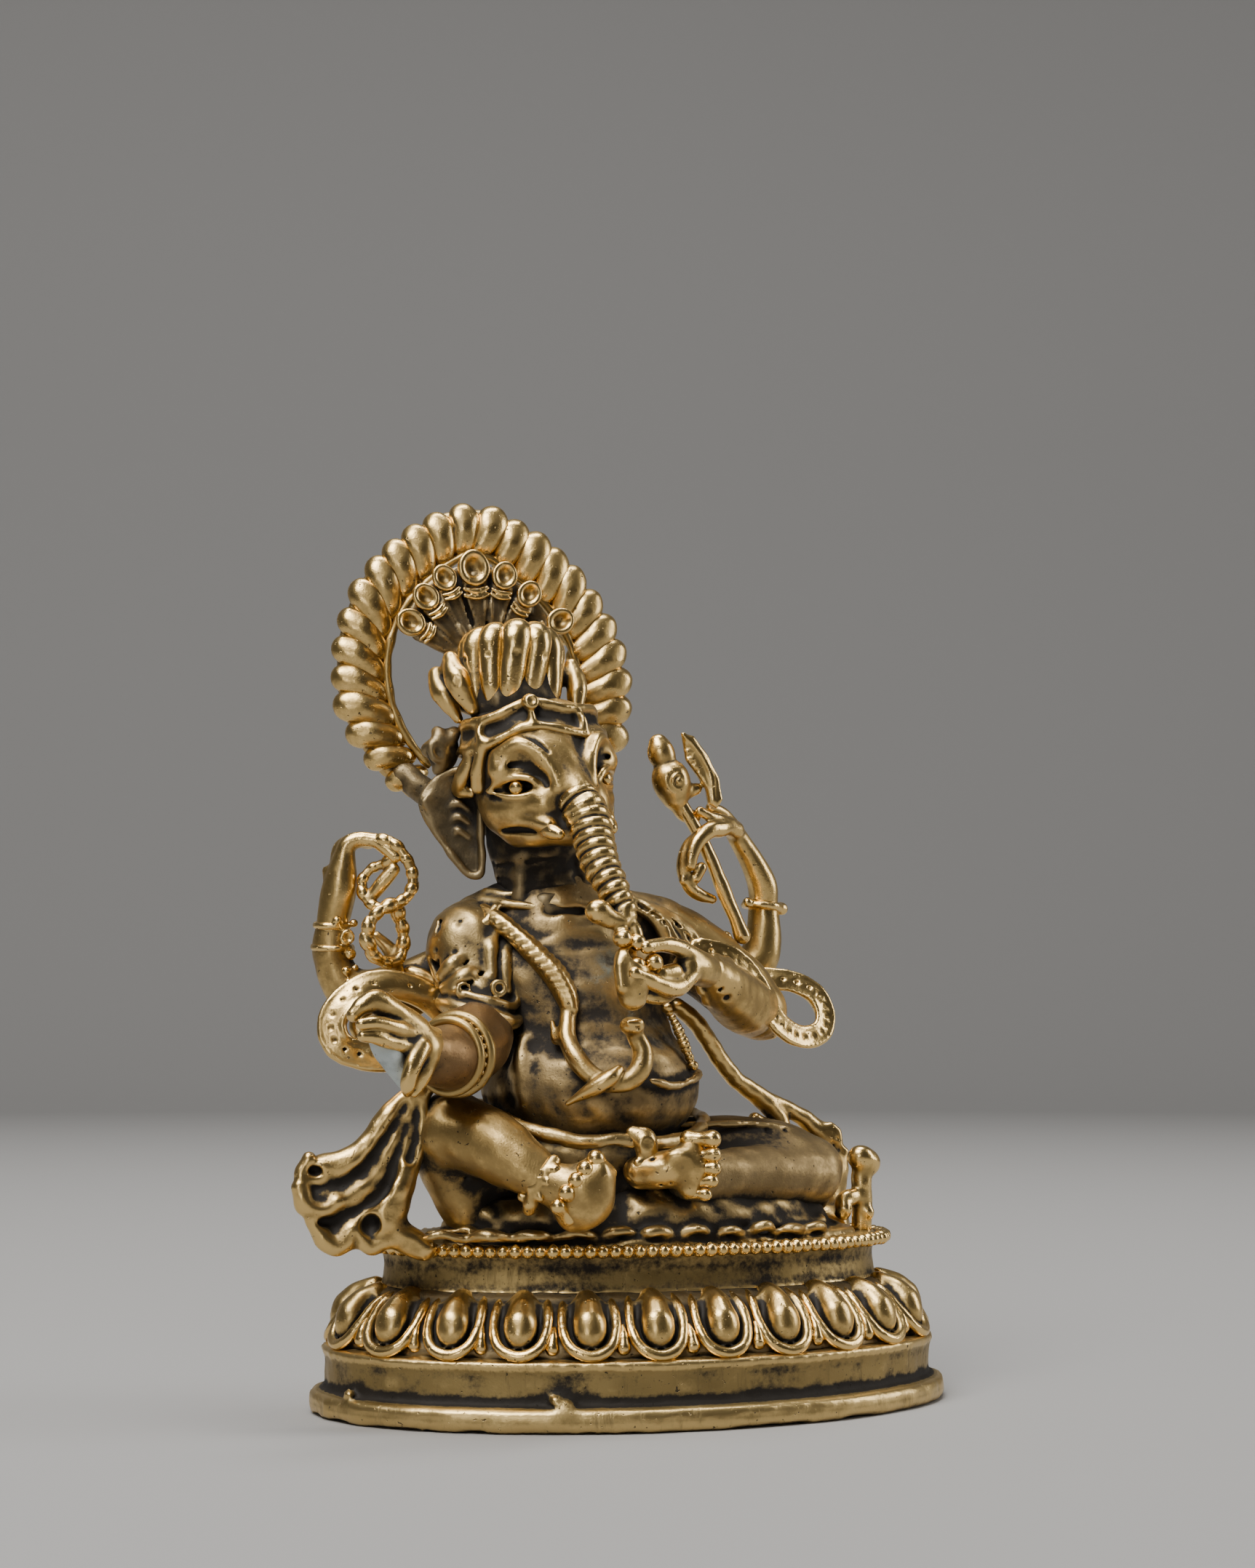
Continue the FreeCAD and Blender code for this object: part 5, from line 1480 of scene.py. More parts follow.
        self.shop.cast(leaves, Label("crown_leaves", Slot.BRIGHT, "body"))


# ---------------------------------------------------------------- halo
@dataclass
class Halo:
    """The rope-edged halo and the feather fan inside it."""

    shop: Workshop

    def __post_init__(self) -> None:
        low, high = node_box("halo_ring")
        self.y = float(low[1] + high[1]) / 2
        self.middle = np.array([float(low[0] + high[0]) / 2 + 0.2, self.y, float(high[2]) - 20.8])
        self.half = float(high[0] - low[0]) / 2 - 2.95

    def path(self, inset: float, steps: int = 120) -> np.ndarray:
        """Points of the leaning horseshoe, moved inward by inset, from the left leg over the top to the right leg."""
        points = []
        for t in np.linspace(-128, -412, steps):
            angle = math.radians(t)
            tall = 15.7 if math.sin(angle) > 0 else 15.4
            peak = 1.9 * max(0.0, math.sin(angle)) ** 12
            lift = (tall - inset) * math.sin(angle) + peak
            points.append(self.middle + np.array([(self.half - inset) * math.cos(angle) - 0.08 * lift, 0.0,
                lift]))
        return np.array(points)

    def build(self) -> None:
        """Makes every piece of the halo and the fan."""
        self.band()
        self.strands()
        self.bridge()
        self.fan()

    def band(self) -> None:
        """The flat band behind the strands and the fillet inside it."""
        clay = Clay(0.3, seed=50, uneven=0.05)
        run = self.path(0.0, 40)
        width = [1.2 + 0.9 * min(1.0, 6.0 * min(n, 39 - n) / 39) for n in range(40)]
        clay.limb(run + np.array([0, 0.6, 0]), [1.3 * w for w in width], blend=0.3, smooth=False,
            flat=((0, 1, 0), 0.5))
        self.shop.cast(clay, Label("halo_band", Slot.BRIGHT, "dark", ("halo_ring",)))
        inner = self.path(2.9, 120) + np.array([0, -0.5, 0])
        thick = [0.52 + 0.1 * math.sin(0.9 * n) * math.sin(0.23 * n + 1) for n in range(120)]
        self.shop.sweep([(inner, thick)], Label("halo_rim", Slot.BRIGHT, "bright", ("halo_rim",)))

    def strands(self) -> None:
        """The slanting strands of the rope edge."""
        strand = Clay(0.25, seed=51, uneven=0.05)
        strand.limb([(-2.5, -0.4, 0.3), (-1.2, -0.15, -0.35), (0.4, 0.1, -0.45), (1.4, 0.1, -0.2),
            (1.95, 0.0, 0.1)], [1.0, 1.5, 1.82, 1.86, 1.6], blend=0.2, flat=((0, 0, 1), 0.8))
        strand.limb([(-2.2, 0.2, 0.9), (2.0, 0.3, 1.0)], [1.0, 1.3], blend=0.6)
        run = self.path(0.0, 400)
        walked = np.concatenate([[0], np.cumsum(np.linalg.norm(np.diff(run, axis=0), axis=1))])
        count = 26
        stations = []
        for n in range(count):
            at = walked[-1] * (n + 0.5) / count
            p = np.array([np.interp(at, walked, run[:, i]) for i in range(3)])
            q = np.array([np.interp(at + 0.4, walked, run[:, i]) for i in range(3)])
            along = (q - p) / np.linalg.norm(q - p)
            outward = np.cross(along, (0, 1, 0))
            if outward @ (p - self.middle) < 0:
                outward = -outward
            share = (n + 0.5) / count * 2 - 1
            slant = math.copysign(min(1.0, abs(share) * 3.0), share) * (0.85 - 0.35 * abs(share))
            lean = outward - along * math.tan(slant * 0.8)
            taper = 0.62 + 0.38 * min(1.0, 5.0 * (1 - abs(share)))
            long_way = taper / math.cos(slant * 0.7)
            stations.append(Station(p, lean, np.array([0, 1.0, 0]), (long_way, 0.92 * taper + 0.08,
                0.95 * taper)))
        self.shop.scatter(self.shop.master(strand, "strand"), stations,
            Label("halo_strands", Slot.BRIGHT, "bright"), seed=52, size_jitter=0.05, turn_jitter=0.06)

    def bridge(self) -> None:
        """The bar behind the nape and the flat ends of the legs."""
        run = self.path(0.0, 40)
        clay = Clay(0.275, seed=53, uneven=0.12)
        clay.limb([run[1], (-20.0, self.y - 1.6, 65.6), (-14.0, 7.0, 64.4), (-8.0, self.y - 1.4, 66.4),
            run[-2]], [1.5, 1.7, 2.2, 1.6, 1.3], blend=0.6)
        clay.limb([(-14.0, 7.6, 64.6), (-12.8, 2.0, 63.6)], [2.2, 2.4], blend=1.0)
        clay.limb([(-20.6, self.y - 1.8, 66.6), (-19.0, 3.4, 67.4)], [1.2, 1.3], blend=0.8)
        self.shop.cast(clay, Label("halo_bridge", Slot.BODY, "black", ("halo_bridge",)))

    def fan(self) -> None:
        """The plate of seven feathers and their eyes."""
        eyes = [(-24.4, 85.9, 1.1), (-22.7, 88.9, 1.08), (-20.6, 91.2, 1.0), (-17.2, 92.5, 1.3),
            (-13.6, 91.8, 1.1), (-10.7, 89.8, 1.06), (-8.2, 86.5, 1.08)]
        hub = np.array([-15.6, 5.8, 80.6])
        rim = [(x + 0.4 * (x + 15) / 8, z + 0.9) for x, z, _ in eyes]
        clay = Clay(0.24, seed=54, uneven=0.06)
        axes = Local(np.array([0.0, 7.0, 0.0]))
        clay.plate(axes, [(-17.4, 80.0), *rim, (-11.6, 80.0)], 1.0, rounding=0.3)
        for x, z, size in eyes:
            end = np.array([x, 6.3, z])
            way = end - hub
            near = hub + way * 0.42
            far = hub + way * (1 - 1.7 / np.linalg.norm(way))
            clay.limb([near, far], [0.7, 1.25 * size], blend=0.2, smooth=False, flat=((0, 1, 0), 0.4))
            side = np.cross(way / np.linalg.norm(way), (0, 1, 0))
            for s in (-1, 1):
                clay.limb([near + side * s * 0.5 + np.array([0, -0.4, 0]),
                    far + side * s * 0.98 * size + np.array([0, -0.4, 0])], [0.14, 0.18], blend=0.1)
        clay.limb([(-15.0, 6.6, 81.0), (-14.4, 1.6, 79.6)], [2.4, 2.8], blend=0.8)
        self.shop.cast(clay, Label("feather_fan", Slot.BODY, "black", ("feather_fan",)))
        eye = Clay(0.125, seed=55, uneven=0.03)
        eye.egg((0.0, 0.4, 0.0), (1.5, 0.7, 1.35), blend=0.2)
        eye.egg((0.05, -0.6, 0.0), (0.98, 1.0, 0.84), blend=0.15, cut=True)
        eye.ring(Local(np.zeros(3)), 1.3, 1.12, 0.3, blend=0.12)
        for step in (0, 1):
            eye.limb([(-1.75 - 0.55 * step, 0.0, -1.0), (-2.0 - 0.55 * step, -0.1, 0.0),
                (-1.75 - 0.55 * step, 0.0, 1.0)], [0.2, 0.26, 0.2], blend=0.15)
        stations = []
        for x, z, size in eyes:
            end = np.array([x + (0.7 if x > -9 else 0.0), 3.6 if x > -9 else 5.5, z])
            out = end - hub
            out[1] = 0.0
            stations.append(Station(end, out, np.cross(out, (0, 1, 0)), (size, size, size)))
        self.shop.scatter(self.shop.master(eye, "feather"), stations,
            Label("feather_rings", Slot.BODY, "body", ("feather_rings",)), seed=56, size_jitter=0.04,
            turn_jitter=0.05)


# ---------------------------------------------------------------- arms
@dataclass
class Arms:
    """Four arms, their hands, and what the hands hold."""

    shop: Workshop

    def build(self) -> None:
        """Makes every piece of the arms."""
        self.right_front()
        self.right_rear()
        self.left_front()
        self.left_rear()
        self.axe()

    def right_front(self) -> None:
        """The lowered right arm in its patterned sleeve, with the open hand that holds the broken tusk."""
        arm = Clay(0.21, seed=60, uneven=0.07)
        arm.limb([(-16.6, 0.8, 50.0), (-18.4, -1.4, 47.4), (-18.6, -3.8, 44.0), (-18.8, -6.4, 40.8)],
            [4.6, 4.4, 3.9, 3.5], blend=1.5)
        arm.egg((-18.9, -0.8, 49.6), (4.4, 4.8, 4.4), blend=2.0)
        hem = [(-22.4, -1.6, 44.6), (-22.4, -4.8, 43.0), (-21.0, -8.0, 42.4), (-18.4, -9.4, 41.6),
            (-15.8, -8.4, 41.0), (-14.6, -6.0, 41.4)]
        arm.limb(hem, [0.7, 0.9, 0.9, 0.95, 0.9, 0.7], blend=0.6)
        arm.limb([(x, y + 0.3, z + 1.7) for x, y, z in hem], [0.35, 0.5, 0.5, 0.5, 0.5, 0.35], blend=0.4)
        folds = (((-16.2, -3.4, 52.0), (-17.4, -5.6, 49.0), (-17.6, -6.8, 46.0)),
                 ((-15.2, -3.8, 51.0), (-16.0, -5.8, 47.8), (-16.0, -7.0, 44.6)),
                 ((-14.4, -4.2, 49.4), (-14.8, -5.8, 46.4), (-14.8, -6.6, 43.4)),
                 ((-19.8, -4.4, 48.4), (-21.4, -5.4, 47.2), (-22.6, -4.8, 46.0)),
                 ((-19.2, -6.0, 46.6), (-20.8, -6.6, 45.6), (-22.4, -5.4, 44.6)))
        for a, b, c in folds:
            arm.limb([a, b, c], [0.75, 1.05, 0.65], blend=0.4)
            arm.groove([np.array(p) + (0.85, -0.45, -0.3) for p in (a, b, c)], 0.4)
        rng = np.random.default_rng(61)
        for _ in range(34):
            u, v = rng.uniform(-0.75, 0.95), rng.uniform(-0.5, 0.75)
            out = np.array([-math.cos(u) * math.cos(v), -math.sin(u + 0.55) * math.cos(v), math.sin(v)])
            arm.pits([np.array([-18.7, -0.8, 49.2]) + out * (4.4, 4.8, 4.4)], rng.uniform(0.24, 0.4))
        for x, y, z in ((-20.9, -8.0, 44.4), (-17.3, -8.9, 44.6)):
            arm.ring(Local(np.array([x, y, z]), turn=-6.0), 0.66, 0.7, 0.28, blend=0.25)
        arm.limb([(-23.2, -1.6, 47.6), (-22.4, -3.4, 46.2)], [0.5, 0.7], blend=0.6, cut=True)
        self.shop.cast(arm, Label("right_upper_arm", Slot.BODY, "dark", ("right_upper_arm",)))
        fore = Clay(0.24, seed=62, uneven=0.05)
        fore.limb([(-18.9, -5.2, 41.0), (-19.8, -9.4, 39.0), (-22.0, -13.0, 37.8), (-24.8, -16.6, 37.4),
            (-27.2, -18.9, 37.8)], [3.6, 3.7, 3.5, 3.2, 2.4], blend=0.6)
        self.shop.cast(fore, Label("right_forearm", Slot.BODY, "copper", ("right_forearm",)))
        self.cuff()
        self.open_hand()

    def cuff(self) -> None:
        """The double-rimmed bangle at the right wrist, with pearls between the rims."""
        way = np.array([-0.62, -0.78, -0.06])
        side = np.cross(way, (0, 0, 1.0))
        side /= np.linalg.norm(side)
        up = np.cross(side, way)
        wires, beads = [], []
        for middle, radius, thick in ((np.array([-22.9, -13.9, 37.7]), 3.85, 0.6),
                (np.array([-24.0, -15.3, 37.5]), 3.6, 0.5)):
            circle = [middle + side * radius * math.cos(t) + up * radius * 1.02 * math.sin(t)
                for t in np.linspace(0, 2 * math.pi, 61)]
            circle[-1] = circle[0]
            wires.append((np.array(circle), [thick] * 61))
        for t in np.linspace(0, 2 * math.pi, 27)[:-1]:
            out = side * math.cos(t) + up * math.sin(t)
            beads.append(Station(np.array([-23.5, -14.6, 37.6]) + out * 3.65, out, way))
        self.shop.sweep(wires, Label("right_cuff", Slot.BRIGHT, "bright", ("right_cuff",)), sides=16)
        bead = Clay(0.15, seed=63, uneven=0.04)
        bead.egg((0, 0, 0), (0.42, 0.4, 0.42), blend=0.1)
        self.shop.scatter(self.shop.master(bead, "cuff"), beads, Label("cuff_pearls", Slot.BODY, "dark"),
            seed=64, size_jitter=0.1)

    def open_hand(self) -> None:
        """The right front hand: thumb over two fingers, the others below, the tusk's stump between them."""
        hand = Clay(0.175, seed=65, uneven=0.05)
        hand.limb([(-26.6, -18.4, 38.2), (-28.4, -19.8, 38.2), (-30.0, -20.6, 38.6)], [2.3, 2.5, 1.9],
            blend=0.6)
        hand.limb([(-28.4, -20.2, 40.2), (-30.6, -21.6, 41.6), (-32.8, -22.8, 42.9), (-34.2, -23.4, 42.5),
            (-35.2, -23.6, 41.6)], [1.5, 1.35, 1.25, 0.95, 0.75], blend=0.5)
        hand.limb([(-28.6, -21.0, 39.4), (-31.0, -23.2, 40.4), (-33.0, -24.2, 40.8), (-34.6, -24.6, 40.7)],
            [1.1, 0.8, 0.72, 0.62], blend=0.3)
        hand.limb([(-28.8, -21.4, 38.4), (-31.2, -23.0, 38.8), (-33.0, -24.0, 39.4), (-34.4, -24.2, 39.5)],
            [1.1, 0.75, 0.7, 0.6], blend=0.3)
        hand.limb([(-28.2, -21.8, 38.4), (-29.2, -22.8, 36.6), (-29.6, -22.6, 34.8), (-29.4, -21.8, 34.0)],
            [1.1, 0.9, 0.75, 0.55], blend=0.3)
        hand.limb([(-27.4, -20.2, 37.2), (-28.0, -20.8, 35.4), (-28.6, -20.8, 34.0)], [1.4, 1.0, 0.6],
            blend=0.4)
        self.shop.cast(hand, Label("right_hand", Slot.BODY, "bright", ("right_hand",)))
        stump = Clay(0.175, seed=66, uneven=0.14)
        stump.limb([(-33.2, -22.2, 40.6), (-31.4, -21.8, 38.2), (-29.8, -21.4, 35.4)], [0.7, 1.5, 0.8],
            blend=0.3)
        self.shop.cast(stump, Label("held_tusk", Slot.BODY, "residue", ("held_tusk",)))

    def right_rear(self) -> None:
        """The raised right arm with its studded bracelets and the knotted cord."""
        arm = Clay(0.25, seed=67, uneven=0.06)
        arm.limb([(-16.0, 3.8, 48.6), (-21.0, 3.6, 46.4), (-26.6, 3.4, 44.6), (-30.6, 3.6, 44.4),
            (-32.6, 3.8, 46.6), (-33.2, 3.8, 49.6), (-33.0, 3.5, 51.6)],
            [3.4, 3.0, 2.7, 2.6, 2.2, 2.1, 1.8], blend=0.8)
        arm.limb([(-25.0, 0.8, 46.6), (-22.4, -0.2, 45.4), (-20.6, -0.4, 43.6)], [0.7, 0.8, 0.7], blend=0.5)
        arm.limb([(-26.4, 0.6, 45.4), (-23.6, -0.4, 43.8), (-22.4, -0.8, 42.0)], [0.6, 0.7, 0.6], blend=0.5)
        self.shop.cast(arm, Label("right_rear_arm", Slot.BODY, "body", ("right_rear_arm",)))
        hand = Clay(0.188, seed=68, uneven=0.04)
        hand.limb([(-33.2, 3.4, 51.4), (-32.8, 3.2, 53.8), (-32.4, 2.8, 56.2), (-32.2, 2.4, 58.6)],
            [1.7, 1.9, 1.85, 1.3], blend=0.4)
        hand.limb([(-32.2, 2.4, 58.0), (-31.9, 2.0, 60.2), (-30.6, 1.6, 60.9), (-28.8, 1.0, 60.8)],
            [1.2, 1.0, 0.85, 0.8], blend=0.3)
        hand.limb([(-32.6, 3.4, 57.8), (-32.4, 3.2, 60.0), (-31.0, 2.8, 60.9), (-29.4, 2.4, 60.7)],
            [1.0, 0.9, 0.75, 0.7], blend=0.3)
        hand.limb([(-28.8, 1.0, 60.8), (-27.8, 0.4, 59.9), (-26.9, 0.0, 59.0)], [0.8, 0.8, 0.75], blend=0.2)
        hand.limb([(-33.6, 3.6, 57.0), (-33.9, 3.6, 57.6)], [0.6, 0.45], blend=0.6)
        hand.groove([(-30.9, 0.9, 56.2), (-31.0, 0.8, 57.8), (-31.2, 0.9, 59.6)], 0.18)
        self.shop.cast(hand, Label("right_rear_hand", Slot.BODY, "bright", ("right_rear_hand",)))
        self.bracelets()
        self.chain()

    def bracelets(self) -> None:
        """The wrist bracelet with its studs, and the plain bangle with a knob on the left."""
        clay = Clay(0.175, seed=69, uneven=0.05)
        studs = [(-32.0, 1.6, 50.2, 0.95), (-32.9, 1.4, 52.0, 0.7), (-31.4, 1.8, 48.4, 0.8),
            (-31.8, 1.4, 46.6, 0.7), (-31.0, 1.9, 51.8, 0.6), (-30.8, 2.2, 46.9, 0.6),
            (-30.7, 1.7, 44.9, 0.9), (-31.6, 1.3, 45.4, 0.5)]
        for x, y, z, r in studs:
            clay.egg((x, y + 0.2, z), (r * 0.85, r * 0.8, r * 0.85), blend=0.5)
        clay.ring(Local(np.array([-31.9, 1.0, 50.2])), 0.62, 0.66, 0.24, blend=0.2)
        for height, radius in ((51.6, 1.8), (49.2, 2.0)):
            clay.limb([(-33.1 + radius * math.cos(t), 3.6 + radius * math.sin(t), height + 0.2 * math.sin(t))
                       for t in np.linspace(0, 2 * math.pi, 21)], [0.42] * 21, blend=0.2, smooth=False)
        clay.limb([(16.6 + 2.0 * math.cos(t), 4.0 + 2.0 * math.sin(t),
            54.5 - 0.14 * math.cos(t)) for t in np.linspace(0, 2 * math.pi, 21)], [0.48] * 21, blend=0.2,
            smooth=False)
        clay.egg((18.9, 3.6, 54.2), (0.75, 0.6, 0.75), blend=0.3)
        clay.egg((14.4, 2.6, 54.8), (0.6, 0.6, 0.6), blend=0.3)
        self.shop.cast(clay, Label("rear_bracelets", Slot.BRIGHT, "bright", ("rear_bracelets",)))

    def chain(self) -> None:
        """The knotted cord of rounded links that hangs from the raised right hand."""
        front = [(-28.6, 0.6, 60.9), (-27.2, 0.0, 60.5), (-25.9, -0.4, 59.0), (-25.1, -0.5, 57.2),
            (-25.2, -0.6, 55.4), (-26.2, -0.8, 54.2), (-27.6, -1.1, 53.6), (-29.0, -1.4, 52.8),
            (-30.0, -1.4, 51.2), (-30.0, -1.2, 49.6), (-29.2, -0.8, 48.1), (-27.8, -0.3, 47.5),
            (-26.5, 0.1, 47.8), (-25.9, 0.5, 49.2), (-25.9, 0.5, 51.0), (-26.4, 0.3, 52.6),
            (-26.9, 0.2, 53.8)]
        back = [(-27.2, 0.4, 58.6), (-28.2, 1.2, 58.2), (-29.4, 1.6, 57.6), (-30.2, 1.7, 56.4),
            (-30.1, 1.4, 55.0), (-29.4, 0.9, 53.9), (-28.4, 0.2, 53.4)]
        clay = Clay(0.175, seed=70, uneven=0.04)
        clay.limb(front, [0.62] * len(front), blend=0.2)
        clay.limb(back, [0.55] * len(back), blend=0.2)
        clay.limb([(-27.0, 0.3, 57.6), (-28.4, 0.8, 55.8), (-29.4, 1.2, 54.4)], [0.7, 0.8, 0.6], blend=0.4)
        clay.limb([(-28.6, 1.6, 50.4), (-27.0, 1.2, 48.6), (-26.6, 1.0, 46.6)], [0.5, 0.9, 1.0], blend=0.4)
        self.shop.cast(clay, Label("loop_cord", Slot.BRIGHT, "body", ("loop_chain",)))
        stations = []
        for line, share in ((front, 1.0), (back, 0.85)):
            run, _ = smooth_path(line, [1] * len(line), 8)
            walked = np.concatenate([[0], np.cumsum(np.linalg.norm(np.diff(run, axis=0), axis=1))])
            for at in np.arange(0.5, walked[-1], 1.7):
                p = np.array([np.interp(at, walked, run[:, i]) for i in range(3)])
                q = np.array([np.interp(at + 0.3, walked, run[:, i]) for i in range(3)])
                stations.append(Station(p, q - p, np.array([0.1, -1.0, 0.15]), (share, share, share)))
        link = Clay(0.17, seed=71, uneven=0.03)
        link.limb([(-0.75, 0, 0), (0, 0, 0), (0.7, 0, 0)], [0.5, 0.82, 0.56], blend=0.2)
        self.shop.scatter(self.shop.master(link, "link"), stations, Label("loop_links", Slot.BRIGHT,
            "bright"), seed=72, size_jitter=0.14, turn_jitter=0.3)

    def left_front(self) -> None:
        """The bent left arm whose hand cups the bowl of sweets."""
        upper = Clay(0.25, seed=73, uneven=0.06)
        upper.limb([(2.6, 0.8, 50.8), (7.0, 0.2, 48.8), (11.0, -1.6, 45.4), (13.4, -3.2, 42.6)],
            [4.5, 4.2, 3.9, 3.4], blend=1.2)
        upper.limb([(13.8, -2.6, 40.6), (15.2, -3.4, 40.0)], [1.4, 0.8], blend=0.6)
        self.shop.cast(upper, Label("left_upper_arm", Slot.BODY, "body", ("left_upper_arm",)))
        fore = Clay(0.225, seed=74, uneven=0.05)
        fore.limb([(13.2, -3.2, 42.6), (10.8, -6.0, 43.2), (7.6, -9.6, 44.8), (4.8, -12.8, 46.4)],
            [3.3, 3.3, 2.8, 1.9], blend=0.6)
        for mx, my, mz, r in ((6.3, -11.0, 45.4, 2.5), (4.9, -12.5, 46.1, 2.1)):
            circle = [np.array([mx, my, mz]) + r * (math.cos(t) * np.array([0.72, 0.62,
                0.1]) + math.sin(t) * np.array([0.2, -0.35, 0.93])) for t in np.linspace(0, 2 * math.pi,
                21)]
            fore.limb(circle, [0.42] * 21, blend=0.3, smooth=False)
        fore.pits([(6.6, -13.0, 46.2), (5.8, -13.2, 44.6), (7.8, -12.2, 45.6), (6.9, -12.4, 43.6)], 0.35)
        self.shop.cast(fore, Label("left_forearm", Slot.BODY, "body", ("left_forearm",)))
        hand = Clay(0.175, seed=75, uneven=0.04)
        hand.limb([(4.6, -13.0, 46.4), (2.8, -14.6, 46.8), (1.4, -15.8, 46.8)], [1.8, 1.9, 1.6], blend=0.4)
        hand.limb([(2.2, -15.6, 47.8), (0.2, -17.0, 48.7), (-1.8, -18.2, 49.0), (-4.2, -19.4, 48.7)],
            [1.05, 0.95, 0.85, 0.72], blend=0.3)
        hand.limb([(1.6, -16.2, 46.0), (-0.4, -17.6, 44.6), (-2.6, -18.8, 44.8), (-5.6, -20.0, 46.0)],
            [1.15, 1.05, 0.95, 0.75], blend=0.3)
        hand.limb([(1.0, -15.4, 45.4), (-1.4, -16.8, 43.8), (-3.6, -17.8, 43.8), (-5.4, -18.6, 44.6)],
            [1.0, 0.9, 0.85, 0.7], blend=0.3)
        hand.limb([(-0.6, -17.4, 46.2), (-2.2, -18.4, 46.0)], [1.0, 0.8], blend=0.4)
        hand.groove([(0.4, -17.8, 45.4), (0.8, -17.8, 44.6)], 0.16)
        hand.groove([(1.4, -17.2, 45.8), (1.8, -17.0, 45.0)], 0.16)
        self.shop.cast(hand, Label("left_hand", Slot.BODY, "bright", ("left_hand",)))
        bowl = Clay(0.175, seed=76, uneven=0.05)
        bowl.limb([(-5.4, -18.6, 43.6), (-5.4, -18.6, 45.4), (-5.6, -18.4, 47.4)], [1.5, 1.9, 1.7], blend=0.3)
        bowl.limb([(-6.8, -19.6, 44.6), (-6.9, -19.4, 46.6), (-6.6, -19.0, 48.0)], [0.7, 0.7, 0.6], blend=0.4)
        bowl.egg((-4.4, -19.0, 47.8), (1.9, 1.5, 1.1), blend=0.3, cut=True)
        self.shop.cast(bowl, Label("sweet_bowl", Slot.BODY, "body", ("sweet_bowl",)))
        ball = Clay(0.138, seed=77, uneven=0.03)
        ball.egg((0, 0, 0), (0.95, 0.92, 0.9), blend=0.1)
        spots = [(-3.2, -18.8, 47.1), (-5.1, -19.2, 46.9), (-6.6, -19.0, 49.6), (-5.0, -18.9, 49.2)]
        stations = [Station(np.array(p), np.array([0.3, -1.0, 0]), np.array([0, 0, 1.0])) for p in spots]
        self.shop.scatter(self.shop.master(ball, "sweet"), stations, Label("sweets", Slot.BRIGHT, "bright",
            ("sweets",)), seed=78, size_jitter=0.1, turn_jitter=0.5)

    def left_rear(self) -> None:
        """The raised left arm whose fingers hold the axe."""
        arm = Clay(0.25, seed=79, uneven=0.05)
        arm.limb([(1.6, 3.6, 49.8), (6.4, 4.4, 48.0), (11.8, 4.6, 46.4), (15.4, 4.4, 47.2),
            (16.8, 4.2, 50.4), (16.9, 4.1, 54.2)], [3.4, 3.0, 2.6, 2.5, 2.1, 1.75], blend=0.8)
        arm.limb([(11.6, 2.0, 50.8), (12.2, 2.6, 48.6)], [0.7, 0.9], blend=0.6)
        self.shop.cast(arm, Label("left_rear_arm", Slot.BODY, "bright", ("left_rear_arm",)))
        hand = Clay(0.188, seed=80, uneven=0.04)
        hand.limb([(16.9, 4.1, 54.6), (16.6, 3.8, 57.0), (15.2, 3.3, 59.6), (13.6, 2.8, 61.8),
            (12.3, 2.4, 63.6), (11.2, 2.0, 64.8), (9.6, 1.2, 65.4)], [1.65, 1.7, 1.45, 1.2, 1.0, 0.85,
            0.65], blend=0.3)
        hand.limb([(12.6, 1.8, 63.0), (11.2, 0.6, 63.2), (10.0, -0.4, 62.9), (8.6, -1.2, 62.6),
            (7.2, -1.6, 61.4), (6.4, -1.8, 59.8), (6.2, -1.8, 58.6)], [1.1, 1.05, 1.0, 0.95, 0.85, 0.75,
            0.65], blend=0.3)
        hand.limb([(11.8, 1.0, 63.6), (10.4, 0.2, 64.0), (9.0, -0.4, 64.2), (7.6, -0.8, 64.8)],
            [0.8, 0.7, 0.65, 0.55], blend=0.3)
        hand.limb([(8.0, -0.6, 62.2), (6.2, -0.9, 60.6), (5.6, -1.0, 58.4), (6.2, -0.9, 56.4),
            (7.6, -0.6, 55.4), (9.2, -0.4, 54.9)], [0.8, 0.8, 0.8, 0.75, 0.7, 0.5], blend=0.3)
        hand.egg((5.4, -1.4, 56.8), (0.45, 0.4, 0.4), blend=0.3)
        hand.limb([(7.6, -1.2, 58.4), (7.0, -1.3, 57.2)], [0.7, 0.6], blend=0.4)
        self.shop.cast(hand, Label("left_rear_hand", Slot.BODY, "bright", ("left_rear_hand",)))

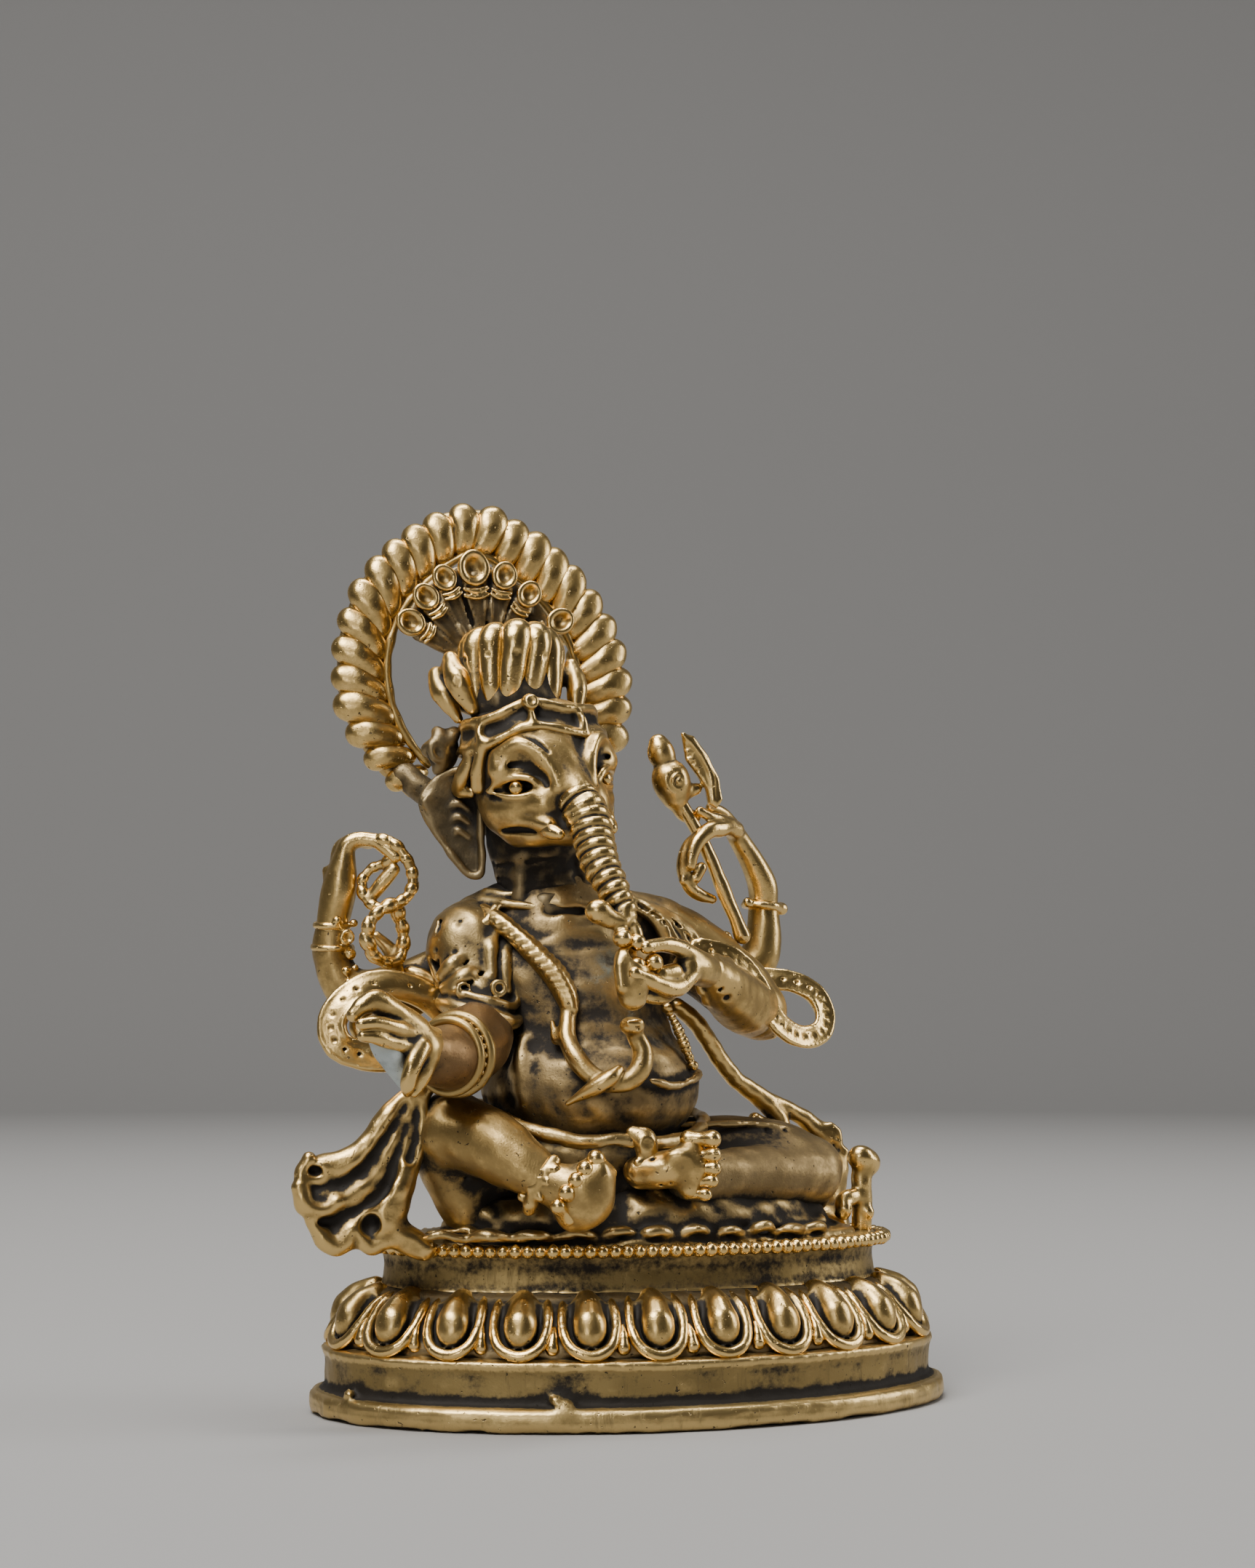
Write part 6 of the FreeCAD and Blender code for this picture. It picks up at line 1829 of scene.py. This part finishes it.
    def axe(self) -> None:
        """The battle axe: shaft, bulb with engraved rings, egg finial and fringed blade."""
        shaft = Clay(0.175, seed=81, uneven=0.04)
        shaft.limb([(12.5, -1.0, 50.8), (11.8, -1.0, 52.6), (10.6, -0.9, 55.4), (9.0, -0.8, 59.2),
            (7.6, -0.5, 62.2), (5.8, -0.1, 65.4)], [0.95, 0.82, 0.85, 0.75, 0.75, 0.8], blend=0.2)
        self.shop.cast(shaft, Label("axe_shaft", Slot.BRIGHT, "bright", ("axe_shaft",)))
        clay = Clay(0.163, seed=82, uneven=0.03)
        clay.limb([(4.9, 0.0, 66.4), (4.5, 0.0, 68.2), (4.1, 0.0, 69.2)], [1.5, 2.2, 1.6], blend=0.3)
        clay.limb([(3.9, 0.0, 70.0), (3.4, 0.0, 71.2), (3.0, 0.0, 72.4)], [1.0, 1.55, 1.1], blend=0.15)
        blade = [(0.5, 3.6), (1.9, 3.4), (3.6, 1.2), (4.9, -1.4), (5.3, -3.8), (4.6, -4.9), (3.6, -4.4),
            (3.3, -2.6), (2.2, -1.0), (1.0, 0.6)]
        plate = Local(np.array([5.1, -0.1, 70.0]), turn=-6.0)
        clay.plate(plate, blade, 1.1, blend=0.3, rounding=0.35)
        clay.limb(plate.line((0.7, 0.4, 3.5), (2.6, 0.4, 1.4), (3.9, 0.4, -1.2), (4.2, 0.4, -4.0)),
            [0.3, 0.35, 0.35, 0.3], blend=0.2)
        for n in range(7):
            t = n / 6
            start = np.array([1.1 + 2.2 * t, 0.5, 2.0 - 5.2 * t])
            clay.groove([plate.at(*start), plate.at(start[0] - 0.9, 0.5, start[2] - 0.3)], 0.16)
        face = Local(np.array([4.9, -2.1, 68.0]), turn=-6.0)
        for radius in (0.55, 1.2):
            clay.groove([face.at(radius * math.cos(t), 0.0, radius * math.sin(t)) for t in np.linspace(0.4,
                5.9, 14)], 0.15)
        clay.limb([(5.4, 0.0, 66.6), (7.4, 0.0, 67.4)], [0.9, 0.7], blend=0.5)
        clay.limb([(5.0, 0.0, 66.0), (6.0, 0.2, 64.6), (7.2, 0.2, 64.2)], [1.0, 0.9, 0.8], blend=0.4)
        self.shop.cast(clay, Label("axe_head", Slot.BRIGHT, "bright", ("axe_head",)))


# ---------------------------------------------------------------- legs
@dataclass
class Legs:
    """Both legs and feet, and the attendant beside the left knee."""

    shop: Workshop

    def build(self) -> None:
        """Makes every piece of the legs."""
        right = Clay(0.27, seed=90, uneven=0.06)
        right.limb([(-13.0, -2.0, 24.0), (-18.6, -5.4, 26.4), (-21.8, -8.4, 29.6)], [5.2, 4.8, 4.0],
            blend=1.5)
        right.limb([(-22.2, -8.8, 29.6), (-19.4, -11.8, 28.6), (-16.4, -14.4, 26.6), (-13.8, -16.2, 24.8)],
            [3.9, 3.7, 3.0, 2.1], blend=1.2)
        right.limb([(-23.4, -7.4, 28.6), (-22.0, -7.2, 24.2), (-19.8, -7.0, 20.6)], [2.8, 2.6, 2.4],
            blend=1.8)
        right.groove([(-21.4, -10.0, 25.2), (-18.6, -12.4, 24.0), (-16.0, -14.2, 22.8)], 0.2)
        self.shop.cast(right, Label("right_leg", Slot.BODY, "body", ("right_leg",)))
        self.right_foot()
        left = Clay(0.27, seed=91, uneven=0.07)
        left.limb([(2.0, -0.6, 24.6), (8.6, -2.2, 25.8), (14.6, -3.0, 26.0), (19.4, -3.4, 25.0)],
            [5.6, 5.1, 4.4, 3.6], blend=1.4)
        left.limb([(19.0, -4.6, 24.4), (14.0, -7.2, 24.6), (8.0, -9.8, 24.6), (3.0, -12.0, 24.4)],
            [3.2, 3.3, 3.0, 2.6], blend=1.4)
        left.limb([(1.4, -6.8, 30.0), (7.4, -6.6, 30.0), (12.4, -5.8, 30.0), (17.2, -4.8, 29.2)],
            [0.3, 0.42, 0.4, 0.25], blend=0.4)
        left.pits([(3.2 + 2.1 * n, -7.7 + 0.35 * n, 29.6 - 0.06 * n) for n in range(7)], 0.36)
        left.limb([(16.6, -3.0, 22.4), (20.6, -2.4, 21.6)], [1.8, 1.4], blend=1.2)
        left.pits([(17.0, -7.0, 27.6), (17.7, -6.5, 26.2), (16.6, -7.2, 27.0), (19.6, -4.6, 27.4),
            (19.2, -5.2, 26.2)], 0.28)
        self.shop.cast(left, Label("left_leg", Slot.BODY, "torso", ("left_leg",)))
        self.left_foot()
        self.attendant()

    def right_foot(self) -> None:
        """The raised leg's foot, toes in a slanting row, and its studded anklet."""
        foot = Clay(0.188, seed=92, uneven=0.05)
        foot.limb([(-14.2, -16.0, 24.8), (-12.4, -17.2, 24.2), (-10.6, -17.9, 24.0)], [2.1, 2.4, 2.5],
            blend=0.8)
        foot.limb([(-11.2, -17.4, 21.6), (-9.9, -18.2, 22.6), (-9.1, -18.5, 25.2)], [2.0, 2.3, 1.9],
            blend=1.4)
        foot.limb([(-11.4, -18.6, 22.6), (-10.6, -18.9, 24.6), (-9.4, -18.8, 26.0)], [1.2, 1.3, 1.2],
            blend=1.0)
        foot.egg((-10.2, -17.4, 22.0), (1.6, 1.4, 2.0), blend=0.8)
        self.shop.cast(foot, Label("right_foot", Slot.BODY, "body", ("right_foot",)))
        anklet = Clay(0.175, seed=93, uneven=0.05)
        for x, y, z, r in ((-15.1, -17.3, 25.5, 0.62), (-14.2, -18.3, 24.8, 0.55), (-15.6, -16.9, 24.2, 0.62),
                           (-14.9, -17.7, 23.2, 0.52), (-15.8, -16.4, 22.4, 0.6), (-13.4, -18.3, 26.0, 0.55),
                           (-16.4, -15.8, 23.2, 0.5)):
            anklet.egg((x, y, z), (r, r, r), blend=0.4)
        anklet.limb([(-13.4, -17.2, 26.8), (-14.4, -17.6, 25.6), (-15.2, -17.0, 23.6),
            (-15.6, -15.8, 22.0)], [0.75] * 4, blend=0.5)
        anklet.pits([(-15.1, -18.0, 25.6), (-14.2, -18.9, 24.9), (-13.4, -18.9, 26.1)], 0.26)
        self.shop.cast(anklet, Label("anklet", Slot.BODY, "body", ("anklet",)))
        toes = [((-13.5, -19.5, 22.4), 0.95), ((-12.7, -19.8, 23.8), 1.0), ((-11.7, -19.8, 25.0), 1.02),
            ((-10.7, -19.6, 26.1), 1.1), ((-9.5, -19.3, 27.1), 1.15)]
        self.toes(toes, np.array([0.75, 0.6, -0.75]), "right_toes", 94)

    def toes(self, spots: Sequence[tuple[Point, float]], inward: np.ndarray, name: str, seed: int) -> None:
        """A row of round toes; each runs back from its tip along inward."""
        toe = Clay(0.138, seed=seed, uneven=0.03)
        toe.limb([(0, 0, 0), (1.1, 0, 0), (2.2, 0, 0)], [0.86, 0.68, 0.85], blend=0.1)
        stations = [Station(np.array(p), inward, np.array([0, 0, 1.0]), (r, r, r)) for p, r in spots]
        self.shop.scatter(self.shop.master(toe, name), stations, Label(name, Slot.BODY, "bright"),
            seed=seed, size_jitter=0.03, turn_jitter=0.1)

    def left_foot(self) -> None:
        """The tucked foot, sole to the front and toes to the side."""
        foot = Clay(0.188, seed=95, uneven=0.05)
        foot.limb([(-3.0, -13.6, 25.4), (-0.8, -15.0, 25.7), (1.6, -15.8, 26.2)], [1.9, 2.0, 1.9], blend=0.8)
        foot.limb([(1.8, -15.8, 27.8), (1.9, -16.0, 26.0), (1.6, -16.0, 23.8)], [1.3, 1.5, 1.2], blend=1.0)
        foot.egg((0.4, -16.7, 27.2), (1.6, 1.0, 0.9), blend=0.8)
        foot.groove([(-2.4, -15.6, 26.8), (-1.9, -15.9, 25.4), (-1.5, -15.8, 24.2)], 0.18)
        foot.groove([(-1.4, -16.2, 26.9), (-1.0, -16.5, 25.6), (-0.7, -16.4, 24.4)], 0.14)
        self.shop.cast(foot, Label("left_foot", Slot.BODY, "body", ("left_foot",)))
        toes = [((3.6, -17.2, 28.9), 1.12), ((3.7, -17.4, 27.3), 0.98), ((3.7, -17.4, 25.9), 0.94),
            ((3.5, -17.3, 24.6), 0.9), ((2.9, -17.0, 23.2), 0.86)]
        self.toes(toes, np.array([-0.8, 0.45, 0.0]), "left_toes", 96)

    def attendant(self) -> None:
        """The small upright mouse beside the knee, with its muzzle to the front."""
        clay = Clay(0.188, seed=97, uneven=0.06)
        clay.limb([(26.1, -2.0, 18.2), (26.2, -2.0, 20.4), (26.2, -2.0, 23.6), (26.5, -2.0, 25.6)],
            [1.1, 1.15, 1.15, 1.35], blend=0.3)
        clay.egg((26.0, -2.4, 26.0), (1.6, 1.4, 1.45), blend=0.5)
        clay.egg((27.2, -1.8, 25.4), (1.2, 1.3, 1.4), blend=0.5)
        clay.egg((26.6, -2.8, 20.0), (0.75, 0.7, 0.8), blend=0.3)
        clay.limb([(25.6, -2.4, 21.8), (23.8, -3.0, 21.4), (22.9, -3.4, 20.0)], [0.8, 1.0, 0.6], blend=0.4)
        clay.egg((23.4, -3.6, 20.4), (0.9, 0.9, 1.3), blend=0.3)
        clay.pits([(22.9, -4.4, 20.2), (24.0, -4.2, 20.5)], 0.22)
        self.shop.cast(clay, Label("mouse_figure", Slot.BRIGHT, "bright", ("mouse_figure",)))


# ---------------------------------------------------------------- drapery
@dataclass
class Drapery:
    """The scarf's loops and ends on both sides."""

    shop: Workshop

    def build(self) -> None:
        """Makes every piece of the drapery."""
        self.right_loop()
        self.right_fall()
        self.left_loop()
        self.left_tail()

    def ribbon(self, clay: Clay, path: Sequence[Point], width: float, facing: Point) -> None:
        """A flat band with two raised edges and a row of dots between them."""
        count = len(path)
        clay.limb(path, [width] * count, blend=0.3, flat=(facing, 0.42))
        run, _ = smooth_path(path, [1] * count, 6)
        out = np.array(facing, float) / np.linalg.norm(facing)
        lines: dict[int, list] = {-1: [], 1: []}
        for n in range(len(run)):
            along = run[min(n + 1, len(run) - 1)] - run[max(n - 1, 0)]
            side = np.cross(along, out)
            side /= np.linalg.norm(side) + 1e-9
            for s in lines:
                lines[s].append(run[n] + side * s * width * 0.78 + out * width * 0.25)
        for line in lines.values():
            clay.limb(line, [0.34] * len(line), blend=0.15, smooth=False)
        clay.pits([run[n] + out * width * 0.42 for n in range(2, len(run) - 1, 3)], 0.26)

    def right_loop(self) -> None:
        """The loop behind the right front hand."""
        clay = Clay(0.213, seed=100, uneven=0.05)
        path = [(-21.0, -3.4, 41.4), (-24.6, -3.8, 44.0), (-28.6, -4.4, 45.0), (-32.2, -5.0, 44.0),
            (-34.4, -5.4, 41.2), (-33.8, -5.8, 38.6), (-31.0, -6.0, 37.4), (-27.6, -6.2, 37.2),
            (-24.6, -7.2, 36.4)]
        self.ribbon(clay, path, 1.55, (-0.35, -0.9, 0.25))
        clay.limb([(-24.6, -1.6, 42.6), (-28.0, -2.6, 43.2), (-31.2, -3.4, 41.8), (-31.4, -4.4, 39.8),
            (-29.4, -4.8, 38.6)], [0.9, 0.9, 0.8, 0.8, 0.7], blend=0.4)
        self.shop.cast(clay, Label("right_sash_loop", Slot.DARK, "body", ("right_sash_loop",)))

    def right_fall(self) -> None:
        """The gathered end that falls past the right knee and curls up at its hem."""
        clay = Clay(0.2, seed=101, uneven=0.09)
        axes = Local(np.array([-30.0, -9.0, 26.0]), turn=-4.0)
        outline = [(3.6, 7.8), (1.6, 7.0), (0.2, 5.4), (-1.0, 3.4), (-3.0, 2.0), (-5.6, 1.4), (-7.6, 0.2),
            (-8.0, -2.0), (-7.0, -4.8), (-6.2, -6.6), (-4.6, -8.4), (-0.6, -8.1), (1.8, -7.4), (3.0, -3.6),
            (3.4, -0.4), (4.2, 1.8), (4.0, 4.4)]
        clay.plate(axes, outline, 1.9, rounding=0.7)
        folds = [([(3.0, 7.4), (0.8, 5.0), (-0.9, 2.4), (-3.4, 0.4), (-6.0, 0.0)],
            [1.0, 1.3, 1.45, 1.45, 1.4]), ([(3.2, 6.0), (1.7, 2.6), (-0.4, -0.8), (-3.2, -3.0),
            (-6.0, -3.2)], [0.8, 1.0, 1.1, 1.25, 1.3]), ([(3.4, 5.0), (3.0, 1.4), (1.9, -2.0), (0.6, -5.4)],
            [0.9, 1.3, 1.9, 2.1]), ([(4.0, 7.4), (4.2, 4.4), (3.8, 2.0), (3.2, 0.0)],
            [0.9, 1.05, 1.05, 0.8]), ([(0.8, -3.6), (-1.6, -5.4), (-3.6, -7.0)], [1.3, 1.2, 1.5])]
        for line, radii in folds:
            clay.limb([axes.at(u, 0.3, v) for u, v in line], radii, blend=0.7)
        gaps = [[(2.6, 6.4), (0.7, 3.2), (-1.5, 0.3), (-4.0, -1.4)], [(2.8, 4.4), (1.6, 1.0), (0.2, -2.6),
            (-2.4, -4.4)], [(3.8, 6.4), (3.6, 3.2), (3.1, 1.0)]]
        for line in gaps:
            clay.limb([axes.at(u, 1.6, v) for u, v in line], [0.55] * len(line), blend=0.45, cut=True)
        curl = [(-7.2, 1.0), (-8.0, -0.6), (-6.8, -1.1), (-5.6, -0.6), (-5.8, 0.4), (-6.8, 0.7)]
        clay.limb([axes.at(u, 0.9, v) for u, v in curl], [0.85, 0.85, 0.7, 0.7, 0.6, 0.5], blend=0.35)
        roll = [(-8.0, -1.8), (-7.4, -3.6), (-5.8, -4.1), (-4.4, -3.4)]
        clay.limb([axes.at(u, 1.1, v) for u, v in roll], [1.0, 1.1, 1.0, 0.9], blend=0.4)
        hem = [(-6.6, -5.2), (-5.4, -7.2), (-4.0, -7.8), (-2.8, -6.4), (-2.0, -6.9), (-0.8, -8.0),
            (0.6, -7.4), (1.6, -6.8)]
        clay.limb([axes.at(u, 0.9, v) for u, v in hem], [0.9, 1.1, 1.1, 0.9, 0.8, 0.9, 0.9, 0.9], blend=0.5)
        clay.egg(axes.at(-0.9, 1.9, -5.6), (1.1, 1.3, 1.2), blend=0.5, cut=True)
        clay.egg(axes.at(-6.6, 1.7, -0.2), (0.7, 1.0, 0.5), blend=0.2, cut=True)
        clay.egg(axes.at(-5.2, 1.6, -5.4), (1.2, 0.8, 0.5), blend=0.3, cut=True)
        clay.limb([(-28.2, -9.2, 19.4), (-26.6, -9.4, 18.4), (-25.2, -9.8, 17.6)], [1.6, 1.5, 1.2], blend=0.8)
        clay.limb([(-26.4, -8.8, 32.8), (-25.0, -9.0, 35.0), (-24.2, -9.4, 36.8)], [1.4, 1.4, 1.3], blend=0.6)
        clay.limb([(-25.9, -7.6, 31.0), (-25.7, -7.4, 28.4)], [1.3, 1.0], blend=0.8)
        self.shop.cast(clay, Label("right_drapery", Slot.DARK, "body", ("right_drapery",)))

    def left_loop(self) -> None:
        """The wide loop that swings out past the left elbow."""
        clay = Clay(0.213, seed=102, uneven=0.04)
        front = [(5.4, -7.2, 48.9), (8.6, -7.4, 48.3), (11.2, -7.0, 46.4), (13.0, -6.4, 43.8),
            (14.6, -5.8, 41.4), (16.6, -4.8, 40.0), (19.0, -3.6, 39.4), (21.2, -2.6, 40.2),
            (21.9, -1.8, 42.2), (21.0, -1.0, 44.4), (18.4, -0.2, 45.7), (15.0, 0.6, 46.1),
            (12.0, 1.6, 46.6)]
        self.ribbon(clay, front, 1.25, (0.25, -0.95, 0.2))
        self.shop.cast(clay, Label("left_sash_loop", Slot.DARK, "bright", ("left_sash_loop",)))

    def left_tail(self) -> None:
        """The sash's end: a strut from the elbow to the knee, with a leaf at its tip."""
        clay = Clay(0.225, seed=103, uneven=0.08)
        clay.limb([(4.6, -1.6, 43.0), (7.4, 0.0, 41.0), (10.2, 1.4, 37.6), (12.8, 2.2, 34.6),
            (15.6, 2.8, 32.8), (18.0, 3.2, 30.6), (18.4, 3.0, 28.6)], [0.9, 1.0, 1.05, 1.0, 1.1, 1.1, 1.2],
            blend=0.4)
        clay.limb([(16.0, 2.8, 32.8), (19.4, 3.6, 31.4), (22.4, 4.2, 29.6), (24.6, 4.4, 27.6)],
            [0.7, 0.9, 1.0, 1.4], blend=0.4)
        clay.limb([(15.0, 2.0, 30.2), (16.4, 2.2, 29.6)], [0.9, 0.8], blend=0.5)
        leaf = Local(np.array([24.6, 4.0, 26.6]), turn=-14.0)
        clay.plate(leaf, [(-2.4, 2.4), (0.2, 3.2), (1.4, 2.4), (1.6, 0.6), (2.3, 0.0), (2.0, -2.6),
            (1.2, -4.6), (-0.6, -5.6), (-2.6, -4.2)], 1.6, rounding=0.5)
        clay.pits([leaf.at(0.9, 0.9, 1.4), leaf.at(1.1, 0.9, 0.0), leaf.at(0.9, 0.9, -1.2),
            leaf.at(0.4, 0.9, 0.6), leaf.at(1.3, 0.9, -2.2)], 0.3)
        clay.limb([(24.0, 3.6, 24.0), (23.4, 2.6, 20.0), (23.6, 1.6, 18.4)], [2.2, 2.2, 2.4], blend=1.4)
        self.shop.cast(clay, Label("left_sash_tail", Slot.DARK, "body", ("left_sash_tail",)))


# ---------------------------------------------------------------- studio
@dataclass(frozen=True)
class Studio:
    """The floor, the lights and the camera.

    Args:
        azimuth: of the camera, in degrees; 0 looks along +Y.
        pitch: how far the camera looks up, in degrees.
        distance: from the object's axis, in metres.
        height: of the camera above the floor, in metres.
        aside: how far the camera's axis passes from the object's, in metres.
        lens: in millimetres on a 36 mm long side.
    """

    azimuth: float = -16.0
    pitch: float = 6.1
    distance: float = 0.268
    height: float = 0.0391
    aside: float = -0.0006
    lens: float = 55.1

    def build(self) -> None:
        """Makes the floor, lights and camera."""
        self.floor()
        self.world()
        self.lamps()
        self.camera()

    def floor(self) -> None:
        """A round floor that sweeps up all round into a wall."""
        flat, fillet, top = 1.1, 0.5, 1.7
        profile = [(0.0, 0.0)] + [(flat + fillet * math.sin(t), fillet * (1 - math.cos(t)))
                                  for t in np.linspace(0, math.pi / 2, 13)] + [(flat + fillet, top)]
        count, points, faces = 72, [], []
        for radius, height in profile:
            points += [(radius * math.cos(t), radius * math.sin(t), height - 0.00002)
                       for t in np.linspace(0, 2 * math.pi, count, endpoint=False)]
        for n in range(len(profile) - 1):
            for k in range(count):
                nxt = (k + 1) % count
                faces.append((n * count + k, n * count + nxt, (n + 1) * count + nxt,
                    (n + 1) * count + k)[::-1])
        mesh = bpy.data.meshes.new("floor")
        mesh.from_pydata(points, [], faces)
        mesh.shade_smooth()
        floor = bpy.data.objects.new("floor", mesh)
        bpy.context.scene.collection.objects.link(floor)
        material = bpy.data.materials.new("floor")
        material.use_nodes = True
        shader = material.node_tree.nodes["Principled BSDF"]
        shader.inputs["Base Color"].default_value = (0.285, 0.28, 0.276, 1)
        shader.inputs["Roughness"].default_value = 0.8
        mesh.materials.append(material)

    def world(self) -> None:
        """A dim even light from everywhere."""
        world = bpy.data.worlds.new("studio")
        world.use_nodes = True
        back = world.node_tree.nodes["Background"]
        back.inputs[0].default_value = (0.80, 0.80, 0.82, 1)
        back.inputs[1].default_value = 0.085
        bpy.context.scene.world = world

    def lamp(self, name: str, place: Point, aim: Point, size: tuple[float, float], power: float) -> None:
        """A soft rectangular lamp."""
        data = bpy.data.lights.new(name, "AREA")
        data.shape = "RECTANGLE"
        data.size, data.size_y = size
        data.energy = power
        data.color = (1.0, 0.985, 0.96)
        lamp = bpy.data.objects.new(name, data)
        lamp.location = place
        lamp.rotation_euler = (Vector(aim) - Vector(place)).to_track_quat("-Z", "Y").to_euler()
        bpy.context.scene.collection.objects.link(lamp)

    def lamps(self) -> None:
        """A large lamp above and to the left, a narrow one on the right, a weak front one, and one for the wall."""
        middle = (-0.004, 0.0, 0.05)
        self.lamp("key", (-0.26, -0.24, 0.52), middle, (0.34, 0.28), 4.6)
        self.lamp("side", (0.55, -0.12, 0.26), middle, (0.14, 0.40), 1.5)
        self.lamp("front", (-0.34, -0.60, 0.16), middle, (0.16, 0.16), 0.5)
        self.lamp("wall", (0.0, 0.1, 0.95), (0.12, 1.2, 0.1), (0.6, 0.4), 14.0)

    def camera(self) -> None:
        """The camera at the viewing angle."""
        turn, pitch = math.radians(self.azimuth), math.radians(self.pitch)
        back = Vector((math.sin(turn), -math.cos(turn), 0))
        right = Vector((math.cos(turn), math.sin(turn), 0))
        ahead = -back * math.cos(pitch) + Vector((0, 0, math.sin(pitch)))
        data = bpy.data.cameras.new("camera")
        data.lens = self.lens
        data.sensor_width = 36.0
        data.clip_start, data.clip_end = 0.01, 10.0
        camera = bpy.data.objects.new("camera", data)
        place = back * self.distance + right * self.aside
        camera.location = (place.x, place.y, self.height)
        camera.rotation_euler = ahead.to_track_quat("-Z", "Y").to_euler()
        bpy.context.scene.collection.objects.link(camera)
        bpy.context.scene.camera = camera


# ---------------------------------------------------------------- the whole statue
def main() -> None:
    """Builds the statue around the frame, and the studio round it."""
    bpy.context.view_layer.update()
    shop = Workshop(Palette())
    for part in (Pedestal(shop), Body(shop), Head(shop), Halo(shop), Arms(shop), Legs(shop), Drapery(shop)):
        part.build()
    shop.settle()
    Studio().build()
    log.info("%d pieces, %d triangles", len(shop.pieces), 2 * sum(len(p.data.polygons) for p in shop.pieces))


if __name__ == "__main__":
    main()
